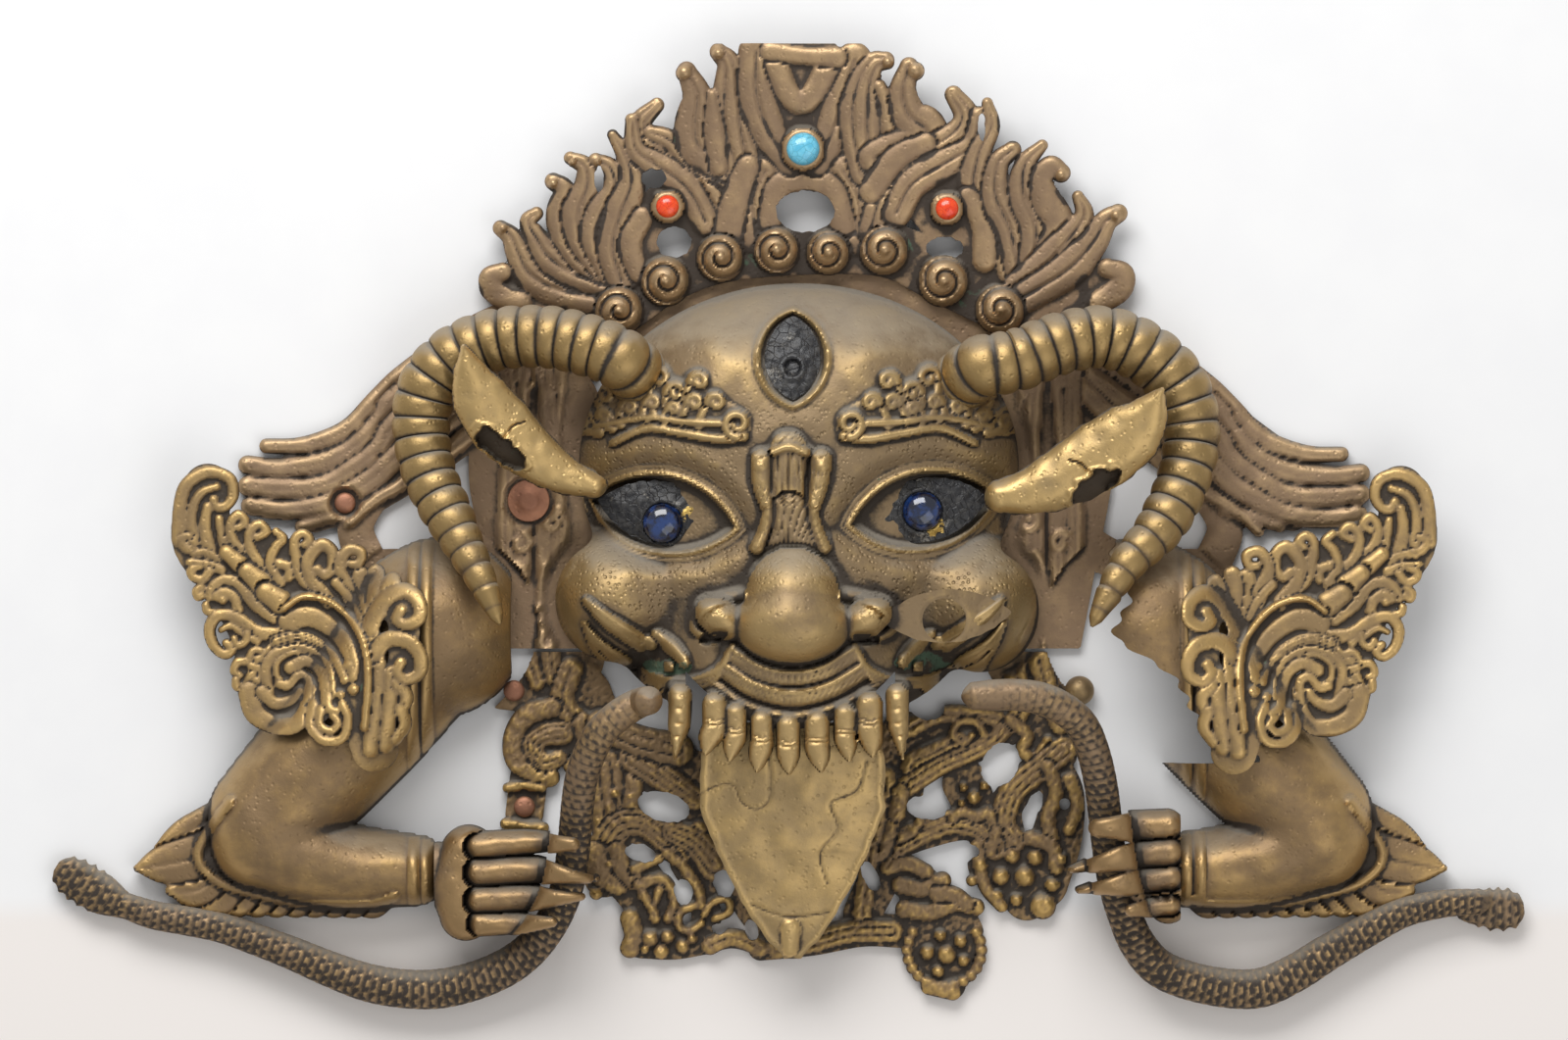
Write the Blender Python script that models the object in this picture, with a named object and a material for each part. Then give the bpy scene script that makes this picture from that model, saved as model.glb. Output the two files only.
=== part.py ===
"""A brass mask of a wrathful guardian for the top of a shrine arch, lying on its back.

The face looks up along +Z, the crown points to +Y and the tail of each snake to the side.
Most pieces are hammered sheet, so each is worked out as a front and a back surface over one
outline. Horns and snakes are tubes along a path.
"""
import math

import bmesh
import bpy
import numpy as np
from mathutils import Vector

# Driving sizes in metres
MASK_WIDTH = 0.700
SHEET_WALL = 0.0024
PLATE_THICKNESS = 0.0030
CAST_PLATE_THICKNESS = 0.0032
CROWN_THICKNESS = 0.0034
EAR_WALL = 0.0026
TONGUE_WALL = 0.0030
LOOSE_PLATE_THICKNESS = 0.0016
GAP = 0.0003
EYE_GLASS_DIAMETER = 0.0186
LOOSE_PLATE_HOLE = 0.0205
TURQUOISE_DIAMETER = 0.0156
CORAL_DIAMETER = 0.0108
BEZEL_WALL = 0.0022
SNAKE_DIAMETER = 0.0160
SNAKE_BELLY_DIAMETER = 1.2 * SNAKE_DIAMETER
HORN_ROOT_DIAMETER = 0.0300
RIVET_DIAMETER = 0.0100
RIVET_HEIGHT = 0.0024
BALL_RIVET_DIAMETER = 0.0140
PATCH_DIAMETER = 0.0200

# One modelling step is a millimetre at the full width of 700 steps
STEP = MASK_WIDTH / 700.0


def steps(size):
    """A size in metres as modelling steps."""
    return size / STEP


WALL = steps(SHEET_WALL)
PLATE = steps(PLATE_THICKNESS)
CAST = steps(CAST_PLATE_THICKNESS)
CLEAR = steps(GAP)
SEAT = PLATE + CLEAR


def material(name, colour, roughness, metallic):
    """A plain finish for one kind of metal, glass or stone."""
    found = bpy.data.materials.new(name)
    found.use_nodes = True
    shader = found.node_tree.nodes["Principled BSDF"]
    shader.inputs["Base Color"].default_value = (*colour, 1.0)
    shader.inputs["Roughness"].default_value = roughness
    shader.inputs["Metallic"].default_value = metallic
    found.diffuse_color = (*colour, 1.0)
    return found


BRASS = (0.36, 0.24, 0.10)
BRONZE = (0.22, 0.14, 0.08)
COPPER = (0.50, 0.20, 0.10)


def smooth_max(a, b, blend):
    """The larger of two fields, rounded over where they meet."""
    share = np.clip(0.5 + 0.5 * (a - b) / blend, 0.0, 1.0)
    return b + (a - b) * share + blend * share * (1.0 - share)


def ease(value):
    """A soft step from nought to one."""
    value = np.clip(value, 0.0, 1.0)
    return value * value * (3.0 - 2.0 * value)


def smooth_path(points, pieces=5):
    """A curve through a few chosen points."""
    points = [np.array(point, dtype=float) for point in points]
    ends = [2 * points[0] - points[1]] + points + [2 * points[-1] - points[-2]]
    curve = []
    for a, b, c, d in zip(ends, ends[1:], ends[2:], ends[3:]):
        for piece in range(pieces):
            t = piece / pieces
            curve.append(0.5 * (2 * b + (c - a) * t + (2 * a - 5 * b + 4 * c - d) * t ** 2
                                + (3 * b - a - 3 * c + d) * t ** 3))
    curve.append(points[-1])
    return np.array(curve)


def curl_path(centre, radius, start, turns, tight=0.25, count=14):
    """A spiral that winds in to its centre; turns is negative for the other hand."""
    path = []
    for k in range(count + 1):
        share = k / count
        reach = radius * (1.0 - (1.0 - tight) * share)
        angle = math.radians(start) + 2.0 * math.pi * turns * share
        path.append((centre[0] + reach * math.cos(angle), centre[1] + reach * math.sin(angle)))
    return path


def distance_along(x, y, path):
    """Distance to a path, and how far along it the nearest place lies, from 0 to 1."""
    lengths = np.hypot(*np.diff(path[:, :2], axis=0).T)
    starts = np.concatenate([[0.0], np.cumsum(lengths)])
    best = np.full(x.shape, 1e9)
    along = np.zeros(x.shape)
    for (ax, ay), (bx, by), length, start in zip(path[:-1, :2], path[1:, :2], lengths, starts):
        if length < 1e-9:
            continue
        t = np.clip(((x - ax) * (bx - ax) + (y - ay) * (by - ay)) / length ** 2, 0.0, 1.0)
        distance = np.hypot(x - ax - t * (bx - ax), y - ay - t * (by - ay))
        nearer = distance < best
        best = np.where(nearer, distance, best)
        along = np.where(nearer, (start + t * length) / starts[-1], along)
    return best, along


def ellipse(x, y, centre, radii, turn=0.0):
    """Depth inside an ellipse: positive inside, about a true distance near its edge."""
    c, s = math.cos(math.radians(turn)), math.sin(math.radians(turn))
    u = ((x - centre[0]) * c + (y - centre[1]) * s) / radii[0]
    v = ((y - centre[1]) * c - (x - centre[0]) * s) / radii[1]
    ring = np.hypot(u, v)
    slope = np.hypot(u / radii[0], v / radii[1])
    return (1.0 - ring) * np.maximum(ring, 1e-3) / np.maximum(slope, 1e-4)


def dome(x, y, centre, radii, height, turn=0.0):
    """A half ellipsoid over the sheet's plane."""
    c, s = math.cos(math.radians(turn)), math.sin(math.radians(turn))
    u = ((x - centre[0]) * c + (y - centre[1]) * s) / radii[0]
    v = ((y - centre[1]) * c - (x - centre[0]) * s) / radii[1]
    return height * np.sqrt(np.clip(1.0 - u * u - v * v, 0.0, 1.0))


def almond(x, y, centre, length, height, turn=0.0):
    """Depth inside an almond, the overlap of two circles."""
    c, s = math.cos(math.radians(turn)), math.sin(math.radians(turn))
    u = (x - centre[0]) * c + (y - centre[1]) * s
    v = (y - centre[1]) * c - (x - centre[0]) * s
    radius = (length ** 2 + height ** 2) / (2.0 * height)
    return radius - np.hypot(u, np.abs(v) + radius - height)


class Relief:
    """A sheet over a square grid: where there is metal, and how far its carving rises."""

    def __init__(self, box, cell):
        west, south, east, north = box
        self.x, self.y = np.meshgrid(np.arange(west, east + cell, cell),
                                     np.arange(south, north + cell, cell))
        self.metal = np.full(self.x.shape, -60.0)
        self.carving = np.zeros(self.x.shape)

    def window(self, path, reach):
        """The part of the grid within reach of a path."""
        low, high = path[:, :2].min(axis=0) - reach, path[:, :2].max(axis=0) + reach
        columns = np.searchsorted(self.x[0], (low[0], high[0]))
        rows = np.searchsorted(self.y[:, 0], (low[1], high[1]))
        return slice(max(rows[0] - 1, 0), rows[1] + 1), slice(max(columns[0] - 1, 0), columns[1] + 1)

    def stroke(self, points, start, end, lift, metal=True, middle=None):
        """A rounded ridge along a path, start and end wide, with metal under it."""
        path = smooth_path(points)
        part = self.window(path, max(start, end, middle or 0.0) + 12.0)
        distance, along = distance_along(self.x[part], self.y[part], path)
        radius = start + (end - start) * along
        if middle is not None:
            radius = np.interp(along, (0.0, 0.5, 1.0), (start, middle, end))
        if metal:
            self.metal[part] = np.maximum(self.metal[part], radius - distance)
        crest = lift * np.sqrt(np.clip(1.0 - (distance / radius) ** 2, 0.0, 1.0))
        self.carving[part] = np.maximum(self.carving[part], crest)

    def curl(self, centre, radius, start, turns, width, lift, metal=True):
        """A spiral scroll with a button in its middle."""
        self.stroke(curl_path(centre, radius, start, turns), width, width * 0.6, lift, metal)
        self.boss(centre, width, lift * 1.2, metal)

    def boss(self, centre, radius, lift, metal=True):
        """A round bead."""
        path = np.array([centre])
        part = self.window(path, radius + 3.0)
        distance = np.hypot(self.x[part] - centre[0], self.y[part] - centre[1])
        if metal:
            self.metal[part] = np.maximum(self.metal[part], radius - distance)
        crest = lift * np.sqrt(np.clip(1.0 - (distance / radius) ** 2, 0.0, 1.0))
        self.carving[part] = np.maximum(self.carving[part], crest)

    def flat(self, centre, radius):
        """Bare sheet round a rivet."""
        distance = np.hypot(self.x - centre[0], self.y - centre[1])
        self.metal = np.maximum(self.metal, radius + 3.0 - distance)
        self.carving = self.carving * ease((distance - radius - 1.0) / 4.0)

    def hole(self, centre, radii, turn=0.0):
        """An opening right through."""
        self.metal = np.minimum(self.metal, -ellipse(self.x, self.y, centre, radii, turn))


def eroded(field, reach, cell):
    """The lowest value within reach of each place, as the inside of a wall follows its outside."""
    count = max(1, int(round(reach / cell)))
    low = field.copy()
    for down in range(-count, count + 1):
        for across in range(-count, count + 1):
            if 0 < math.hypot(down, across) * cell <= reach + 0.5 * cell:
                low = np.minimum(low, np.roll(field, (down, across), axis=(0, 1)))
    return low


def sheet_mesh(x, y, metal, top, low):
    """Closed mesh between a top and a low surface, cut where the metal ends."""
    rows, columns = x.shape
    index = np.arange(rows * columns).reshape(rows, columns)
    corners = (index[:-1, :-1].ravel(), index[:-1, 1:].ravel(), index[1:, 1:].ravel(), index[1:, :-1].ravel())
    a, b, c, d = corners
    triangles = np.concatenate([np.stack([a, b, c], 1), np.stack([a, c, d], 1)])
    depth = metal.ravel()
    low = np.minimum(low, top - 0.8)
    places = np.stack([x.ravel(), y.ravel(), top.ravel(), low.ravel()], 1)
    inside = (depth[triangles] > 0.0).sum(axis=1)
    faces = [tuple(face) for face in triangles[inside == 3]]
    extra = []
    crossings = {}

    def crossing(i, j):
        key = (min(i, j), max(i, j))
        if key not in crossings:
            share = depth[key[0]] / (depth[key[0]] - depth[key[1]])
            share = min(max(share, 0.05), 0.95)
            crossings[key] = len(places) + len(extra)
            extra.append(places[key[0]] * (1.0 - share) + places[key[1]] * share)
        return crossings[key]

    for face in triangles[(inside == 1) | (inside == 2)]:
        flags = [depth[corner] > 0.0 for corner in face]
        alone = sum(flags) == 1
        k = flags.index(alone)
        p, q, r = face[k], face[(k + 1) % 3], face[(k + 2) % 3]
        near, far = crossing(p, q), crossing(r, p)
        if alone:
            faces.append((p, near, far))
        else:
            faces += [(near, q, r), (near, r, far)]
    faces = np.array(faces)
    if extra:
        places = np.concatenate([places, np.array(extra)])
    used, faces = np.unique(faces, return_inverse=True)
    faces = faces.reshape(-1, 3)
    places = places[used]
    count = len(used)
    edges = {(i, j) for face in faces for i, j in ((face[0], face[1]), (face[1], face[2]), (face[2], face[0]))}
    rim = [(i, j) for i, j in edges if (j, i) not in edges]
    vertices = np.concatenate([places[:, (0, 1, 2)], places[:, (0, 1, 3)]])
    polygons = [tuple(int(i) for i in face) for face in faces]
    polygons += [tuple(int(i) + count for i in face[::-1]) for face in faces]
    polygons += [(int(i), int(i) + count, int(j) + count, int(j)) for i, j in sorted(rim)]
    return vertices, polygons


def add_object(name, vertices, polygons, finish):
    """A named object from modelling steps."""
    mesh = bpy.data.meshes.new(name)
    mesh.from_pydata([tuple(float(value) * STEP for value in vertex) for vertex in vertices], [], polygons)
    mesh.validate()
    made = bpy.data.objects.new(name, mesh)
    bpy.context.scene.collection.objects.link(made)
    mesh.materials.append(finish)
    return made


def bake(piece):
    """Applies a piece's modifiers."""
    bpy.context.view_layer.update()
    seen = piece.evaluated_get(bpy.context.evaluated_depsgraph_get())
    mesh = bpy.data.meshes.new_from_object(seen)
    old = piece.data
    piece.modifiers.clear()
    piece.data = mesh
    bpy.data.meshes.remove(old)
    mesh.name = piece.name


def largest_body(piece):
    """Keeps only the biggest connected body of a mesh."""
    work = bmesh.new()
    work.from_mesh(piece.data)
    bmesh.ops.remove_doubles(work, verts=work.verts, dist=2e-6)
    bmesh.ops.dissolve_degenerate(work, edges=work.edges, dist=2e-6)
    left = set(work.verts)
    bodies = []
    while left:
        seed = left.pop()
        body = {seed}
        queue = [seed]
        while queue:
            for edge in queue.pop().link_edges:
                for vertex in edge.verts:
                    if vertex in left:
                        left.remove(vertex)
                        body.add(vertex)
                        queue.append(vertex)
        bodies.append(body)
    bodies.sort(key=len, reverse=True)
    for body in bodies[1:]:
        bmesh.ops.delete(work, geom=list(body), context="VERTS")
    work.to_mesh(piece.data)
    work.free()


def simplify(piece, triangles):
    """Fewer triangles on a carved piece."""
    piece.data.calc_loop_triangles()
    share = triangles / max(len(piece.data.loop_triangles), 1)
    if share < 1.0:
        fewer = piece.modifiers.new("fewer", "DECIMATE")
        fewer.ratio = share
        bake(piece)


def raise_sheet(name, relief, top, low, finish, triangles):
    """One carved sheet piece from its relief."""
    piece = add_object(name, *sheet_mesh(relief.x, relief.y, relief.metal, top, low), finish)
    largest_body(piece)
    simplify(piece, triangles)
    largest_body(piece)
    soften(piece)
    return piece


def soften(piece, angle=38.0):
    """Smooth shading with sharp edges."""
    piece.data.shade_smooth()
    piece.data.set_sharp_from_angle(angle=math.radians(angle))


def clear_of(piece, *neighbours):
    """Cuts a piece back so that it keeps the gap to its neighbours."""
    for neighbour in neighbours:
        swollen = neighbour.data.copy()
        work = bmesh.new()
        work.from_mesh(swollen)
        work.normal_update()
        moves = [vertex.normal * GAP * min(vertex.calc_shell_factor(), 2.5) * 1.3 for vertex in work.verts]
        for vertex, move in zip(work.verts, moves):
            vertex.co += move
        work.to_mesh(swollen)
        work.free()
        cutter = bpy.data.objects.new("cutter", swollen)
        bpy.context.scene.collection.objects.link(cutter)
        cut = piece.modifiers.new("clear", "BOOLEAN")
        cut.operation = "DIFFERENCE"
        cut.object = cutter
        cut.use_self = True
        bake(piece)
        bpy.data.objects.remove(cutter)
    largest_body(piece)
    work = bmesh.new()
    work.from_mesh(piece.data)
    bmesh.ops.dissolve_limit(work, angle_limit=math.radians(0.5), verts=work.verts, edges=work.edges)
    bmesh.ops.triangulate(work, faces=work.faces)
    work.to_mesh(piece.data)
    work.free()
    soften(piece)
    return piece


def tube(name, stations, sides, finish):
    """A tube through (x, y, z, radius) stations, closed at both ends; a fifth value flattens it."""
    centres = [Vector(station[:3]) for station in stations]
    vertices = []
    polygons = []
    for k, station in enumerate(stations):
        forward = (centres[min(k + 1, len(centres) - 1)] - centres[max(k - 1, 0)]).normalized()
        across = forward.cross(Vector((0.0, 0.0, 1.0))).normalized()
        rise = across.cross(forward)
        for side in range(sides):
            angle = 2.0 * math.pi * (side + 0.5) / sides
            flat = station[4] if len(station) > 4 else 1.0
            offset = across * math.cos(angle) + rise * math.sin(angle) * flat
            vertices.append(centres[k] + offset * station[3])
    for k in range(len(stations) - 1):
        for side in range(sides):
            other = (side + 1) % sides
            a, b = k * sides + side, k * sides + other
            polygons.append((a, b, b + sides, a + sides))
    polygons.append(tuple(range(sides))[::-1])
    polygons.append(tuple(range(len(vertices) - sides, len(vertices))))
    piece = add_object(name, vertices, polygons, finish)
    work = bmesh.new()
    work.from_mesh(piece.data)
    bmesh.ops.recalc_face_normals(work, faces=work.faces)
    work.to_mesh(piece.data)
    work.free()
    soften(piece, 60.0)
    return piece


def turned(name, centre, profile, sides, finish, tilt=(0.0, 0.0)):
    """A turned piece from (radius, height) pairs, leaning with the surface under it."""
    vertices = []
    polygons = []
    lean_x, lean_y = tilt
    for radius, height in profile:
        for side in range(sides):
            angle = 2.0 * math.pi * side / sides
            x, y = radius * math.cos(angle), radius * math.sin(angle)
            vertices.append((centre[0] + x - height * lean_x, centre[1] + y - height * lean_y,
                             centre[2] + height + x * lean_x + y * lean_y))
    for k in range(len(profile) - 1):
        for side in range(sides):
            other = (side + 1) % sides
            a, b = k * sides + side, k * sides + other
            polygons.append((a, b, b + sides, a + sides))
    polygons.append(tuple(range(sides))[::-1])
    polygons.append(tuple(range(len(vertices) - sides, len(vertices))))
    piece = add_object(name, vertices, polygons, finish)
    soften(piece)
    return piece


for leftover in list(bpy.data.objects):
    bpy.data.objects.remove(leftover)

# Face

LEFT_EYE = (-60.0, 8.0)
RIGHT_EYE = (62.5, 9.5)
EYE_HALF_LENGTH = 34.0
EYE_HALF_HEIGHT = 17.0
EYE_TURN = 11.0
THIRD_EYE = (1.0, 81.0)
RIM = 5.0


def face_outline(x, y):
    """Depth inside the face's edge."""
    skull = ellipse(x, y, (4.0, 30.0), (104.0, 87.0))
    left = ellipse(x, y, (-83.0, -33.0), (28.0, 29.0))
    right = ellipse(x, y, (90.0, -38.0), (27.5, 29.0))
    muzzle = ellipse(x, y, (0.0, -46.0), (84.0, 47.0))
    depth = smooth_max(smooth_max(skull, left, 8.0), right, 8.0)
    depth = smooth_max(depth, muzzle, 6.0)
    lip = y + 93.0 - 0.0112 * x * x
    return np.where(np.abs(x) < 50.0, np.minimum(depth, lip), depth)


def eye_depth(x, y, centre, turn):
    """Depth inside one eye opening."""
    return almond(x, y, centre, EYE_HALF_LENGTH, EYE_HALF_HEIGHT, turn)


def face_form(x, y):
    """The face's domed form before its finer carving."""
    form = dome(x, y, (4.0, 34.0), (105.0, 83.0), 58.0)
    form = smooth_max(form, dome(x, y, (3.0, -6.0), (100.0, 88.0), 59.0), 8.0)
    form = smooth_max(form, dome(x, y, (-82.0, -33.0), (30.0, 31.0), 52.0), 7.0)
    form = smooth_max(form, dome(x, y, (89.0, -38.0), (29.0, 31.0), 52.0), 7.0)
    form = smooth_max(form, dome(x, y, (0.0, -66.0), (72.0, 62.0), 72.0), 8.0)
    for side in (-1.0, 1.0):
        form = form + 6.0 * np.exp(-((x - 2.0 - side * 36.0) ** 2 + (y - 84.0) ** 2) / 420.0)
    for centre, turn in ((LEFT_EYE, -EYE_TURN), (RIGHT_EYE, EYE_TURN)):
        depth = eye_depth(x, y, centre, turn)
        form = form - 7.0 * ease(1.0 + depth / 15.0) + 5.0 * ease(1.0 - np.abs(depth + 1.5) / 5.0)
    bulb = dome(x, y, (1.0, -44.0), (27.0, 21.0), 30.0)
    form = np.where(bulb > 0.0, smooth_max(form, 66.0 + bulb, 4.0), form)
    for side, centre in ((-1.0, -32.0), (1.0, 34.0)):
        wing = dome(x, y, (centre, -41.0), (13.0, 12.0), 20.0, side * 30.0)
        form = np.where(wing > 0.0, smooth_max(form, 64.0 + wing, 4.0), form)
    return np.maximum(form, RIM + SEAT)


def carve_face(relief):
    """Brows, moustache, nose bridge, lip bands, teeth and fangs."""
    form = face_form(relief.x, relief.y)
    relief.metal = face_outline(relief.x, relief.y)
    for side, shift in ((-1.0, 0.0), (1.0, 3.0)):
        def at(x, y):
            return side * x + shift, y
        relief.stroke([at(24, 50), at(42, 45), at(66, 47), at(84, 42)], 3.6, 3.0, 5.0, False)
        relief.curl(at(30, 51), 6.0, 90.0, side * 0.9, 2.8, 6.0, False)
        for x, y in ((36, 60), (48, 66), (61, 69), (75, 68), (88, 63), (99, 57), (56, 57), (71, 57)):
            relief.curl(at(x, y), 5.0, 250.0, -side * 0.8, 2.6, 5.0, False)
            relief.stroke([at(x, y - 4), at(x - 9, 48)], 3.0, 2.4, 3.6, False)
        relief.stroke([at(100, 60), at(112, 66), at(122, 68)], 5.0, 2.0, 4.0, False)
        relief.stroke([at(28, -57), at(44, -70), at(62, -70), at(76, -67)], 4.0, 2.6, 6.0, False)
        relief.curl(at(73, -73), 5.0, 90.0, side * 0.8, 2.4, 5.0, False)
        relief.stroke([at(34, -58), at(50, -64), at(66, -62)], 3.2, 2.4, 5.0, False)
        relief.stroke([at(88, -38), at(79, -47), at(70, -52)], 4.2, 3.4, 7.0, False)
        for x, y, size in ((64, -54, 5.0), (55, -55, 4.4), (49, -61, 3.6), (57, -64, 3.6)):
            relief.boss(at(x, y), size, 7.0, False)
        relief.stroke([at(92, -44), at(90, -54), at(83, -62)], 5.0, 2.0, 5.0, False)
    relief.stroke([(-1, 36), (-1, 16)], 8.0, 7.0, 8.0, False)
    relief.stroke([(0, 12), (2, -6)], 7.5, 12.5, 8.0, False)
    for x in (-12.0, 13.0):
        relief.stroke([(x * 0.85, 34), (x * 1.15, 22), (x, 4), (x * 0.7, -6)], 3.4, 4.0, 6.0, False)
    depth = almond(relief.x, relief.y, THIRD_EYE, 25.0, 18.5, 90.0)
    relief.carving = np.maximum(relief.carving, 3.4 * ease(1.0 - np.abs(depth - 1.5) / 3.2))
    top = form + relief.carving
    fall = relief.y + 93.0 - 0.0112 * relief.x ** 2
    for row in range(3):
        band = np.abs(fall - 5.0 - 8.4 * row)
        wide = np.abs(relief.x) < 40.0 - 4.5 * row
        top = np.where(wide & (band < 4.2), top + 3.4 * np.sqrt(np.clip(1 - (band / 4.2) ** 2, 0, 1)), top)
    tooth = Relief((relief.x.min(), relief.y.min(), relief.x.max(), relief.y.max()),
                   relief.x[0, 1] - relief.x[0, 0])
    tooth.metal = tooth.metal[:relief.x.shape[0], :relief.x.shape[1]]
    for k in range(7):
        x = -36.5 + 12.4 * k
        root = -90.5 + 0.0095 * x * x
        tooth.stroke([(x, root), (x, root - 12.0), (x + 0.4, root - 23.0)], 6.2, 1.6, 7.0)
    for x in (-51.5, 49.5):
        tooth.stroke([(x, -76), (x * 0.99, -90), (x * 1.01, -107)], 6.4, 2.0, 9.0)
    lifted = 66.0 + tooth.carving
    return top, tooth, lifted


face_relief = Relief((-118.0, -120.0, 124.0, 124.0), 2.6)
face_top, teeth_relief, teeth_top = carve_face(face_relief)
for centre, turn in ((LEFT_EYE, -EYE_TURN), (RIGHT_EYE, EYE_TURN)):
    depth = eye_depth(face_relief.x, face_relief.y, centre, turn)
    face_top = face_top - 5.0 * ease(0.5 + depth / 2.6)
third_depth = almond(face_relief.x, face_relief.y, THIRD_EYE, 21.0, 14.5, 90.0)
face_top = face_top - 3.0 * ease(0.5 + third_depth / 2.6)
face_low = np.maximum(eroded(face_top, WALL, 2.6) - WALL, SEAT)
only_teeth = teeth_relief.metal > face_relief.metal
face_metal = np.maximum(face_relief.metal, teeth_relief.metal)
merged = np.where(teeth_relief.metal > 0.0, np.maximum(np.where(only_teeth, 0.0, face_top), teeth_top), face_top)
face_low = np.where(only_teeth | (face_relief.metal < 0.0), 64.0, face_low)
face_relief.metal = face_metal
face = raise_sheet("face", face_relief, merged, np.minimum(face_low, merged - WALL),
                   material("face_brass", BRASS, 0.42, 1.0), 1900)

# Inlaid eyes, one paste bed and one glass ball each, and the plain resin third eye


def inlay(name, centre, length, height, turn, floor, rise, slope, finish, triangles):
    """A shallow almond cushion that fills an eye opening."""
    reach = max(length, height) + 3.0
    relief = Relief((centre[0] - reach, centre[1] - reach, centre[0] + reach, centre[1] + reach), 1.8)
    relief.metal = almond(relief.x, relief.y, centre, length, height, turn)
    lean = slope[0] * (relief.x - centre[0]) + slope[1] * (relief.y - centre[1])
    top = floor + lean + rise * ease(0.35 + relief.metal / height)
    return raise_sheet(name, relief, top, floor + lean - 4.0, finish, triangles)


def ball(name, centre, diameter, finish):
    """A glass or stone cabochon: a flat-backed ball."""
    radius = 0.5 * steps(diameter)
    profile = [(radius * 0.72, -1.6)]
    for k in range(4):
        angle = math.radians(8.0 + 21.0 * k)
        profile.append((radius * math.cos(angle), radius * 0.62 * math.sin(angle)))
    return turned(name, centre, profile, 12, finish)


resin = material("resin", (0.02, 0.02, 0.03), 0.3, 0.0)
glass = material("eye_glass", (0.01, 0.05, 0.20), 0.06, 0.0)
eyes = []
for name, centre, turn, slope, pupil in (
        ("left", LEFT_EYE, -EYE_TURN, (0.16, 0.02), (-60.0, 3.5)),
        ("right", RIGHT_EYE, EYE_TURN, (-0.16, 0.02), (62.0, 9.0))):
    level = float(np.median(face_form(np.array([centre[0] - 8.0, centre[0], centre[0] + 8.0]),
                                      np.full(3, centre[1])))) - 4.4
    paste = inlay(f"eye_paste_{name}", centre, EYE_HALF_LENGTH - 2.6, EYE_HALF_HEIGHT - 2.0, turn, level,
                  2.6, slope, resin, 80)
    clear_of(paste, face)
    pupil_level = level + slope[0] * (pupil[0] - centre[0]) + 2.6
    pupil_ball = ball(f"eye_glass_{name}", (pupil[0], pupil[1], pupil_level), EYE_GLASS_DIAMETER, glass)
    clear_of(pupil_ball, face)
    clear_of(paste, pupil_ball)
    eyes.append((paste, pupil_ball))
third_level = float(face_form(np.array([THIRD_EYE[0]]), np.array([THIRD_EYE[1]]))[0])
third = inlay("third_eye_paste", THIRD_EYE, 20.0, 13.0, 90.0, third_level - 2.0, 2.6, (0.0, -0.36), resin, 70)
clear_of(third, face)

# Loose almond plate on the cheek, with the round hole of its lost glass

PLATE_CENTRE = (73.0, -40.0)
loose = Relief((38.0, -60.0, 108.0, -20.0), 2.0)
loose.metal = almond(loose.x, loose.y, PLATE_CENTRE, 31.0, 12.5, 3.0)
loose.hole((72.0, -42.0), (0.5 * steps(LOOSE_PLATE_HOLE), 0.5 * steps(LOOSE_PLATE_HOLE)))
loose_low = np.interp(loose.x, (40.0, 72.0, 106.0), (61.5, 58.6, 46.0)) + 0.10 * (loose.y + 40.0)
loose_low = np.maximum(loose_low, face_form(loose.x, loose.y) + 2.0)
loose_plate = raise_sheet("loose_eye_plate", loose, loose_low + steps(LOOSE_PLATE_THICKNESS), loose_low,
                          material("loose_plate_brass", BRASS, 0.4, 1.0), 200)
clear_of(loose_plate, face)

# Tongue, a curled sheet whose root runs in behind the teeth

tongue = Relief((-50.0, -206.0, 52.0, -84.0), 2.8)
tongue_half = np.interp(-tongue.y, (92, 106, 130, 150, 165, 180, 194, 201), (40, 43, 43.5, 36, 29, 21, 11, 4))
tongue.metal = (tongue_half - np.abs(tongue.x - 1.0)) * 0.8
tongue.metal = np.minimum(tongue.metal, np.minimum(-90.0 - tongue.y, tongue.y + 202.0))
tongue.stroke([(0, -188), (0, -197)], 5.0, 4.0, 3.0)
tongue.stroke([(1, -108), (1, -150), (0, -186)], 5.0, 4.0, 1.6, False)
tongue_form = np.interp(-tongue.y, (84.0, 104.0, 150.0, 190.0, 206.0), (58.0, 55.0, 44.0, 30.0, 24.0))
across = np.clip(1.0 - ((tongue.x - 1.0) / 52.0) ** 2, 0.0, 1.0)
tongue_top = tongue_form - 7.0 + 9.0 * np.sqrt(across) + tongue.carving
tongue_sheet = raise_sheet("tongue", tongue, tongue_top, tongue_top - steps(TONGUE_WALL),
                           material("tongue_brass", BRASS, 0.36, 1.0), 240)
clear_of(tongue_sheet, face)

# Crown of flame locks over a row of snail curls, with three set stones

TURQUOISE_SEAT = (6.0, 180.0)
CORAL_SEATS = ((-58.0, 153.0), (74.0, 152.0))
CURLS = ((-80, 105), (-59, 116), (-34, 127), (-7, 133), (18, 132), (45, 134), (73, 120), (100, 105))
CURL_RADIUS = 12.2


def crown_level(y):
    """The crown's back, which leans forward towards its tips."""
    return SEAT + 0.12 * np.maximum(y - 112.0, 0.0)


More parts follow.
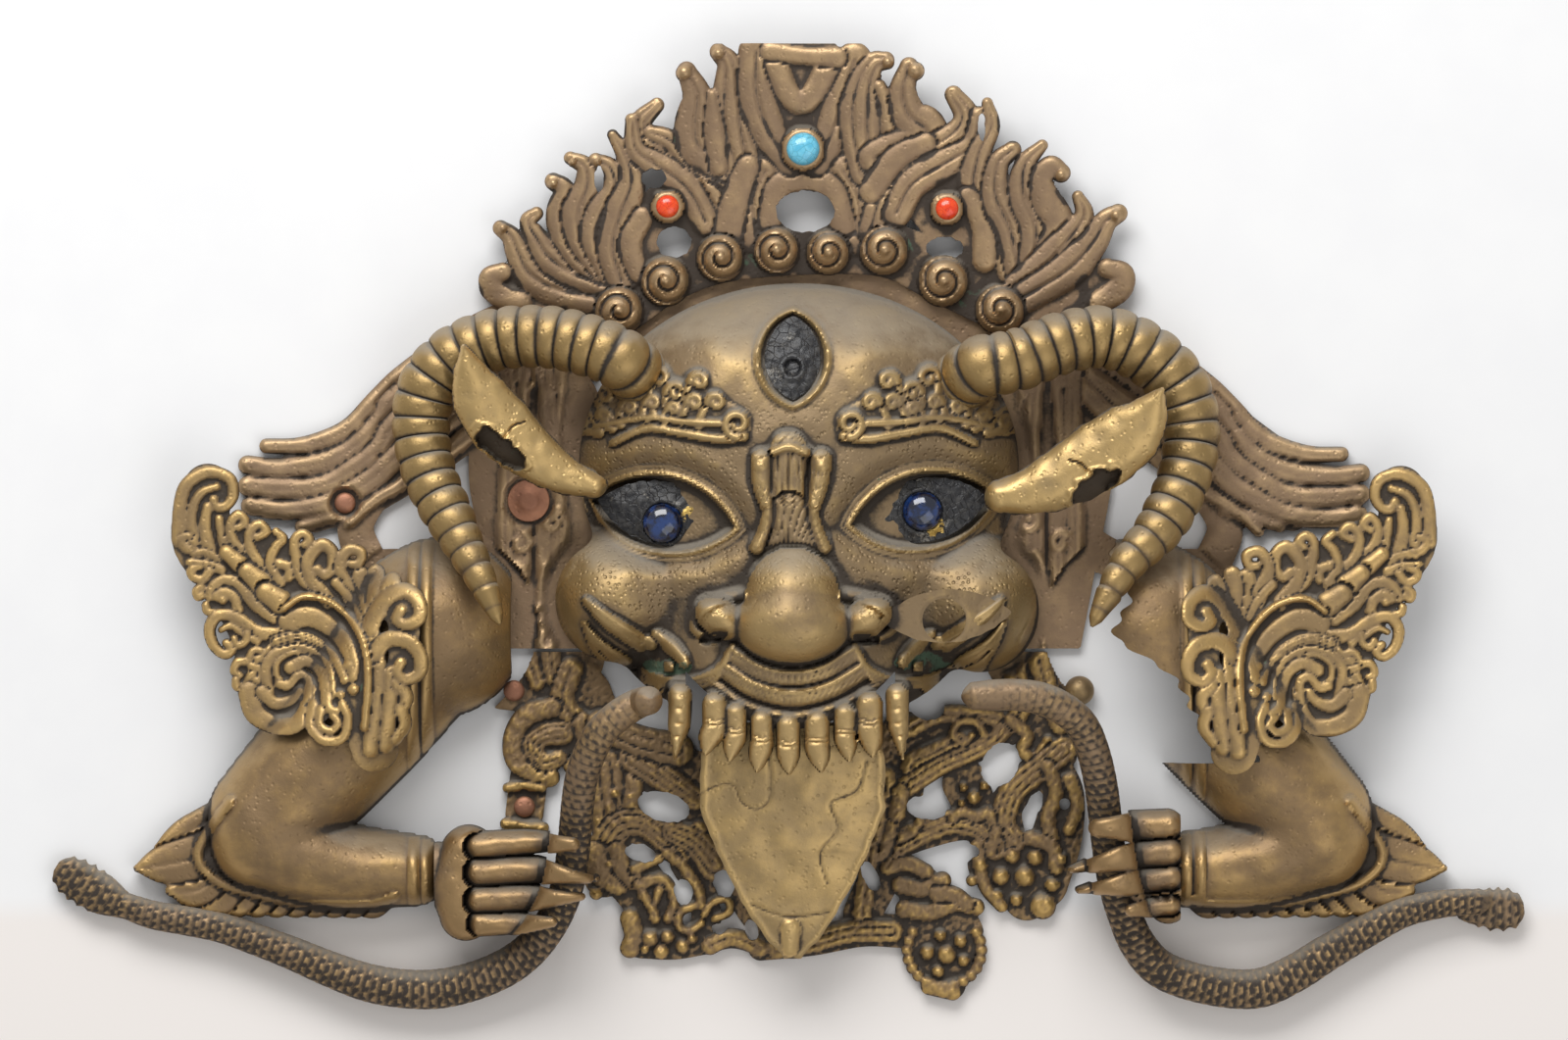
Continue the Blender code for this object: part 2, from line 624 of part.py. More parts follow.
crown = Relief((-152.0, 88.0, 170.0, 231.0), 2.2)
flames = (
    ([(-25, 172), (-24, 192), (-26, 210), (-35, 227)], 6.5, 2.2),
    ([(-32, 180), (-42, 194), (-45, 208), (-52, 218)], 6.0, 2.2),
    ([(-27, 146), (-36, 167), (-55, 183), (-69, 190), (-66, 200)], 9.0, 3.0),
    ([(-40, 150), (-52, 168), (-66, 178), (-74, 186)], 6.0, 2.4),
    ([(-72, 116), (-77, 140), (-76, 158), (-80, 174), (-84, 187)], 7.0, 2.2),
    ([(-86, 124), (-98, 143), (-98, 160), (-104, 174)], 6.5, 2.4),
    ([(-90, 122), (-106, 140), (-107, 154), (-112, 163)], 5.0, 2.2),
    ([(-88, 118), (-108, 128), (-118, 140), (-121, 149)], 5.6, 2.4),
    ([(-90, 110), (-114, 116), (-129, 130), (-137, 145)], 6.0, 2.4),
    ([(-94, 104), (-122, 110), (-143, 118)], 6.6, 5.6),
    ([(-7, 140), (-9, 156), (-14, 176), (-19, 198), (-18, 222)], 7.0, 3.4),
    ([(20, 140), (24, 156), (26, 176), (31, 198), (30, 224)], 7.0, 3.4),
    ([(-12, 226), (-6, 215), (6, 200), (18, 215), (24, 226)], 4.2, 4.2),
    ([(-36, 138), (-34, 152), (-22, 164), (-14, 170)], 7.0, 5.0),
    ([(46, 146), (44, 158), (36, 172), (36, 196), (43, 221)], 7.0, 2.4),
    ([(42, 168), (58, 184), (56, 204), (58, 219)], 6.0, 2.6),
    ([(48, 148), (56, 168), (74, 184), (81, 198), (82, 207)], 9.0, 3.2),
    ([(60, 160), (78, 176), (88, 190), (90, 198)], 6.0, 3.0),
    ([(100, 118), (92, 144), (90, 168), (92, 184), (94, 200)], 6.6, 2.2),
    ([(84, 128), (92, 150), (88, 164)], 6.0, 4.0),
    ([(106, 124), (104, 150), (112, 170), (117, 183)], 6.0, 2.4),
    ([(110, 122), (117, 140), (120, 156), (125, 169)], 5.0, 2.4),
    ([(110, 116), (124, 128), (132, 142), (138, 158)], 5.6, 2.4),
    ([(106, 110), (130, 118), (144, 134), (153, 149)], 6.2, 2.4),
    ([(110, 104), (136, 110), (158, 119)], 6.6, 5.6),
)
for points, start, end in flames:
    crown.stroke(points, start, end, 5.0)
for points, width in (
        ([(-80, 104), (-60, 118), (-34, 127), (4, 134), (45, 132), (73, 120), (102, 104)], 15.0),
        ([(-60, 140), (-34, 148), (4, 166), (40, 150), (72, 140)], 9.0),
        ([(-20, 172), (6, 180), (34, 172)], 14.0),
        ([(-90, 116), (-70, 128), (-62, 150)], 12.0),
        ([(108, 116), (88, 128), (78, 150)], 12.0)):
    crown.stroke(points, width, width, 0.6)
crown.metal = np.minimum(crown.metal, np.maximum(crown.y - 103.0, -face_outline(crown.x, crown.y) - 1.5))
crown.metal = np.minimum(crown.metal, -face_outline(crown.x, crown.y) - 1.2)
for centre, radii in (((7.0, 151.0), (14.0, 9.6)), ((-55.0, 136.0), (4.2, 3.6)), ((75.0, 134.0), (4.2, 2.6)),
                      ((-63.0, 166.0), (5.0, 4.0)), ((-90.0, 163.0), (1.9, 5.0))):
    crown.hole(centre, radii)
for k, centre in enumerate(CURLS):
    crown.boss(centre, CURL_RADIUS, 9.0)
    turn = 1.0 if centre[0] < 5 else -1.0
    crown.stroke(curl_path(centre, CURL_RADIUS - 3.0, 270.0, turn * 1.6, 0.1), 3.2, 2.4, 12.0, False)
    crown.boss(centre, 2.8, 15.0, False)
for seat, diameter in ((TURQUOISE_SEAT, TURQUOISE_DIAMETER), (CORAL_SEATS[0], CORAL_DIAMETER),
                       (CORAL_SEATS[1], CORAL_DIAMETER)):
    outer = 0.5 * steps(diameter) + steps(BEZEL_WALL)
    distance = np.hypot(crown.x - seat[0], crown.y - seat[1])
    crown.metal = np.maximum(crown.metal, outer - distance)
    crown.carving = np.where(distance < outer + 0.6, 7.0, crown.carving)
crown_low = crown_level(crown.y)
crown_sheet = raise_sheet("crown", crown, crown_low + steps(CROWN_THICKNESS) + crown.carving, crown_low,
                          material("crown_bronze", BRONZE, 0.5, 1.0), 1080)
stones = []
for name, seat, diameter, colour in (
        ("turquoise_cabochon", TURQUOISE_SEAT, TURQUOISE_DIAMETER, (0.10, 0.50, 0.70)),
        ("coral_cabochon_left", CORAL_SEATS[0], CORAL_DIAMETER, (0.75, 0.07, 0.02)),
        ("coral_cabochon_right", CORAL_SEATS[1], CORAL_DIAMETER, (0.80, 0.10, 0.02))):
    level = float(crown_level(np.array(seat[1]))) + steps(CROWN_THICKNESS) + 7.0
    stone = ball(name, (seat[0], seat[1], level + 1.6), diameter, material(name, colour, 0.25, 0.0))
    clear_of(stone, crown_sheet)
    stones.append(stone)

# Arms, hollow half shells from shoulder to wrist, each edged with leaves below the elbow

ARM_HEIGHT = 43.0


def arm_form(x, y, side):
    """Height of one arm over the plates, nought beyond its edge."""
    u = side * x
    form = dome(u, y, (166.0, -46.0), (41.0, 43.0), ARM_HEIGHT, 12.0)
    bare = form
    for route, wide, narrow, high, low in (
            ([(172, -46), (205, -90), (246, -136)], 39.0, 30.0, ARM_HEIGHT, ARM_HEIGHT - 6.0),
            ([(250, -146), (215, -158), (178, -161)], 25.0, 17.0, 36.0, 29.0)):
        distance, along = distance_along(u, y, smooth_path(route))
        radius = wide + (narrow - wide) * along
        barrel = (high + (low - high) * along) * np.sqrt(np.clip(1.0 - (distance / radius) ** 2, 0.0, 1.0))
        bare = np.maximum(bare, barrel)
        form = smooth_max(form, barrel, 6.0)
    return np.where(bare > 0.0, form, 0.0)


def arm_cover(x, y):
    """Nought where neither arm nor its edge lies over the plates."""
    spread = [arm_form(x + east, y + north, side)
              for side in (-1.0, 1.0) for east, north in ((0, 0), (5, 0), (-5, 0), (0, 5), (0, -5))]
    return np.maximum.reduce(spread)


def make_arm(name, side, wrist, inner_cut):
    """One arm with its elbow leaves, cord and wrist bracelets."""
    box = (-316.0, -196.0, -116.0, 8.0) if side < 0 else (126.0, -196.0, 320.0, 8.0)
    relief = Relief(box, 3.0)
    u, y = side * relief.x, relief.y
    form = arm_form(relief.x, y, side)
    relief.metal = (form - 3.0) / 2.0
    for k in range(15):
        share = k / 14.0
        x = wrist + 14.0 + (276.0 - wrist) * share
        foot = -169.0 - 7.0 * math.sin(math.pi * share) + 26.0 * max(share - 0.75, 0.0) * 4.0
        lean = 0.2 + 1.1 * share
        relief.stroke([(side * x, foot + 8.0), (side * (x + 6.0 * lean), foot - 1.0),
                       (side * (x + 13.0 * lean), foot - 7.0 + 5.0 * share)], 6.4, 2.0, 4.0)
    for leaf, wide, middle in (([(262, -132), (280, -140), (299, -150)], 9.0, 7.5),
                               ([(268, -150), (288, -156.5), (309, -160)], 12.0, 11.0),
                               ([(268, -158), (280, -165), (291, -167)], 7.0, 6.5)):
        relief.stroke([(side * x, y_place) for x, y_place in leaf], wide, 2.4, 4.0, True, middle)
    cord = [(side * 262, -128), (side * 276, -150), (side * 262, -167), (side * 222, -177), (side * 186, -171)]
    top = np.maximum(form, CAST + relief.carving)
    band_path = smooth_path(cord)
    distance, _ = distance_along(relief.x, y, band_path)
    top = np.maximum(top, np.where(distance < 4.2, np.maximum(form, 6.0) + 4.2 * np.sqrt(
        np.clip(1 - (distance / 4.2) ** 2, 0, 1)), 0.0))
    for x in (wrist + 3.0, wrist + 9.5):
        ring = np.abs(u - x) < 2.6
        top = np.where(ring & (form > 4.0), form + 2.4, top)
    relief.metal = np.minimum(relief.metal, u - wrist + 60.0 * (y > -120.0))
    relief.metal = np.minimum(relief.metal, inner_cut(relief.x, relief.y))
    top = top + SEAT
    low = np.maximum(eroded(top, WALL, 3.0) - WALL, SEAT)
    low = np.where(form < 3.4, SEAT, low)
    return raise_sheet(name, relief, top, low, material(f"{name}_brass", BRASS, 0.4, 1.0), 440)


LEFT_WRIST = 168.0
RIGHT_WRIST = 184.0
arm_left = make_arm("arm_left", -1.0, LEFT_WRIST, lambda x, y: -132.0 - x + 0.0 * y)
arm_right = make_arm("arm_right", 1.0, RIGHT_WRIST, lambda x, y: x - 156.0 - 4.0 * np.sin(y * 0.16)
                     - np.where(y < -50.0, -1.05 * (y + 50.0), 0.0) * (y > -110.0))

# Foliate armlets over the upper arms


def make_armlet(name, side, shift):
    """One pierced foliate wing that lies on the arm and stands free beyond it."""
    box = (-296.0, -140.0, -166.0, 36.0) if side < 0 else (166.0, -140.0, 304.0, 36.0)
    relief = Relief(box, 2.4)

    def at(x, y):
        return side * x + shift[0], y + shift[1]

    relief.stroke([at(272, 8), at(256, -20), at(232, -44), at(222, -70)], 15.0, 24.0, 2.0, True, 24.0)
    relief.stroke([at(196, -30), at(190, -60), at(196, -96), at(200, -128)], 13.0, 3.0, 2.0, True, 13.0)
    relief.curl(at(272, 14), 13.0, 200.0, side * -1.1, 5.0, 5.0)
    for x, y, size in ((284, -4, 7.0), (277, -22, 6.5), (273, -40, 6.5), (265, -56, 6.5), (256, -70, 6.5)):
        relief.curl(at(x, y), size, 120.0, side * 1.0, 3.0, 5.0)
    for x, y, size in ((256, 6, 6.5), (244, -4, 6.5), (230, -8, 6.5), (212, -14, 7.0), (197, -20, 7.5),
                       (181, -37, 8.0), (178, -64, 8.0), (184, -88, 6.0), (190, -108, 4.0)):
        relief.curl(at(x, y), size, 300.0, side * -1.0, 3.0, 5.0)
    for x, y in ((260, -13), (252, -21), (243, -31)):
        relief.boss(at(x, y), 6.2, 7.0)
    relief.stroke([at(240, -36), at(227, -30), at(211, -38), at(199, -56), at(195, -80), at(199, -118)],
                  3.0, 2.4, 7.0, False)
    relief.stroke([at(239, -42), at(222, -43), at(210, -55), at(204, -68)], 4.0, 2.0, 7.0, False)
    relief.curl(at(238, -80), 13.0, 100.0, side * 1.2, 4.2, 7.0)
    relief.curl(at(214, -92), 8.5, 60.0, side * -1.1, 3.6, 6.0)
    relief.stroke([at(223, -25), at(214, -26), at(199, -42), at(190, -60), at(186, -84)], 2.8, 2.0, 5.0, False)
    seat = arm_form(relief.x, relief.y, side) + SEAT
    low = smooth_max(seat + 3.2, 28.0 + 0.0 * seat, 6.0)
    return raise_sheet(name, relief, low + CAST + relief.carving, low,
                       material(f"{name}_brass", (0.42, 0.29, 0.12), 0.38, 1.0), 450)


armlet_left = make_armlet("armlet_left", -1.0, (0.0, 0.0))
armlet_right = make_armlet("armlet_right", 1.0, (13.0, -1.0))

# Hair sheet behind everything, swept out to both sides

mane = Relief((-262.0, -60.0, 276.0, 124.0), 3.4)
hair = ((-1.0, ((100, 114), (142, 99), (189, 69), (221, 43), (251, 38)),
         ((112, 84), (150, 46), (196, 14), (226, 4), (255, 11))),
        (1.0, ((110, 114), (165, 99), (208, 62), (238, 38), (268, 31)),
         ((124, 84), (166, 52), (206, 20), (238, 5), (266, 6))))
for side, outer, inner in hair:
    outer_path, inner_path = np.array(outer, dtype=float), np.array(inner, dtype=float)
    for k in range(6):
        share = k / 5.0
        lock = outer_path * (1.0 - share) + inner_path * share
        mane.stroke([(side * x, y) for x, y in lock], 6.6, 2.4, 5.5, True, 6.0)
    for k in range(4):
        lock = outer_path * (0.8 - 0.25 * k) + inner_path * (0.2 + 0.25 * k)
        mane.stroke([(side * x, y) for x, y in lock[:4]], 9.0, 7.0, 0.0)
    mane.stroke([(side * 116, 96), (side * 132, 40), (side * 128, -14), (side * 124, -52)], 20.0, 14.0, 0.0, True, 20.0)
    mane.stroke([(side * 206, 10), (side * 232, 2)], 4.0, 3.0, 3.0)
    mane.stroke([(side * 196, 20), (side * 206, 2), (side * 200, -16)], 8.0, 9.0, 1.0)
    mane.stroke([(side * 136, -4), (side * 160, -16), (side * 196, -18)], 9.0, 9.0, 0.0)
mane.stroke([(-104, 90), (-60, 116), (4, 126), (66, 116), (110, 90)], 20.0, 20.0, 0.0)
STREAMER_RIVET = (-211.0, 13.0)
PATCH = (-124.0, 14.0)
mane.flat(STREAMER_RIVET, 0.5 * steps(RIVET_DIAMETER))
mane.flat(PATCH, 0.5 * steps(PATCH_DIAMETER))
mane.metal = np.minimum(mane.metal, 9.0 - face_outline(mane.x, mane.y))
mane.metal = np.minimum(mane.metal, 121.5 - mane.y)
mane.metal = np.minimum(mane.metal, mane.y + 56.0)
under_crown = np.minimum(174.0 - np.abs(mane.x - 6.0), mane.y - 98.0)
covered = np.maximum(face_outline(mane.x, mane.y) + 4.0, under_crown + 4.0)
mane_top = PLATE + mane.carving * ease(-covered / 6.0) * (arm_cover(mane.x, mane.y) < 0.5)
mane_plate = raise_sheet("mane_plate", mane, mane_top, np.zeros(mane_top.shape),
                         material("mane_bronze", BRONZE, 0.55, 1.0), 600)

# Pierced foliage plate under the jaw

foliage = Relief((-150.0, -226.0, 146.0, -57.5), 2.5)
for points, start, end, lift in (
        ([(-106, -50), (-110, -72), (-112, -100)], 16.0, 12.0, 2.0),
        ([(-118, -76), (-136, -76)], 11.0, 9.0, 0.0),
        ([(-126, -122), (-126, -134)], 9.0, 9.0, 0.0),
        ([(-100, -80), (-78, -96), (-52, -112)], 12.0, 14.0, 2.0),
        ([(-96, -104), (-92, -136), (-84, -168)], 12.0, 8.0, 2.0),
        ([(-88, -120), (-70, -144), (-50, -154)], 7.0, 7.0, 3.0),
        ([(-60, -148), (-46, -158), (-38, -178)], 8.0, 7.0, 4.0),
        ([(-84, -164), (-66, -186), (-60, -198)], 9.0, 9.0, 4.0),
        ([(-60, -196), (-40, -194), (-14, -200)], 7.0, 6.0, 3.0),
        ([(-58, -168), (-66, -182)], 5.0, 6.0, 4.0),
        ([(-44, -112), (-42, -140), (-26, -170), (-14, -190)], 6.0, 5.0, 2.0),
        ([(108, -50), (114, -76), (122, -104)], 14.0, 10.0, 2.0),
        ([(100, -78), (84, -84), (62, -104)], 10.0, 12.0, 2.0),
        ([(120, -100), (128, -124), (118, -146), (112, -168)], 12.0, 14.0, 4.0),
        ([(48, -100), (48, -130), (44, -152), (20, -186)], 8.0, 7.0, 2.0),
        ([(60, -112), (84, -130), (104, -146)], 11.0, 10.0, 4.0),
        ([(46, -152), (68, -141), (86, -144), (96, -156)], 7.0, 7.0, 4.0),
        ([(100, -160), (104, -172), (120, -178)], 9.0, 9.0, 4.0),
        ([(60, -165), (72, -180), (74, -198), (76, -214)], 12.0, 6.0, 4.0),
        ([(56, -192), (92, -192)], 8.0, 8.0, 3.0),
        ([(28, -190), (52, -186), (64, -176)], 6.0, 6.0, 3.0),
        ([(-56, -112), (0, -118), (56, -108)], 9.0, 9.0, 0.0),
        ([(-16, -199), (4, -196), (28, -190)], 6.0, 6.0, 1.0)):
    foliage.stroke(points, start, end, lift)
for x, y, size, turn in ((-123, -101, 12.0, 1.0), (-96, -128, 8.0, -1.0), (-70, -158, 7.0, 1.0),
                         (-74, -186, 7.0, -1.0), (82, -97, 9.0, 1.0), (112, -112, 8.0, -1.0),
                         (108, -150, 8.0, 1.0), (122, -168, 7.0, -1.0), (66, -150, 7.0, 1.0)):
    foliage.curl((x, y), size, 90.0, turn, 3.4, 7.0)
for x, y, size in ((-59, -193, 4), (-61, -201, 4), (-50, -196, 4), (-43, -188, 4), (106, -154, 4.5),
                   (116, -157, 4.5), (110, -165, 5), (100, -166, 4.5), (119, -177, 7), (74, -200, 5),
                   (65, -199, 4), (82, -195, 4), (84, -127, 4), (-34, -120, 4)):
    foliage.boss((x, y), size, 10.0)
for centre, radii, turn in (
        ((-60, -131), (12.5, 7.0), -20.0), ((-85, -109), (2.4, 5.0), 10.0), ((-72, -153), (6.5, 3.8), -30.0),
        ((-50, -171), (3.4, 5.4), 10.0), ((-31, -166), (3.4, 5.6), 16.0), ((-35, -189), (4.0, 2.6), 0.0),
        ((63, -82), (9.0, 8.0), -30.0), ((99, -112), (9.0, 9.0), 30.0), ((66, -132), (9.0, 5.6), -10.0),
        ((115, -130), (3.6, 6.0), 0.0), ((130, -130), (2.8, 2.8), 0.0), ((81, -153), (7.0, 4.0), 10.0),
        ((38, -165), (3.8, 7.0), 10.0)):
    foliage.hole(centre, radii, turn)
ARM_TAB_RIVET = (-131.0, -76.0)
FOLIAGE_RIVET = (-126.0, -131.0)
BALL_RIVET = (137.0, -76.0)
for seat, diameter in ((ARM_TAB_RIVET, RIVET_DIAMETER), (FOLIAGE_RIVET, RIVET_DIAMETER),
                       (BALL_RIVET, BALL_RIVET_DIAMETER)):
    foliage.flat(seat, 0.5 * steps(diameter))
foliage.metal = np.minimum(foliage.metal, 9.0 - face_outline(foliage.x, foliage.y))
foliage.metal = np.minimum(foliage.metal, -57.6 - foliage.y)
foliage.metal = np.minimum(foliage.metal, 2.0 - arm_cover(foliage.x, foliage.y))
foliage_top = CAST + foliage.carving * ease((-face_outline(foliage.x, foliage.y) - 2.0) / 5.0)
foliage_plate = raise_sheet("foliage_plate", foliage, foliage_top, np.zeros(foliage_top.shape),
                            material("foliage_brass", BRASS, 0.48, 1.0), 1040)

# Horns, ringed tubes that curl out and down


def make_horn(name, route):
    """One horn with raised rings that fade towards its smooth tip."""
    path = smooth_path(route, 12)
    lengths = np.concatenate([[0.0], np.cumsum(np.linalg.norm(np.diff(path, axis=0), axis=1))])
    stations = []
    rings = 15
    for k in range(2 * rings + 1):
        share = 0.92 * k / (2 * rings)
        place = [float(np.interp(share * lengths[-1], lengths, path[:, axis])) for axis in range(3)]
        radius = 0.5 * steps(HORN_ROOT_DIAMETER) * float(np.interp(share, (0, 0.45, 0.75, 1), (1, 1.0, 0.8, 0.36)))
        stations.append((*place, radius * (1.0 if k % 2 else 0.86)))
    stations.append((*[float(np.interp(0.985 * lengths[-1], lengths, path[:, axis])) for axis in range(3)], 3.4))
    stations.append((*[float(value) for value in path[-1]], 1.4))
    return tube(name, stations, 8, material(f"{name}_brass", BRASS, 0.42, 1.0))


horn_left = make_horn("horn_left", [(-74, 76, 42), (-92, 86, 38), (-114, 91, 34), (-138, 90, 30), (-158, 82, 28),
                                    (-171, 67, 27), (-174, 47, 27), (-169, 24, 32), (-157, 0, 41),
                                    (-145, -23, 51), (-136, -44, 56)])
horn_right = make_horn("horn_right", [(84, 74, 42), (106, 80, 38), (127, 88, 34), (148, 91, 30), (168, 83, 28),
                                      (183, 68, 27), (189, 47, 27), (185, 24, 32), (174, 2, 40),
                                      (158, -16, 49), (148, -32, 54), (141, -45, 57)])
clear_of(horn_left, face)
clear_of(horn_right, face)

# Ears, rolled leaves torn through near their tips


def make_ear(name, route, widths, hole, hole_radii, turn):
    """One rolled, torn ear that stands out in front of the horn."""
    xs, ys = [point[0] for point in route], [point[1] for point in route]
    relief = Relief((min(xs) - 26, min(ys) - 26, max(xs) + 26, max(ys) + 26), 2.4)
    path = smooth_path(route)
    distance, along = distance_along(relief.x, relief.y, path)
    radius = np.interp(along, (0.0, 0.25, 0.55, 0.75, 0.9, 1.0), widths)
    relief.metal = radius - distance
    relief.hole(hole, hole_radii, turn)
    level = np.interp(along, (0.0, 0.5, 1.0), (40.0, 46.0, 54.0))
    top = level + 0.6 * radius * (1.0 - np.clip(distance / radius, 0.0, 1.0) ** 2)
    return raise_sheet(name, relief, top, top - steps(EAR_WALL), material(f"{name}_brass", BRASS, 0.38, 1.0), 170)


ear_left = make_ear("ear_left", [(-92, 21), (-108, 27), (-125, 39), (-139, 53), (-148, 68), (-153, 86)],
                    (6.0, 11.0, 15.5, 13.5, 7.5, 2.4), (-135, 39.5), (12.0, 4.4), -38.0)
ear_right = make_ear("ear_right", [(99, 16), (115, 19), (132, 27), (150, 38), (165, 51), (174, 66)],
                     (8.0, 13.5, 17.0, 15.0, 8.5, 2.4), (143, 21), (12.0, 4.6), 36.0)
clear_of(ear_left, face, horn_left)
clear_of(ear_right, face, horn_right)

# Snakes, cast tubes that run from the jaw through the hands to the tails; heights are their undersides

snakes = {}
snake_routes = {}
for name, route in (
        ("snake_left", [(-65, -79, 52, 0.86), (-75, -83, 50, 0.95), (-89, -95, 47, 1), (-98, -116, 38, 1),
                        (-101, -139, 28, 1), (-105, -167, 19, 1), (-116, -190, 12, 1.05), (-135, -207, 6, 1.15),
                        (-166, -218, 2.5, 1.2), (-200, -214, 2.5, 1.15), (-236, -200, 2.5, 1.0),
                        (-270, -188, 1.5, 0.9), (-302, -182, 0, 0.8), (-324, -174, -1.4, 0.72)]),
        ("snake_right", [(80, -78, 52, 0.8), (97, -77, 50, 0.95), (118, -79, 48, 1), (137, -92, 42, 1),
                         (146, -120, 32, 1), (150, -150, 22, 1), (158, -182, 12, 1.05), (176, -208, 6, 1.15),
                         (220, -218, 2.5, 1.2), (254, -200, 2.5, 1.1), (290, -181, 2, 0.9),
                         (320, -176, 0, 0.8), (333, -178, -1.4, 0.72)])):
    path = smooth_path([point[:3] for point in route], 2)
    path[:, 2] += 0.5 * steps(SNAKE_DIAMETER)
    for place in path:
        near = np.hypot(face_relief.x - place[0], face_relief.y - place[1]) < 0.5 * steps(SNAKE_DIAMETER) + 1.0
        hidden = near & (face_relief.metal > -2.0)
        if hidden.any():
            place[2] = max(place[2], merged[hidden].max() + 0.5 * steps(SNAKE_DIAMETER) + 0.8)
    width = np.interp(np.linspace(0, 1, len(path)), np.linspace(0, 1, len(route)), [point[3] for point in route])
    belly = SNAKE_BELLY_DIAMETER / SNAKE_DIAMETER / 1.2
    radius = [0.5 * steps(SNAKE_DIAMETER) * (value if value < 1.02 else value * belly) for value in width]
    stations = [(*[float(value) for value in place], r) for place, r in zip(path, radius)]
    snake_routes[name] = np.array(stations)
    end = stations[-1]
    heading = -1.0 if end[0] < 0 else 1.0
    tip = 348.8 * heading
    lift = 26.0 if heading < 0 else 1.0
    for share, size, flat in ((0.3, 0.40, 0.9), (0.55, 0.60, 0.6), (0.8, 0.65, 0.5), (1.0, 0.30, 0.8)):
        stations.append((end[0] + (tip - end[0]) * share, end[1] + lift * 0.62 * share, end[2] - 0.5,
                         size * steps(SNAKE_DIAMETER), flat))
    snakes[name] = tube(name, stations, 8, material(f"{name}_bronze", BRONZE, 0.45, 1.0))

# Hands, cast fists with a cuff, which close over the snakes


def make_hand(name, side, wrist, back, fingers, snake_path):
    """One fist: its back, a cuff and four fingers, with a groove for the snake that it holds."""
    xs = [-wrist, -86.0] if side < 0 else [126.0, wrist]
    relief = Relief((min(xs) - 4, -198.0, max(xs) + 4, -126.0), 2.2)
    route, start, middle, end = back
    relief.stroke(route, start, end, 15.0, True, middle)
    relief.stroke([(side * (wrist + 2.0), -162.0), (side * (wrist - 12.0), -163.0)], 15.0, 15.5, 9.0)
    for points, start, middle, end in fingers:
        relief.stroke(points, start, end, 11.0, True, middle)
    relief.metal = np.minimum(relief.metal, wrist - steps(GAP) - side * relief.x)
    distance, along = distance_along(relief.x, relief.y, snake_path)
    reach = snake_path[:, 3].max() + 1.4
    groove = np.interp(along, np.linspace(0.0, 1.0, len(snake_path)), snake_path[:, 2])
    groove = groove + reach * np.sqrt(np.clip(1.0 - (distance / (reach + 0.6)) ** 2, 0.0, 1.0))
    low = np.where(distance < reach + 0.6, np.maximum(groove, 14.0), 14.0)
    top = np.maximum(27.0 + relief.carving, low + 3.6 + relief.carving * 0.45)
    return raise_sheet(name, relief, top, low, material(f"{name}_brass", BRASS, 0.42, 1.0), 320)


hand_left = make_hand("hand_left", -1.0, LEFT_WRIST, ([(-152, -152), (-155, -166), (-153, -181)], 13.0, 15.5, 12.5),
                      (([(-146, -185), (-127, -185), (-112, -184)], 6.6, 5.4, 2.8),
                       ([(-147, -174), (-122, -173), (-98, -172)], 7.2, 6.4, 2.6),
                       ([(-147, -149), (-124, -147), (-102, -147)], 7.0, 6.0, 3.4),
                       ([(-147, -161), (-120, -160), (-91.5, -164)], 7.4, 6.6, 2.6)), snake_routes["snake_left"])
hand_right = make_hand("hand_right", 1.0, RIGHT_WRIST, ([(178, -142), (180, -160), (178, -176)], 10.0, 11.5, 9.5),
                       (([(179, -176.5), (169, -177.5), (160, -178.6)], 5.8, 5.0, 3.0),
                        ([(179, -163.5), (158, -166), (136, -169.6)], 7.0, 6.0, 2.6),
                        ([(178, -139), (160, -139.3), (144, -139.4)], 7.6, 7.2, 4.4),
                        ([(179, -151.5), (156, -154), (132, -160)], 7.2, 6.4, 2.6)), snake_routes["snake_right"])

# Copper rivets and tabs that fix the pieces to the plates

copper = material("copper", COPPER, 0.45, 1.0)
radius = 0.5 * steps(RIVET_DIAMETER)
height = steps(RIVET_HEIGHT)
head = [(radius, 0.0), (radius, 0.3 * height), (radius * 0.7, 0.8 * height), (radius * 0.25, height)]
for name, (x, y), plate, thickness in (
        ("rivet_arm_tab_left", ARM_TAB_RIVET, foliage_plate, CAST),
        ("rivet_foliage_left", FOLIAGE_RIVET, foliage_plate, CAST),
        ("rivet_streamer_left", STREAMER_RIVET, mane_plate, PLATE)):
    clear_of(turned(name, (x, y, thickness + CLEAR), head, 10, copper), plate)
ball_radius = 0.5 * steps(BALL_RIVET_DIAMETER)
ball_head = [(ball_radius * math.cos(math.radians(angle)), ball_radius * math.sin(math.radians(angle)))
             for angle in (0, 25, 50, 75)]
clear_of(turned("rivet_ball_right", (*BALL_RIVET, CAST + CLEAR), ball_head, 12, copper), foliage_plate)
patch = [(0.5 * steps(PATCH_DIAMETER), 0.0), (0.5 * steps(PATCH_DIAMETER), 1.2), (5.0, 1.2), (4.2, 2.4), (1.2, 2.4)]
clear_of(turned("copper_patch_left", (*PATCH, PLATE + CLEAR), patch, 12, copper), mane_plate)
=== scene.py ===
"""The looks of a brass guardian mask that lies on its back under soft studio light."""
import math

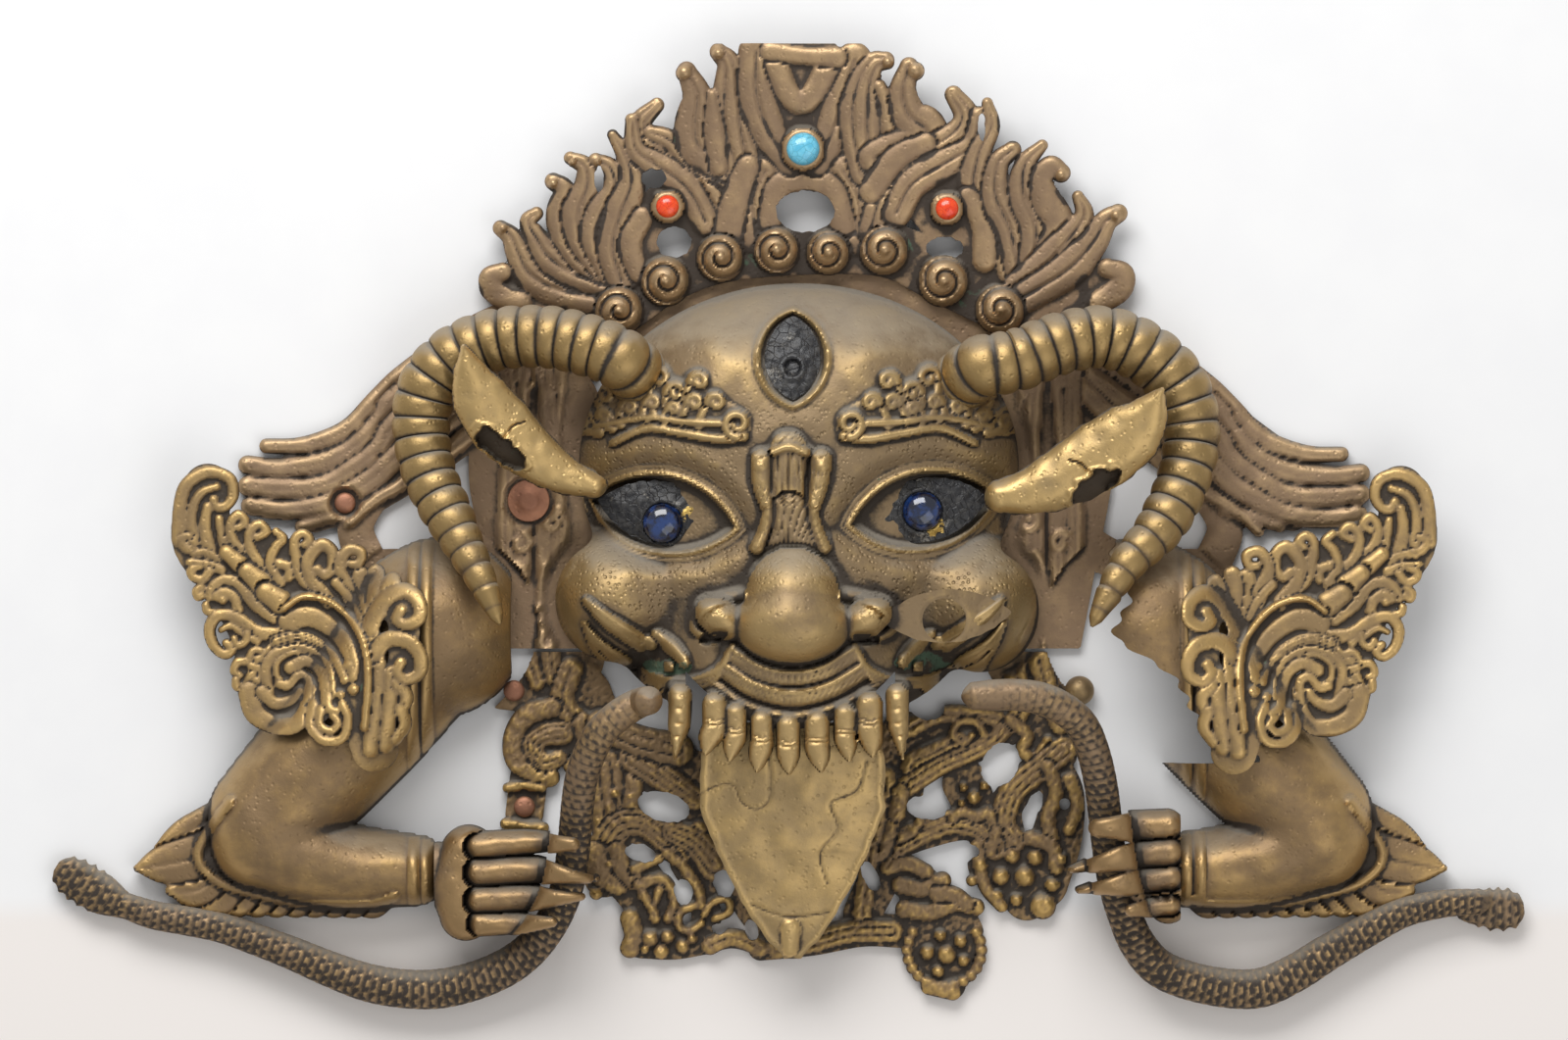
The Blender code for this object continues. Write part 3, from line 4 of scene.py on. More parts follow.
import bpy
import numpy as np
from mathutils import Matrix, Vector


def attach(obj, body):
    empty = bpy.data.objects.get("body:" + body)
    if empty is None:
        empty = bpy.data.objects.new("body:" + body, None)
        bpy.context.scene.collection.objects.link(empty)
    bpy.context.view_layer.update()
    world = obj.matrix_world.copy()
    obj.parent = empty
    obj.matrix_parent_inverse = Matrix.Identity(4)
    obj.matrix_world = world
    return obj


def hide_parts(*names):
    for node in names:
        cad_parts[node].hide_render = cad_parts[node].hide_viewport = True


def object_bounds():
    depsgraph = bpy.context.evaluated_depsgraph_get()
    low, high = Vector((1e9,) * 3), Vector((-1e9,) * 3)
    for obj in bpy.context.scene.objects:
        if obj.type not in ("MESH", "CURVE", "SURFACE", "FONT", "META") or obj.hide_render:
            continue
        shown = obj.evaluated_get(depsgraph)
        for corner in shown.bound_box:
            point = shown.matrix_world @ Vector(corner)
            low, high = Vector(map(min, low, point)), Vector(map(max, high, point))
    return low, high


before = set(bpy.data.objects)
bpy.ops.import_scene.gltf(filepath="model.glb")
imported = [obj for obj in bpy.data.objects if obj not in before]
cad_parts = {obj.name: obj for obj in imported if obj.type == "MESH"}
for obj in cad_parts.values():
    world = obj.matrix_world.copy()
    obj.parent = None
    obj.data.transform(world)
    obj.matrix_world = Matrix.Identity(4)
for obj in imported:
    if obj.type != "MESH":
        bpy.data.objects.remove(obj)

# Face: the domed main piece, hammered out of one brass sheet and chased from the front.
# Brows, nose, lips and teeth are raised in it; hands have polished the high places to yellow
# and grime with painted shade darkens every carved line. Nails through its edge hold it on the plates.

LOW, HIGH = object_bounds()
DRAWN_WIDTH = 700.2
MM = (HIGH[0] - LOW[0]) / DRAWN_WIDTH
WALL = 2.4
PLATE = 3.0
CAST = 3.2
SEAT = 3.3
RIM = 5.0
LEFT_EYE = (-60.0, 8.0)
RIGHT_EYE = (62.5, 9.5)
EYE_HALF_LENGTH = 34.0
EYE_HALF_HEIGHT = 17.0
EYE_TURN = 11.0
THIRD_EYE = (1.0, 81.0)
FACE_CELL = 1.0


def smooth_max(a, b, blend):
    """The larger of two fields, rounded over where they meet."""
    share = np.clip(0.5 + 0.5 * (a - b) / blend, 0.0, 1.0)
    return b + (a - b) * share + blend * share * (1.0 - share)


def ease(value):
    """A soft step from nought to one."""
    value = np.clip(value, 0.0, 1.0)
    return value * value * (3.0 - 2.0 * value)


def smooth_path(points, pieces=6):
    """A curve through a few chosen points."""
    points = [np.array(point, dtype=float) for point in points]
    if len(points) < 2:
        return np.array(points)
    ends = [2 * points[0] - points[1]] + points + [2 * points[-1] - points[-2]]
    curve = []
    for a, b, c, d in zip(ends, ends[1:], ends[2:], ends[3:]):
        for piece in range(pieces):
            t = piece / pieces
            curve.append(0.5 * (2 * b + (c - a) * t + (2 * a - 5 * b + 4 * c - d) * t ** 2
                                + (3 * b - a - 3 * c + d) * t ** 3))
    curve.append(points[-1])
    return np.array(curve)


def curl_path(centre, radius, start, turns, tight=0.2, count=20):
    """A spiral that winds in to its centre; turns is negative for the other hand."""
    share = np.linspace(0.0, 1.0, count)
    reach = radius * (1.0 - (1.0 - tight) * share)
    angle = math.radians(start) + 2.0 * math.pi * turns * share
    return np.stack([centre[0] + reach * np.cos(angle), centre[1] + reach * np.sin(angle)], 1)


def blurred(field, reach, cell):
    """A field softened over a reach in millimetres."""
    sigma = max(reach / cell, 0.3)
    half = int(math.ceil(2.5 * sigma))
    weights = np.exp(-0.5 * (np.arange(-half, half + 1) / sigma) ** 2)
    weights /= weights.sum()
    for axis in (0, 1):
        padded = np.pad(field, [(half, half) if k == axis else (0, 0) for k in (0, 1)], mode="edge")
        total = np.zeros(field.shape)
        for k, weight in enumerate(weights):
            cut = slice(k, k + field.shape[axis])
            total += weight * (padded[cut] if axis == 0 else padded[:, cut])
        field = total
    return field


def grain(x, y, size, seed):
    """Soft, repeatable unevenness between about minus one and one."""
    turns = np.random.default_rng(seed).uniform(0.0, 2.0 * math.pi, (7, 2))
    total = np.zeros(x.shape)
    for k, (turn, phase) in enumerate(turns):
        wave = 2.0 * math.pi / (size * (0.6 + 0.13 * k))
        total += np.sin(wave * (x * math.cos(turn) + y * math.sin(turn)) + phase
                        + 1.7 * np.sin(0.37 * wave * (y * math.cos(turn) - x * math.sin(turn))))
    return total / 3.4


class Sheet:
    """A metal sheet over a fine square grid: where metal is, and how far its carving rises."""

    def __init__(self, box, cell):
        west, south, east, north = box
        self.cell = cell
        self.x, self.y = np.meshgrid(np.arange(west, east + cell, cell),
                                     np.arange(south, north + cell, cell))
        self.metal = np.full(self.x.shape, -60.0)
        self.carving = np.zeros(self.x.shape)

    @classmethod
    def like(cls, other):
        """A bare sheet over the same grid."""
        fresh = cls.__new__(cls)
        fresh.cell, fresh.x, fresh.y = other.cell, other.x, other.y
        fresh.metal = np.full(other.x.shape, -60.0)
        fresh.carving = np.zeros(other.x.shape)
        return fresh

    def window(self, path, reach):
        """The part of the grid within reach of a path."""
        low, high = path[:, :2].min(axis=0) - reach, path[:, :2].max(axis=0) + reach
        columns = np.searchsorted(self.x[0], (low[0], high[0]))
        rows = np.searchsorted(self.y[:, 0], (low[1], high[1]))
        return slice(max(rows[0] - 1, 0), rows[1] + 1), slice(max(columns[0] - 1, 0), columns[1] + 1)

    def along(self, path, part):
        """Signed distance to a path, the length run along it, and its whole length."""
        x, y = self.x[part], self.y[part]
        lengths = np.hypot(*np.diff(path[:, :2], axis=0).T)
        starts = np.concatenate([[0.0], np.cumsum(lengths)])
        best = np.full(x.shape, 1e9)
        run = np.zeros(x.shape)
        sign = np.ones(x.shape)
        for (ax, ay), (bx, by), length, start in zip(path[:-1, :2], path[1:, :2], lengths, starts):
            if length < 1e-9:
                continue
            t = np.clip(((x - ax) * (bx - ax) + (y - ay) * (by - ay)) / length ** 2, 0.0, 1.0)
            distance = np.hypot(x - ax - t * (bx - ax), y - ay - t * (by - ay))
            nearer = distance < best
            best = np.where(nearer, distance, best)
            run = np.where(nearer, start + t * length, run)
            side = np.sign((bx - ax) * (y - ay) - (by - ay) * (x - ax))
            sign = np.where(nearer, side, sign)
        return best * np.where(sign == 0, 1.0, sign), run, starts[-1]

    def stroke(self, points, start, end, lift, middle=None, metal=True, foot=0.0, flutes=0,
               groove=0.0, ticks=0.0, tick_depth=0.0, edge=0.5, over=False, leafy=False):
        """A rounded ridge along a path, with lengthwise flutes or crosswise ticks."""
        path = smooth_path(points) if len(points) < 12 else np.asarray(points, dtype=float)
        widest = max(start, end, middle or 0.0)
        part = self.window(path, widest + 2.0)
        signed, run, length = self.along(path, part)
        share = run / max(length, 1e-6)
        if middle is None:
            radius = start + (end - start) * share
        else:
            radius = np.interp(share, (0.0, 0.5, 1.0), (start, middle, end))
            if leafy:
                radius = np.where(share > 0.5,
                                  middle + (end - middle) * np.clip(2.0 * share - 1.0, 0.0, 1.0) ** 2.2,
                                  radius)
        across = signed / radius
        inside = np.abs(across) < 1.0
        if metal:
            keep = np.maximum(self.metal[part], radius - np.abs(signed))
            self.metal[part] = np.where(radius - np.abs(signed) > -2.0, keep, self.metal[part])
        crest = foot + lift * np.clip(1.0 - across ** 2, 0.0, 1.0) ** edge
        if flutes:
            wave = np.abs(((across + 1.0) * 0.5 * (flutes + 1)) % 1.0)
            near = np.minimum(wave, 1.0 - wave)
            inner = (np.abs(across) < 1.0 - 0.5 / (flutes + 1))
            fading = ease((radius - 1.6) / 2.0)
            crest = crest - groove * fading * np.exp(-(near / 0.13) ** 2) * inner
        if ticks:
            wave = np.abs(((run / ticks) % 1.0) - 0.5) * 2.0
            crest = crest - tick_depth * ease((wave - 0.55) / 0.45) * (1.0 - across ** 2)
        raised = crest if over else np.maximum(self.carving[part], crest)
        self.carving[part] = np.where(inside, raised, self.carving[part])

    def curl(self, centre, radius, start, turns, width, lift, metal=True, foot=0.0, bead=1.0):
        """A spiral scroll with a bead in its middle."""
        self.stroke(curl_path(centre, radius, start, turns), width, width * 0.7, lift, metal=metal, foot=foot)
        if bead:
            self.boss(centre, width * bead, lift * 1.15, metal, foot)

    def boss(self, centre, radius, lift, metal=True, foot=0.0):
        """A round bead."""
        part = self.window(np.array([centre], dtype=float), radius + 2.0)
        distance = np.hypot(self.x[part] - centre[0], self.y[part] - centre[1])
        if metal:
            self.metal[part] = np.maximum(self.metal[part], radius - distance)
        crest = foot + lift * np.sqrt(np.clip(1.0 - (distance / radius) ** 2, 0.0, 1.0))
        self.carving[part] = np.where(distance < radius, np.maximum(self.carving[part], crest),
                                      self.carving[part])

    def flat(self, centre, radius):
        """Bare sheet round a rivet."""
        distance = np.hypot(self.x - centre[0], self.y - centre[1])
        self.metal = np.maximum(self.metal, radius + 3.0 - distance)
        self.carving = self.carving * ease((distance - radius - 0.5) / 3.0)

    def hole(self, centre, radii, turn=0.0):
        """An opening right through, a little ragged."""
        depth = ellipse(self.x, self.y, centre, radii, turn)
        self.metal = np.minimum(self.metal, -depth + 0.35 * grain(self.x, self.y, 5.0, 11))


def ellipse(x, y, centre, radii, turn=0.0):
    """Depth inside an ellipse: positive inside, about a true distance near its edge."""
    c, s = math.cos(math.radians(turn)), math.sin(math.radians(turn))
    u = ((x - centre[0]) * c + (y - centre[1]) * s) / radii[0]
    v = ((y - centre[1]) * c - (x - centre[0]) * s) / radii[1]
    ring = np.hypot(u, v)
    slope = np.hypot(u / radii[0], v / radii[1])
    return (1.0 - ring) * np.maximum(ring, 1e-3) / np.maximum(slope, 1e-4)


def dome(x, y, centre, radii, height, turn=0.0):
    """A half ellipsoid over the sheet's plane."""
    c, s = math.cos(math.radians(turn)), math.sin(math.radians(turn))
    u = ((x - centre[0]) * c + (y - centre[1]) * s) / radii[0]
    v = ((y - centre[1]) * c - (x - centre[0]) * s) / radii[1]
    return height * np.sqrt(np.clip(1.0 - u * u - v * v, 0.0, 1.0))


def almond(x, y, centre, length, height, turn=0.0):
    """Depth inside an almond, the overlap of two circles."""
    c, s = math.cos(math.radians(turn)), math.sin(math.radians(turn))
    u = (x - centre[0]) * c + (y - centre[1]) * s
    v = (y - centre[1]) * c - (x - centre[0]) * s
    radius = (length ** 2 + height ** 2) / (2.0 * height)
    return radius - np.hypot(u, np.abs(v) + radius - height)


def age_channels(top, cell):
    """Where hands have polished a surface, where grimy deposits and painted shade darken its hollows, and
    where dust has settled.
    """
    fine = top - blurred(top, 1.6, cell)
    broad = top - blurred(top, 6.0, cell)
    ridge = np.clip(0.62 * fine + 0.13 * broad, 0.0, 1.0)
    # cavity: how far a place lies in a hollow; it darkens the colour as grime and painted shade.
    cavity = np.clip(-0.75 * fine - 0.15 * broad, 0.0, 1.0)
    north = -np.gradient(blurred(top, 1.2, cell), cell, axis=0)
    east = np.gradient(blurred(top, 1.2, cell), cell, axis=1)
    facing = north / np.sqrt(1.0 + north ** 2 + east ** 2)
    dust = np.clip(1.5 * facing - 0.25, 0.0, 1.0)
    return ridge, cavity, dust


def sheet_mesh(sheet, top, low, extra):
    """Closed mesh between a top and a low surface, cut where the metal ends."""
    rows, columns = sheet.x.shape
    index = np.arange(rows * columns).reshape(rows, columns)
    a, b = index[:-1, :-1].ravel(), index[:-1, 1:].ravel()
    c, d = index[1:, 1:].ravel(), index[1:, :-1].ravel()
    triangles = np.concatenate([np.stack([a, b, c], 1), np.stack([a, c, d], 1)])
    depth = sheet.metal.ravel()
    low = np.minimum(low, top - 0.5)
    places = np.stack([sheet.x.ravel(), sheet.y.ravel(), top.ravel(), low.ravel()]
                      + [channel.ravel() for channel in extra], 1)
    inside = (depth[triangles] > 0.0).sum(axis=1)
    added = []
    faces = []
    crossings = {}

    def crossing(i, j):
        key = (min(i, j), max(i, j))
        if key not in crossings:
            share = depth[key[0]] / (depth[key[0]] - depth[key[1]])
            share = min(max(share, 0.05), 0.95)
            crossings[key] = len(places) + len(added)
            added.append(places[key[0]] * (1.0 - share) + places[key[1]] * share)
        return crossings[key]

    for face in triangles[(inside == 1) | (inside == 2)]:
        flags = [depth[corner] > 0.0 for corner in face]
        alone = sum(flags) == 1
        k = flags.index(alone)
        p, q, r = face[k], face[(k + 1) % 3], face[(k + 2) % 3]
        near, far = crossing(p, q), crossing(r, p)
        if alone:
            faces.append((p, near, far))
        else:
            faces.append((near, q, r))
            faces.append((near, r, far))
    if added:
        places = np.concatenate([places, np.array(added)])
    faces = np.concatenate([triangles[inside == 3], np.array(faces, dtype=int).reshape(-1, 3)])
    used, faces = np.unique(faces, return_inverse=True)
    faces = faces.reshape(-1, 3)
    places = places[used]
    count = len(used)
    ends = np.concatenate([faces[:, (0, 1)], faces[:, (1, 2)], faces[:, (2, 0)]])
    code = ends[:, 0] * count + ends[:, 1]
    rim = ends[~np.isin(code, ends[:, 1] * count + ends[:, 0])]
    walls = np.concatenate([np.stack([rim[:, 0], rim[:, 0] + count, rim[:, 1] + count], 1),
                            np.stack([rim[:, 0], rim[:, 1] + count, rim[:, 1]], 1)])
    vertices = np.concatenate([places[:, (0, 1, 2)], places[:, (0, 1, 3)]])
    # The back gets a cavity of 0.55, so the underside and the lower part of each edge wall carry painted
    # shade.
    channels = np.concatenate([places[:, 4:], np.stack([np.zeros(count), np.full(count, 0.55),
                                                        np.zeros(count)]
                                                       + [np.zeros(count)] * (len(extra) - 3), 1)])
    return vertices, np.concatenate([faces, faces[:, ::-1] + count, walls]), channels


def kept_body(vertices, faces, channels):
    """Only the largest connected body of a mesh."""
    label = np.arange(len(vertices))
    while True:
        lowest = label[faces].min(axis=1)
        fresh = label.copy()
        for corner in range(3):
            np.minimum.at(fresh, faces[:, corner], lowest)
        fresh = fresh[fresh]
        if np.array_equal(fresh, label):
            break
        label = fresh
    names, counts = np.unique(label, return_counts=True)
    keep = label == names[counts.argmax()]
    number = np.cumsum(keep) - 1
    faces = number[faces[keep[faces[:, 0]]]]
    return vertices[keep], faces, channels[keep]


CHANNELS = ("ridge", "cavity", "dust", "stipple")


def mesh_object(name, vertices, faces, finish, channels=None, angle=50.0):
    """A named piece from places in millimetres, with its age as named attributes."""
    mesh = bpy.data.meshes.new(name)
    mesh.vertices.add(len(vertices))
    mesh.vertices.foreach_set("co", (np.asarray(vertices, dtype=np.float32) * MM).ravel())
    mesh.loops.add(3 * len(faces))
    mesh.loops.foreach_set("vertex_index", np.asarray(faces, dtype=np.int32).ravel())
    mesh.polygons.add(len(faces))
    mesh.polygons.foreach_set("loop_start", np.arange(0, 3 * len(faces), 3, dtype=np.int32))
    mesh.update(calc_edges=True)
    if channels is not None:
        for k, label in enumerate(CHANNELS[:channels.shape[1]]):
            layer = mesh.attributes.new(label, "FLOAT", "POINT")
            layer.data.foreach_set("value", channels[:, k].astype(np.float32))
    mesh.materials.append(finish)
    mesh.shade_smooth()
    mesh.set_sharp_from_angle(angle=math.radians(angle))
    piece = bpy.data.objects.new(name, mesh)
    bpy.context.scene.collection.objects.link(piece)
    return piece


def raise_sheet(name, sheet, top, low, finish, stipple=None, dusty=1.0, soot_and_shade=0.0):
    """One carved sheet piece, aged, that stands for the CAD node of its name."""
    ridge, cavity, dust = age_channels(top, sheet.cell)
    # Extra darkening of the hollows: black residue on the crown, and painted shade in the torn hollows of the
    # ears.
    cavity = np.clip(cavity + soot_and_shade, 0.0, 1.6)
    channels = [ridge, cavity, dust * dusty, np.zeros(top.shape) if stipple is None else stipple]
    piece = mesh_object(f"{name}_metal",
                        *reordered(kept_body(*sheet_mesh(sheet, top, low, channels)), finish))
    stands_for(piece, name)
    return piece


def reordered(parts, finish):
    """Arguments of mesh_object from a mesh and its finish."""
    vertices, faces, channels = parts
    return vertices, faces, finish, channels


def stands_for(piece, node):
    """A piece that takes the place of one CAD node, which it hides, and hangs from the root body."""
    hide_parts(node)
    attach(piece, "root")


class Signal:
    """A shader value that can be added, multiplied and mixed."""

    def __init__(self, tree, socket):
        self.tree = tree
        self.socket = socket

    def math(self, operation, other=None, clamp=False):
        node = self.tree.nodes.new("ShaderNodeMath")
        node.operation = operation
        node.use_clamp = clamp
        for place, value in ((0, self), (1, other)):
            if isinstance(value, Signal):
                self.tree.links.new(value.socket, node.inputs[place])
            elif value is not None:
                node.inputs[place].default_value = value
        return Signal(self.tree, node.outputs[0])

    def __add__(self, other):
        return self.math("ADD", other)

    def __sub__(self, other):
        return self.math("SUBTRACT", other)

    def __mul__(self, other):
        return self.math("MULTIPLY", other)

    def limited(self):
        return self.math("ADD", 0.0, True)

    def step(self, low, high):
        """Nought below low, one above high."""
        node = self.tree.nodes.new("ShaderNodeMapRange")
        node.interpolation_type = "SMOOTHSTEP"
        self.tree.links.new(self.socket, node.inputs["Value"])
        node.inputs["From Min"].default_value = low
        node.inputs["From Max"].default_value = high
        return Signal(self.tree, node.outputs["Result"])


class Finish:
    """A node material under construction."""

    def __init__(self, name):
        self.material = bpy.data.materials.new(name)
        self.material.use_nodes = True
        self.tree = self.material.node_tree
        self.shader = self.tree.nodes["Principled BSDF"]
        self.coordinates = self.tree.nodes.new("ShaderNodeTexCoord").outputs["Object"]

    def attribute(self, label):
        node = self.tree.nodes.new("ShaderNodeAttribute")
        node.attribute_name = label
        return Signal(self.tree, node.outputs["Fac"])

    def noise(self, size, detail=3.0, roughness=0.55):
        """Noise whose blotches are about size metres wide."""
        node = self.tree.nodes.new("ShaderNodeTexNoise")
        self.tree.links.new(self.coordinates, node.inputs["Vector"])
        node.inputs["Scale"].default_value = 1.0 / size
        node.inputs["Detail"].default_value = detail
        node.inputs["Roughness"].default_value = roughness
        return Signal(self.tree, node.outputs["Fac"])

    def cells(self, size, feature="F1", randomness=1.0):
        """Distance to the nearest of scattered points about size metres apart."""
        node = self.tree.nodes.new("ShaderNodeTexVoronoi")
        node.feature = feature
        self.tree.links.new(self.coordinates, node.inputs["Vector"])
        node.inputs["Scale"].default_value = 1.0 / size
        node.inputs["Randomness"].default_value = randomness
        return Signal(self.tree, node.outputs["Distance"])

    def mix(self, share, first, second):
        """Colour between two colours."""
        node = self.tree.nodes.new("ShaderNodeMix")
        node.data_type = "RGBA"
        self.tree.links.new(share.socket, node.inputs["Factor"])
        for place, value in (("A", first), ("B", second)):
            socket = [one for one in node.inputs if one.name == place and one.type == "RGBA"][0]
            if isinstance(value, Signal):
                self.tree.links.new(value.socket, socket)
            else:
                socket.default_value = (*value, 1.0)
        return Signal(self.tree, [one for one in node.outputs if one.type == "RGBA"][0])

    def feed(self, label, signal):
        """A signal or a plain value into the surface."""
        if isinstance(signal, Signal):
            self.tree.links.new(signal.socket, self.shader.inputs[label])
        else:
            self.shader.inputs[label].default_value = signal

    def bump(self, height, strength, distance):
        """Relief too fine for the mesh, added to the bump before it."""
        node = self.tree.nodes.new("ShaderNodeBump")
        node.inputs["Strength"].default_value = strength
        node.inputs["Distance"].default_value = distance
        self.tree.links.new(height.socket, node.inputs["Height"])
        before = self.shader.inputs["Normal"].links
        if before:
            self.tree.links.new(before[0].from_socket, node.inputs["Normal"])
        self.tree.links.new(node.outputs["Normal"], self.shader.inputs["Normal"])


def aged_metal(name, bright, body, deep, wear=0.5, grime_and_shade_strength=0.5, dusty=0.5, green=0.3, rough=0.34,
               pits=0.35, dust_colour=(0.30, 0.265, 0.215)):
    """Old brass or bronze: polished where hands reach, browned, dark in its hollows with grimy deposits and
    painted shade, and dusty.
    """
    finish = Finish(name)
    ridge, cavity = finish.attribute("ridge"), finish.attribute("cavity")
    settled, stipple = finish.attribute("dust"), finish.attribute("stipple")
    broad, mid, fine = finish.noise(0.045, 4.0), finish.noise(0.009, 5.0, 0.6), finish.noise(0.0022, 4.0, 0.6)
    worn = (ridge * (1.0 * wear + 0.55) + (broad - 0.5) * 1.3 + (mid - 0.5) * 1.0
            + (wear - 0.44)).step(0.0, 0.72)
    # Hollows darken towards the deep colour: grime together with painted shade in every recess.
    grime_and_shade = (cavity * (1.8 * grime_and_shade_strength + 0.5) + (broad - 0.5) * 0.5 + (mid - 0.5) * 0.8 + (fine - 0.5) * 0.6
            + (0.55 * grime_and_shade_strength - 0.40))
    grime_and_shade = grime_and_shade.step(0.0, 0.62)
    colour = finish.mix(worn, body, bright)
    colour = finish.mix(grime_and_shade, colour, deep)
    corroded = (finish.noise(0.020, 5.0, 0.65) + cavity * 0.16 + (green - 1.0) * 0.22
                - stipple * 0.45).step(0.66, 0.74)
    colour = finish.mix(corroded * 0.75, colour, (0.075, 0.135, 0.085))
    powder = (settled * 1.15 + cavity * 0.25 + (mid - 0.5) * 0.9 + (broad - 0.5) * 0.6 + (dusty - 0.85))
    powder = powder.step(0.0, 0.9) * (0.35 + 0.55 * dusty)
    colour = finish.mix(powder, colour, dust_colour)
    finish.feed("Base Color", colour)
    finish.feed("Metallic", (worn * 0.16 + 0.66 - grime_and_shade * 0.45 - powder * 0.65 - corroded * 0.6).limited())
    finish.feed("Roughness", (mid * 0.22 + (rough + 0.04) - worn * 0.09 + grime_and_shade * 0.22
                              + powder * 0.34 + corroded * 0.25).limited())
    finish.bump(finish.noise(0.0011, 3.0, 0.7), 0.22, 0.0004)
    finish.bump(mid, 0.30, 0.0012)
    finish.bump(finish.cells(0.0034).step(0.05, 0.34), pits, 0.0005)
    dots = finish.cells(0.0026, randomness=0.7).step(0.10, 0.42)
    finish.bump((dots - 1.0) * stipple, 1.0, 0.0007)
    return finish.material


BRASS = aged_metal("worn_brass", (0.47, 0.325, 0.145), (0.255, 0.178, 0.098), (0.046, 0.034, 0.024),
                   wear=0.50, grime_and_shade_strength=0.52, dusty=0.6, green=0.35, rough=0.38)


def face_outline(x, y):
    """Depth inside the face's edge."""
    skull = ellipse(x, y, (4.0, 30.0), (104.0, 87.0))
    left = ellipse(x, y, (-83.0, -33.0), (28.0, 29.0))
    right = ellipse(x, y, (90.0, -38.0), (27.5, 29.0))
    muzzle = ellipse(x, y, (0.0, -46.0), (84.0, 47.0))
    depth = smooth_max(smooth_max(skull, left, 8.0), right, 8.0)
    depth = smooth_max(depth, muzzle, 6.0)
    lip = y + 93.0 - 0.0112 * x * x
    return np.where(np.abs(x) < 50.0, np.minimum(depth, lip), depth)


def eye_depth(x, y, centre, turn):
    """Depth inside one eye opening."""
    return almond(x, y, centre, EYE_HALF_LENGTH, EYE_HALF_HEIGHT, turn)


def face_form(x, y):
    """The face's domed form before its finer carving."""
    form = dome(x, y, (4.0, 34.0), (105.0, 83.0), 58.0)
    form = smooth_max(form, dome(x, y, (3.0, -6.0), (100.0, 88.0), 59.0), 8.0)
    form = smooth_max(form, dome(x, y, (-81.0, -31.0), (32.0, 34.0), 51.0), 18.0)
    form = smooth_max(form, dome(x, y, (87.0, -35.0), (31.0, 34.0), 51.0), 18.0)
    form = smooth_max(form, dome(x, y, (0.0, -64.0), (72.0, 62.0), 70.0), 16.0)
    for side in (-1.0, 1.0):
        form = form + 6.0 * np.exp(-((x - 2.0 - side * 36.0) ** 2 + (y - 84.0) ** 2) / 420.0)
    for centre, turn in ((LEFT_EYE, -EYE_TURN), (RIGHT_EYE, EYE_TURN)):
        depth = eye_depth(x, y, centre, turn)
        form = form - 7.0 * ease(1.0 + depth / 15.0) + 3.6 * ease(1.0 - np.abs(depth + 1.3) / 3.6)
    bulb = smooth_max(dome(x, y, (1.0, -44.0), (27.5, 19.5), 29.0),
                      dome(x, y, (1.0, -33.0), (22.5, 25.0), 25.0), 7.0)
    form = np.where(bulb > 2.0, smooth_max(form, 64.0 + bulb, 7.0), form)
    for side, centre in ((-1.0, -32.0), (1.0, 35.0)):
        wing = dome(x, y, (centre, -41.5), (13.5, 9.0), 15.0, side * 28.0)
        form = np.where(wing > 0.0, smooth_max(form, 62.0 + wing, 5.0), form)
    return np.maximum(form, RIM + SEAT)


def eroded(field, wall, cell):
    """The lowest value around each place, so that a sheet keeps its wall on steep flanks."""
    reach = int(round(wall / cell))
    lowest = field.copy()
    for row in range(-reach, reach + 1):
        for column in range(-reach, reach + 1):
            if (row or column) and math.hypot(row, column) <= reach + 0.4:
                moved = np.roll(np.roll(field, row, axis=0), column, axis=1)
                lowest = np.minimum(lowest, moved)
    return lowest


def carve_brow(sheet, at, side):
    """One brow: a waved line with hooked curls that rise from it, close together."""
    sheet.stroke([at(26, 50), at(45, 57), at(70, 60), at(104, 57)], 8.0, 8.0, 1.4, middle=14.0, metal=False,
                 edge=0.2)
    for x, y, size, foot in ((101, 65, 4.8, (92, 52)), (111, 53, 3.6, (98, 47)), (88, 64, 4.6, (84, 52)),
                             (99, 51, 3.8, (90, 46)), (76, 71, 5.2, (74, 54)), (76, 58, 3.6, (80, 50)),
                             (88, 54, 3.0, (84, 48)), (62, 72, 5.0, (64, 54)), (65, 60, 3.4, (68, 51)),
                             (54, 65, 4.6, (57, 51)), (43, 70, 4.2, (51, 54)), (45, 60, 3.8, (50, 50)),
                             (35, 60, 4.0, (43, 49)), (55, 57, 2.8, (58, 50))):
        sheet.stroke([at(*foot), at((x + foot[0]) / 2 + 3, (y + foot[1]) / 2 - 1), at(x + size, y)], 2.6, 2.1,
                     3.2, metal=False, edge=0.34, over=True)
        spiral = curl_path(at(x, y), size, 0.0 if side > 0 else 180.0, side * 1.05, 0.30)
        sheet.stroke(spiral, 2.3, 1.7, 3.4, metal=False, edge=0.34, over=True)
    sheet.stroke([at(30, 50), at(50, 51), at(68, 53), at(92, 49)], 2.2, 1.8, 3.6, metal=False, edge=0.34,
                 over=True)
    sheet.stroke([at(22, 44), at(34, 43), at(52, 46), at(68, 48), at(84, 41)], 2.6, 2.0, 3.8, metal=False,
                 edge=0.34, over=True)
    sheet.stroke(curl_path(at(25, 50), 6.4, 270.0, side * 1.2, 0.3), 2.4, 1.8, 4.0, metal=False, edge=0.34,
                 over=True)
    sheet.stroke([at(104, 61), at(116, 65), at(127, 69)], 4.0, 1.0, 3.0, middle=5.4, metal=False, flutes=1,
                 groove=1.0)


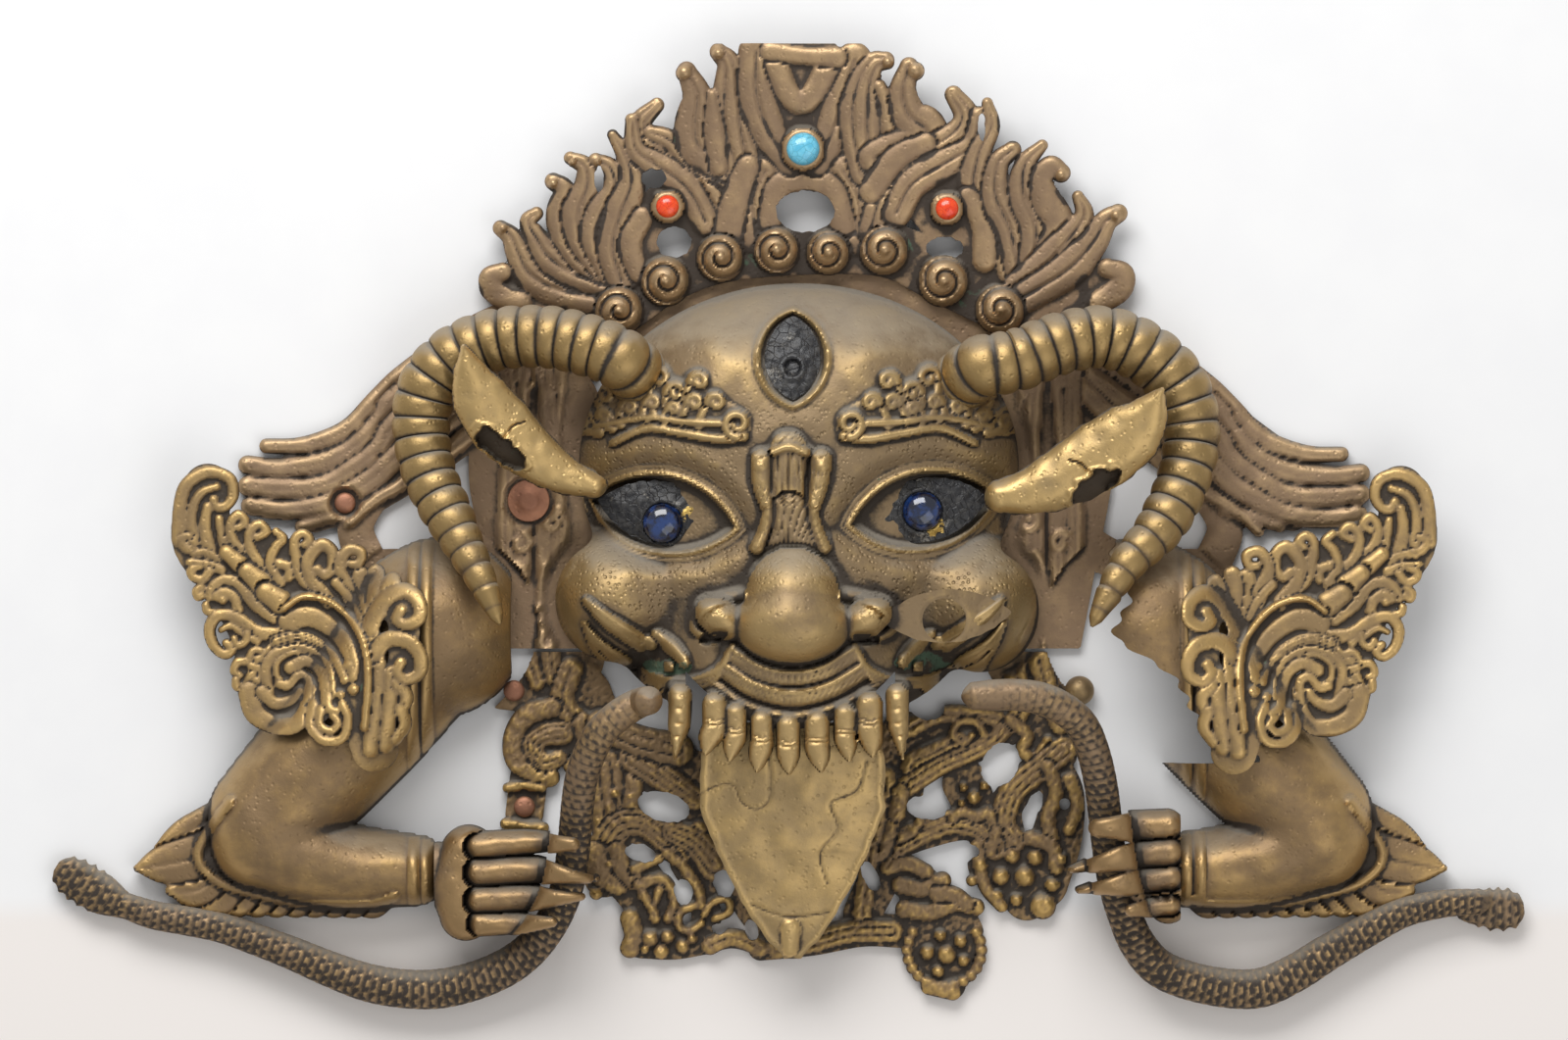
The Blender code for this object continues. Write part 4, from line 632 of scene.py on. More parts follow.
def carve_face(sheet):
    """Brows, moustache, nose bridge, lip bands, teeth and fangs."""
    form = face_form(sheet.x, sheet.y)
    sheet.metal = face_outline(sheet.x, sheet.y)
    for side, shift in ((-1.0, 0.0), (1.0, 3.0)):
        def at(x, y):
            return side * x + shift, y
        carve_brow(sheet, at, side)
        for low, start in ((0.0, 0.0), (3.4, 2.0), (6.6, 3.0)):
            sheet.stroke([at(27 + start, -54 - low), at(33 + start, -64 - low), at(46, -70 - low * 0.6),
                          at(62, -69 - low * 0.5), at(77, -63 - low)],
                         1.9, 1.5, 3.8, metal=False)
        sheet.stroke([at(20, -30), at(32, -32), at(42, -38), at(45, -46), at(36, -51)], 3.2, 2.4, 4.0,
                     metal=False)
        sheet.curl(at(73, -71), 4.6, 90.0, side * 1.1, 1.7, 4.4, False)
        sheet.curl(at(62, -74), 3.4, 60.0, side * 1.0, 1.5, 4.0, False)
        sheet.stroke([at(96, -33), at(86, -42), at(70, -53)], 2.2, 4.6, 5.4, middle=4.4, metal=False,
                     flutes=1, groove=0.8, edge=0.4, over=True)
        sheet.stroke([at(97, -44), at(90, -55), at(78, -63)], 1.6, 4.2, 5.2, middle=4.2, metal=False,
                     flutes=1, groove=0.8, edge=0.4, over=True)
        sheet.stroke([at(92, -57), at(84, -66), at(72, -70)], 1.4, 3.6, 5.0, middle=3.6, metal=False,
                     edge=0.4, over=True)
        sheet.stroke([at(63, -49), at(57, -54), at(51, -60)], 3.0, 3.4, 6.4, middle=4.0, metal=False)
        for x, y, size in ((66, -53, 4.2), (50, -62, 3.2), (57, -64, 3.0)):
            sheet.boss(at(x, y), size, 6.4, False)
        sheet.stroke([at(103, -18), at(112, -34), at(104, -54)], 0.8, 0.8, 1.4, metal=False)
    sheet.stroke([(-0.8, 38.0), (-1.0, 25.0), (-0.8, 12.0)], 8.8, 7.6, 6.4, middle=8.0, metal=False, flutes=9,
                 groove=1.0, edge=0.24, over=True)
    sheet.stroke([(-8.5, 36.5), (-0.8, 39.0), (7.0, 36.5)], 3.0, 3.0, 8.4, middle=3.6, metal=False)
    sheet.stroke([(-0.6, 11.0), (0.2, 3.0), (1.0, -8.0)], 7.8, 12.5, 5.6, middle=8.6, metal=False, flutes=11,
                 groove=1.0, edge=0.24, over=True)
    on_bulb = (np.abs(sheet.x - 1.0) < 22.0) & (sheet.y < -5.0) & (sheet.y > -34.0)
    sheet.carving = np.where(on_bulb, sheet.carving * ease((sheet.y + 13.0) / 8.0), sheet.carving)
    for x in (-1.0, 1.0):
        sheet.stroke([(x * 14.0 + 0.4, 33), (x * 13.4, 22), (x * 11.2, 12)], 5.4, 3.6, 6.6, middle=4.8,
                     metal=False, flutes=4, groove=0.9, edge=0.4, over=True)
        sheet.boss((x * 14.2 + 0.4, 30), 5.2, 7.4, False)
        sheet.stroke([(x * 10.4, 11), (x * 11.6, 3), (x * 15.5, -8)], 2.8, 3.8, 5.2, metal=False, flutes=2,
                     groove=0.7)
    depth = almond(sheet.x, sheet.y, THIRD_EYE, 25.0, 18.5, 90.0)
    sheet.carving = np.maximum(sheet.carving, 2.6 * ease(1.0 - np.abs(depth - 1.8) / 2.4))
    for centre, turn in ((LEFT_EYE, -EYE_TURN), (RIGHT_EYE, EYE_TURN)):
        depth = eye_depth(sheet.x, sheet.y, centre, turn)
        sheet.carving = np.maximum(sheet.carving, 1.1 * ease(1.0 - np.abs(depth + 4.6) / 1.3))
    top = form + sheet.carving
    for points, radius, ticks in (
            ([(-27, -58), (-14, -66), (0.5, -68.5), (15, -66), (29, -58)], 4.4, 1.5),
            ([(-31, -65), (-17, -74), (0.5, -78), (18, -74.5), (33, -66)], 4.6, 1.5),
            ([(-38, -73), (-22, -84), (0.5, -89.5), (23, -84.5), (41, -75)], 5.4, 1.5)):
        band = Sheet.like(sheet)
        band.stroke(points, radius, radius, 3.6, metal=False, ticks=ticks, tick_depth=0.6, edge=0.34)
        band.stroke([(x, y + radius * 0.5) for x, y in points], 1.7, 1.7, 4.1, metal=False)
        top = np.maximum(top, form + band.carving)
    tooth = Sheet.like(sheet)
    for x, root, wide, tip in ((-35.5, -87, 6.0, (-40, -105)), (-25.5, -91, 5.2, (-28.5, -108)),
                               (-13.5, -95, 5.6, (-15.8, -113)), (-1.0, -97, 5.8, (-0.8, -114)),
                               (12.5, -95.5, 6.0, (14.4, -113)), (25.5, -91.5, 5.4, (27.6, -108)),
                               (37.0, -87, 6.4, (38.6, -106))):
        tooth.stroke([(x, root + 5.5), (x, root - 5), ((x + tip[0]) / 2, (root + tip[1]) / 2 - 1), tip],
                     wide * 0.98, 1.0, 6.4, middle=wide * 1.0, edge=0.34, leafy=True)
        for drop in (1.6, 3.8):
            near = np.abs(tooth.y - (root - drop) - 0.03 * (tooth.x - x) ** 2) < 0.55
            tooth.carving = np.where(near & (np.abs(tooth.x - x) < wide), tooth.carving - 0.7, tooth.carving)
    for x in (-51.5, 50.0):
        tooth.stroke([(x, -77), (x * 1.01, -90), (x * 1.05, -107)], 5.6, 1.0, 8.0, middle=5.4, ticks=6.4,
                     tick_depth=1.2)
    return top, tooth


face_sheet = Sheet((-118.0, -120.0, 124.0, 122.0), FACE_CELL)
face_top, teeth = carve_face(face_sheet)
for centre, turn in ((LEFT_EYE, -EYE_TURN), (RIGHT_EYE, EYE_TURN)):
    depth = eye_depth(face_sheet.x, face_sheet.y, centre, turn)
    face_top = face_top - 5.0 * ease(0.5 + depth / 1.6)
third_depth = almond(face_sheet.x, face_sheet.y, THIRD_EYE, 21.0, 14.5, 90.0)
face_top = face_top - 3.0 * ease(0.5 + third_depth / 1.6)
face_top = face_top + 0.35 * grain(face_sheet.x, face_sheet.y, 26.0, 3)
for centre, radii, turn in (((-36.0, -49.8), (6.4, 2.6), 14.0), ((35.5, -50.6), (6.0, 2.4), -10.0)):
    nostril = ellipse(face_sheet.x, face_sheet.y, centre, radii, turn)
    face_top = face_top - 7.0 * ease(0.5 + nostril / 1.8)
face_low = np.maximum(eroded(face_top, WALL, FACE_CELL) - WALL, SEAT)
only_teeth = teeth.metal > face_sheet.metal
teeth_top = 66.0 + teeth.carving
merged = np.where(teeth.metal > 0.0, np.maximum(np.where(only_teeth, 0.0, face_top), teeth_top), face_top)
face_low = np.where(only_teeth | (face_sheet.metal < 0.0), 64.0, face_low)
face_sheet.metal = np.maximum(face_sheet.metal, teeth.metal)
punched = ease(1.0 - np.hypot((face_sheet.x - 2.0) / 30.0, (face_sheet.y - 44.0) / 24.0)) * 1.4
punched = np.maximum(punched, ease((26.0 - np.abs(np.hypot((np.abs(face_sheet.x - 2.0) - 62.0) * 0.8,
                                                            face_sheet.y - 6.0) - 34.0)) / 20.0) * 0.7)
verdigris = np.zeros(punched.shape)
for centre, radii in (((38.0, 31.0), (10.0, 11.0)), ((-96.0, 62.0), (8.0, 12.0)),
                      ((62.0, -62.0), (16.0, 7.0)),
                      ((-58.0, -64.0), (14.0, 6.0))):
    verdigris = np.maximum(verdigris,
                           np.clip(ellipse(face_sheet.x, face_sheet.y, centre, radii) / 6.0, 0.0, 0.6))
raise_sheet("face", face_sheet, merged, np.minimum(face_low, merged - WALL), BRASS,
            np.clip(punched, 0.0, 1.0) * (face_sheet.carving < 0.6) * 0.75 - verdigris)

# Inlaid eyes: a bed of black resin pressed into each eye, with a ball of blue glass sunk in it.
# The resin has shrunk, cracked and flaked, and traces of gold leaf still cling round the right pupil.


def resin_finish(name, gilt_place, gilt_reach):
    """Old black resin: cracked, scuffed grey, with flakes of gold leaf round one place."""
    finish = Finish(name)
    broad, mid, fine = (finish.noise(0.011, 5.0, 0.65), finish.noise(0.0035, 5.0, 0.65),
                        finish.noise(0.0010, 3.0))
    colour = finish.mix(mid.step(0.42, 0.66), (0.010, 0.010, 0.012), (0.042, 0.040, 0.038))
    colour = finish.mix((broad + fine * 0.4).step(0.80, 0.92), colour, (0.20, 0.185, 0.16))
    near = finish.tree.nodes.new("ShaderNodeVectorMath")
    near.operation = "DISTANCE"
    finish.tree.links.new(finish.coordinates, near.inputs[0])
    near.inputs[1].default_value = [value * MM for value in gilt_place]
    flakes = (Signal(finish.tree, near.outputs["Value"]) * (-1.0 / (gilt_reach * MM))
              + mid * 1.5).step(0.05, 0.12)
    colour = finish.mix(flakes, colour, (0.62, 0.42, 0.12))
    finish.feed("Base Color", colour)
    finish.feed("Metallic", flakes * 0.75)
    finish.feed("Roughness", (mid * 0.5 + 0.12).limited())
    finish.bump(mid, 0.45, 0.0012)
    finish.bump(finish.cells(0.0045, "DISTANCE_TO_EDGE").step(0.0, 0.05), 0.5, 0.0006)
    return finish.material


def glass_finish(name):
    """A scuffed ball of deep blue glass over black."""
    finish = Finish(name)
    broad, mid = finish.noise(0.006, 3.0), finish.noise(0.0016, 4.0, 0.6)
    colour = finish.mix(broad.step(0.40, 0.62), (0.003, 0.006, 0.020), (0.008, 0.036, 0.150))
    colour = finish.mix(mid.step(0.66, 0.74) * 0.4, colour, (0.13, 0.19, 0.30))
    finish.feed("Base Color", colour)
    finish.feed("Roughness", (mid.step(0.55, 0.75) * 0.35 + 0.05).limited())
    finish.feed("Coat Weight", 1.0)
    finish.feed("Coat Roughness", 0.04)
    finish.bump(mid, 0.12, 0.0006)
    return finish.material


def inlay(name, centre, length, height, turn, floor, rise, slope, finish, dish=None):
    """A shallow almond cushion that fills an eye opening."""
    reach = max(length, height) + 3.0
    bed = Sheet((centre[0] - reach, centre[1] - reach, centre[0] + reach, centre[1] + reach), 0.9)
    bed.metal = almond(bed.x, bed.y, centre, length, height, turn) + 0.25 * grain(bed.x, bed.y, 6.0, 5)
    lean = slope[0] * (bed.x - centre[0]) + slope[1] * (bed.y - centre[1])
    top = floor + lean + rise * ease(0.35 + bed.metal / height) + 0.22 * grain(bed.x, bed.y, 7.0, 8)
    if dish:
        distance = np.hypot(bed.x - dish[0], bed.y - dish[1])
        top = (top + 0.9 * np.exp(-((distance - dish[2]) / 1.3) ** 2)
               - 2.4 * ease((dish[2] - 1.0 - distance) / 1.2))
    vertices, faces, channels = kept_body(*sheet_mesh(bed, top, floor + lean - 4.0, [0.0 * top] * 3))
    piece = mesh_object(f"{name}_bed", vertices, faces, finish, channels)
    stands_for(piece, name)
    return piece


def turned(name, centre, profile, sides, finish, node, tilt=(0.0, 0.0)):
    """A turned piece from (radius, height) pairs, leaning with the surface under it."""
    angles = 2.0 * math.pi * np.arange(sides) / sides
    rings = []
    for radius, height in profile:
        x, y = radius * np.cos(angles), radius * np.sin(angles)
        rings.append(np.stack([centre[0] + x - height * tilt[0], centre[1] + y - height * tilt[1],
                               centre[2] + height + x * tilt[0] + y * tilt[1]], 1))
    vertices = np.concatenate(rings + [rings[0].mean(axis=0)[None], rings[-1].mean(axis=0)[None]])
    foot, peak = len(vertices) - 2, len(vertices) - 1
    last = (len(profile) - 1) * sides
    faces = []
    for side in range(sides):
        other = (side + 1) % sides
        for k in range(len(profile) - 1):
            a, b = k * sides + side, k * sides + other
            faces += [(a, b, b + sides), (a, b + sides, a + sides)]
        faces += [(side, foot, other), (last + side, last + other, peak)]
    piece = mesh_object(name, vertices, faces, finish, None, 60.0)
    stands_for(piece, node)
    return piece


def ball(name, centre, diameter, finish, node, flatness=0.62):
    """A glass or stone cabochon: a flat-backed ball."""
    radius = 0.5 * diameter
    profile = [(radius * 0.72, -1.6), (radius * 0.9, -0.8)]
    for k in range(13):
        angle = math.radians(7.0 * k)
        profile.append((max(radius * math.cos(angle), 0.2), radius * flatness * math.sin(angle)))
    return turned(name, centre, profile, 48, finish, node)


GLASS = glass_finish("eye_glass_blue")
for name, centre, turn, slope, pupil, gilt in (
        ("left", LEFT_EYE, -EYE_TURN, (0.16, 0.02), (-60.0, 3.5), (-47.0, 8.0, 44.0)),
        ("right", RIGHT_EYE, EYE_TURN, (-0.16, 0.02), (62.0, 9.0), (70.0, 0.0, 42.0))):
    level = float(np.median(face_form(np.array([centre[0] - 8.0, centre[0], centre[0] + 8.0]),
                                      np.full(3, centre[1])))) - 4.4
    inlay(f"eye_paste_{name}", centre, EYE_HALF_LENGTH - 2.6, EYE_HALF_HEIGHT - 2.0, turn, level, 2.6, slope,
          resin_finish(f"resin_{name}", gilt, 9.0), (*pupil, 10.4))
    pupil_level = level + slope[0] * (pupil[0] - centre[0]) + 2.6
    ball(f"glass_ball_{name}", (*pupil, pupil_level), 18.6, GLASS, f"eye_glass_{name}")
third_level = float(face_form(np.array([THIRD_EYE[0]]), np.array([THIRD_EYE[1]]))[0])
inlay("third_eye_paste", THIRD_EYE, 20.0, 13.0, 90.0, third_level - 2.0, 2.6, (0.0, -0.36),
      resin_finish("resin_third", (0.0, 84.0, -40.0), 2.0), (1.0, 76.5, 5.2))

# Loose almond plate on the right cheek, the metal eye that lost its glass.
# Thin brass, polished on its face, with a round hole and a bent edge, stuck slantwise to the cheek.

loose = Sheet((38.0, -60.0, 108.0, -20.0), 0.7)
loose.metal = almond(loose.x, loose.y, (73.0, -40.0), 31.0, 12.5, 3.0) + 0.3 * grain(loose.x, loose.y, 9.0, 2)
hole_edge = np.hypot(loose.x - 72.0, loose.y + 42.0)
loose.metal = np.minimum(loose.metal, hole_edge - 10.25)
loose_low = np.interp(loose.x, (40.0, 72.0, 106.0), (61.5, 58.6, 46.0)) + 0.10 * (loose.y + 40.0)
loose_low = np.maximum(loose_low, face_form(loose.x, loose.y) + 2.0)
loose_top = loose_low + 1.6 - 0.5 * ease((12.0 - hole_edge) / 1.8) + 0.18 * grain(loose.x, loose.y, 12.0, 6)
raise_sheet("loose_eye_plate", loose, loose_top, loose_low, BRASS)

# Tongue: one brass sheet curled over, whose root runs in behind the teeth.
# It is the most rubbed piece, cracked across on the right, with a sunk midline and a rolled tip.

tongue = Sheet((-50.0, -206.0, 52.0, -84.0), 1.05)
tongue_half = np.interp(-tongue.y, (92, 106, 130, 150, 165, 180, 194, 201), (40, 43, 43.5, 36, 29, 21, 11, 4))
tongue.metal = (tongue_half - np.abs(tongue.x - 1.0)) * 0.8 + 0.3 * grain(tongue.x, tongue.y, 14.0, 4)
tongue.metal = np.minimum(tongue.metal, np.minimum(-90.0 - tongue.y, tongue.y + 202.0))
tongue.stroke([(0, -188), (0, -197)], 5.0, 4.0, 3.0)
tongue_form = np.interp(-tongue.y, (84.0, 104.0, 150.0, 190.0, 206.0), (58.0, 55.0, 44.0, 30.0, 24.0))
across = np.clip(1.0 - ((tongue.x - 1.0) / 52.0) ** 2, 0.0, 1.0)
rim = ease(1.0 - np.abs(tongue.metal - 1.6) / 1.8)
cracks = Sheet.like(tongue)
for points in ([(-10, -106), (-9.4, -118), (-10.4, -127), (-16, -131), (-23, -127.5), (-26.5, -120),
                (-34, -119.5), (-43, -124)], [(36, -108), (31, -122), (19, -128), (22, -140),
                                                                  (14, -152), (17, -166)],
               [(-19, -176), (-2, -182), (18, -180)]):
    cracks.stroke(points, 0.9, 0.7, 1.0, metal=False)
tongue_top = (tongue_form - 7.0 + 9.0 * np.sqrt(across) + tongue.carving + 0.8 * rim - 0.7 * cracks.carving
              + 0.45 * grain(tongue.x, tongue.y, 22.0, 9))
RUBBED_BRASS = aged_metal("rubbed_brass", (0.58, 0.40, 0.17), (0.37, 0.26, 0.125), (0.070, 0.050, 0.032),
                          wear=0.66, grime_and_shade_strength=0.42, dusty=0.3, green=0.2, rough=0.36, pits=0.5)
raise_sheet("tongue", tongue, tongue_top, tongue_form - 7.0 + 9.0 * np.sqrt(across) - 3.0, RUBBED_BRASS)

# Crown: flame locks that stand up over a row of snail curls, cut from one thick bronze sheet.
# The sheet is browned and dusty, its flame edges are filed thin, and three cups hold set stones.

TURQUOISE_SEAT = (6.0, 180.0)
CORAL_SEATS = ((-58.0, 153.0), (74.0, 152.0))
CURLS = ((-81, 104, 12.0), (-59, 118, 12.0), (-33, 129, 11.6), (-6.5, 132.5, 11.2), (18, 131.5, 10.8),
         (44.5, 132.5, 12.0), (72.5, 118, 12.4), (99.5, 104.5, 12.2))
LOCK = 1.72
BRONZE = aged_metal("browned_bronze", (0.47, 0.320, 0.175), (0.285, 0.190, 0.115), (0.052, 0.038, 0.028),
                    wear=0.52, grime_and_shade_strength=0.5, dusty=0.42, green=0.22, rough=0.37)


def crown_level(y):
    """The crown's back, which leans forward towards its tips."""
    return SEAT + 0.12 * np.maximum(y - 112.0, 0.0)


crown = Sheet((-152.0, 88.0, 170.0, 231.0), 0.9)
for points, start, middle, end in (
        ([(-96, 103), (-118, 110), (-139, 116)], 8.0, 9.0, 8.5),
        ([(112, 104), (134, 112), (153, 118)], 8.0, 9.5, 9.5),
        ([(-80, 106), (-60, 120), (-34, 130), (4, 134), (45, 133), (73, 120), (102, 106)], 13.0, 13.0, 13.0),
        ([(-98, 112), (-88, 132), (-84, 152)], 16.0, 14.0, 7.0),
        ([(-66, 138), (-46, 158), (-30, 172)], 16.0, 18.0, 14.0),
        ([(-27, 150), (-36, 180), (-36, 200)], 12.0, 14.0, 9.0),
        ([(6, 168), (5, 192), (5, 215)], 24.0, 22.0, 22.0),
        ([(42, 150), (48, 178), (44, 196)], 14.0, 15.0, 9.0),
        ([(84, 138), (70, 160), (52, 176)], 16.0, 18.0, 14.0),
        ([(112, 112), (106, 134), (104, 158)], 16.0, 14.0, 8.0),
        ([(-100, 116), (-112, 124)], 10.0, 9.0, 7.0),
        ([(118, 116), (132, 128)], 11.0, 10.0, 8.0)):
    crown.stroke(points, start, end, 0.7, middle=middle, edge=0.12)
for points, start, middle, end, flutes in (
        ([(-91, 110), (-110, 114), (-123, 121), (-129, 132), (-132, 139), (-137, 143)], 4.6, 5.0, 2.0, 1),
        ([(-86, 117), (-102, 121), (-114, 129), (-120, 138), (-124, 146), (-120, 150)], 4.4, 4.6, 1.6, 1),
        ([(-88, 122), (-99, 129), (-107, 142), (-109, 151), (-107, 161), (-112, 165)], 4.0, 4.6, 2.2, 0),
        ([(-88, 124), (-98, 138), (-100, 150), (-96, 163), (-97, 172), (-104, 176)], 4.4, 5.2, 1.6, 1),
        ([(-84, 122), (-92, 138), (-89, 150), (-83, 161), (-85, 171), (-92, 175)], 4.4, 4.8, 1.8, 1),
        ([(-80, 118), (-84, 134), (-80, 150), (-75, 165), (-78, 177), (-84, 187)], 4.4, 5.0, 1.3, 1),
        ([(-72, 122), (-76, 136), (-70, 148)], 3.4, 3.6, 3.0, 0),
        ([(-28, 138), (-34, 157), (-51, 171), (-67, 181), (-71, 192), (-63, 201)], 5.4, 6.2, 1.8, 2),
        ([(-40, 146), (-49, 162), (-64, 173), (-73, 180), (-75, 194)], 4.0, 4.4, 1.6, 1),
        ([(-26, 164), (-44, 176), (-58, 185), (-66, 188)], 3.6, 4.2, 2.0, 1),
        ([(-24, 170), (-42, 180), (-45, 192), (-44, 205), (-49, 217)], 5.0, 6.2, 2.4, 1),
        ([(-22, 168), (-27, 190), (-28, 206), (-29, 220), (-34, 226)], 5.0, 6.4, 2.2, 2),
        ([(-34, 172), (-36, 190), (-37, 206)], 3.0, 3.4, 1.4, 0),
        ([(-16, 140), (-18, 156), (-12, 170)], 6.0, 5.4, 4.0, 1),
        ([(31, 140), (33, 156), (25, 170)], 6.0, 5.4, 4.0, 1),
        ([(-30, 138), (-26, 156), (-20, 172)], 4.6, 4.4, 3.4, 0),
        ([(-10, 145), (-6, 162), (7, 166), (20, 161), (25, 144)], 3.6, 3.8, 3.6, 0),
        ([(-16, 226), (-16, 206), (-10, 188), (0, 174)], 5.0, 5.4, 4.0, 1),
        ([(30, 222), (26, 206), (20, 188), (12, 174)], 5.0, 5.4, 4.0, 1),
        ([(-7, 221), (-2, 208), (5, 202), (12, 208), (18, 220)], 3.6, 3.4, 3.6, 0),
        ([(-10, 226), (6, 224), (22, 223)], 3.0, 2.6, 3.0, 0),
        ([(36, 170), (33, 190), (34, 208), (39, 220), (45, 222)], 5.0, 6.4, 2.2, 2),
        ([(44, 172), (48, 184), (46, 200), (42, 210)], 3.0, 3.4, 1.6, 0),
        ([(40, 176), (64, 187), (56, 196), (53, 207), (56, 219)], 5.0, 6.0, 2.4, 1),
        ([(41, 142), (47, 158), (62, 173), (79, 186), (83, 196), (77, 206)], 5.4, 6.6, 2.2, 2),
        ([(50, 150), (58, 164), (74, 174), (86, 182), (89, 196)], 4.2, 4.6, 2.4, 1),
        ([(38, 160), (50, 176), (64, 183)], 3.6, 3.8, 3.0, 0),
        ([(106, 122), (97, 144), (87, 160), (89, 178), (95, 191), (93, 202)], 4.6, 5.0, 1.3, 1),
        ([(92, 128), (92, 144), (84, 158)], 3.6, 4.0, 3.0, 0),
        ([(108, 124), (104, 142), (97, 158), (98, 173), (105, 180)], 4.2, 4.6, 2.2, 1),
        ([(115, 124), (116, 144), (110, 160), (111, 173), (119, 182)], 4.4, 5.0, 1.4, 1),
        ([(121, 128), (127, 144), (121, 156), (119, 166), (123, 172), (128, 169)], 4.2, 4.6, 2.4, 0),
        ([(108, 115), (124, 129), (135, 142), (139, 150), (136, 158)], 4.6, 5.0, 1.4, 1),
        ([(110, 110), (131, 123), (143, 136), (149, 146), (155, 150)], 4.6, 5.2, 2.4, 1),
        ([(-128, 108), (-138, 112), (-142, 119), (-136, 122)], 3.4, 3.6, 2.6, 0),
        ([(146, 108), (155, 114), (157, 121), (150, 124)], 3.4, 3.8, 2.6, 0)):
    crown.stroke(points, LOCK * start, LOCK * end + 0.4, 3.6, middle=LOCK * middle, flutes=flutes, groove=1.2,
                 edge=0.34, over=True)
crown.carving = blurred(crown.carving, 0.5, crown.cell)
for x, y, size in ((-136, 143, 2.8), (-112, 164, 2.8), (-50, 216, 4.2), (-34, 225, 3.4), (46, 221, 3.2),
                   (59, 217, 4.4), (128, 168, 3.4), (154, 149, 3.4), (-103, 174, 2.2), (-91, 174, 2.2)):
    crown.boss((x, y), size, 6.0)
crown.metal = np.minimum(crown.metal, np.maximum(crown.y - 103.0, -face_outline(crown.x, crown.y) - 1.5))
crown.metal = np.minimum(crown.metal, -face_outline(crown.x, crown.y) - 1.2)
for centre, radii in (((7.0, 151.0), (14.0, 9.8)), ((-55.0, 136.5), (8.2, 7.4)), ((73.0, 133.5), (8.8, 5.6)),
                      ((-64.5, 166.5), (6.0, 4.6)), ((-90.5, 166.0), (2.2, 6.4)),
                      ((90.4, 190.5), (1.8, 6.6))):
    crown.hole(centre, radii)
for x, y, size in CURLS:
    distance = np.hypot(crown.x - x, crown.y - y)
    turn = 1.0 if x < 5 else -1.0
    angle = np.arctan2(crown.y - y, crown.x - x) * turn
    coil = distance / size * 2.1 - angle / (2.0 * math.pi)
    ridge = np.abs((coil % 1.0) - 0.5) * 2.0
    cone = 6.0 + 8.0 * (1.0 - distance / size)
    coiled = cone - 2.6 * ease((ridge - 0.45) / 0.55)
    crown.metal = np.maximum(crown.metal, size - distance)
    crown.carving = np.where(distance < size,
                             coiled * np.sqrt(np.clip(1.0 - (distance / size) ** 8, 0, 1)), crown.carving)
    crown.boss((x, y), 2.6, 2.6, False, 12.0)
for seat, diameter in ((TURQUOISE_SEAT, 15.6), (CORAL_SEATS[0], 10.8), (CORAL_SEATS[1], 10.8)):
    outer = 0.5 * diameter + 2.2
    distance = np.hypot(crown.x - seat[0], crown.y - seat[1])
    crown.metal = np.maximum(crown.metal, outer - distance)
    cup = 7.0 - 1.3 * ease((distance - outer + 1.6) / 1.6)
    crown.carving = np.where(distance < outer + 0.3, cup, crown.carving)
crown_low = crown_level(crown.y)
crown.metal = np.minimum(crown.metal, 229.9 - crown.y)
residue = (np.clip(grain(crown.x, crown.y, 24.0, 61) * 1.6 - 0.35, 0.0, 1.0)
           * ease((3.4 - crown.carving) / 1.6))
raise_sheet("crown", crown, crown_low + 3.4 + crown.carving, crown_low, BRONZE, None, 0.9,
            residue * (crown.y < 206.0))


def stone_finish(name, first, second, vein, vein_share):
    """A polished stone with clouds of a second colour and fine dark veins."""
    finish = Finish(name)
    cloud, fine = finish.noise(0.0035, 4.0), finish.noise(0.0009, 4.0, 0.6)
    colour = finish.mix(cloud.step(0.35, 0.68), first, second)
    veins = finish.cells(0.0034, "DISTANCE_TO_EDGE") + (fine - 0.5) * 0.16
    colour = finish.mix((veins * -1.0 + vein_share).step(-0.03, 0.02), colour, vein)
    finish.feed("Base Color", colour)
    finish.feed("Roughness", fine * 0.2 + 0.10)
    finish.feed("Coat Weight", 0.5)
    finish.bump(fine, 0.15, 0.0004)
    return finish.material


TURQUOISE = stone_finish("turquoise_stone", (0.10, 0.46, 0.66), (0.19, 0.60, 0.78), (0.10, 0.38, 0.50), 0.03)
CORAL = stone_finish("coral_stone", (0.78, 0.045, 0.006), (0.86, 0.085, 0.010), (0.55, 0.03, 0.008), 0.015)
for name, seat, diameter, finish in (("turquoise_cabochon", TURQUOISE_SEAT, 15.6, TURQUOISE),
                                     ("coral_cabochon_left", CORAL_SEATS[0], 10.8, CORAL),
                                     ("coral_cabochon_right", CORAL_SEATS[1], 10.8, CORAL)):
    level = float(crown_level(np.array(seat[1]))) + 3.4 + 7.0
    ball(f"{name}_stone", (*seat, level + 1.6), diameter, finish, name)

# Arms: two hollow half shells from shoulder to wrist, hammered from one sheet each.
# Smooth and hand worn, with a leaf fringe and a cord below the elbow and two rings at the wrist.
# The right one has lost its inner edge, so that it ends in a ragged line.

ARM_HEIGHT = 43.0
LEFT_WRIST = 168.0
RIGHT_WRIST = 184.0
ARM_BRASS = aged_metal("arm_brass", (0.46, 0.30, 0.125), (0.245, 0.160, 0.082), (0.045, 0.033, 0.024),
                       wear=0.50, grime_and_shade_strength=0.45, dusty=0.5, green=0.4, rough=0.36)


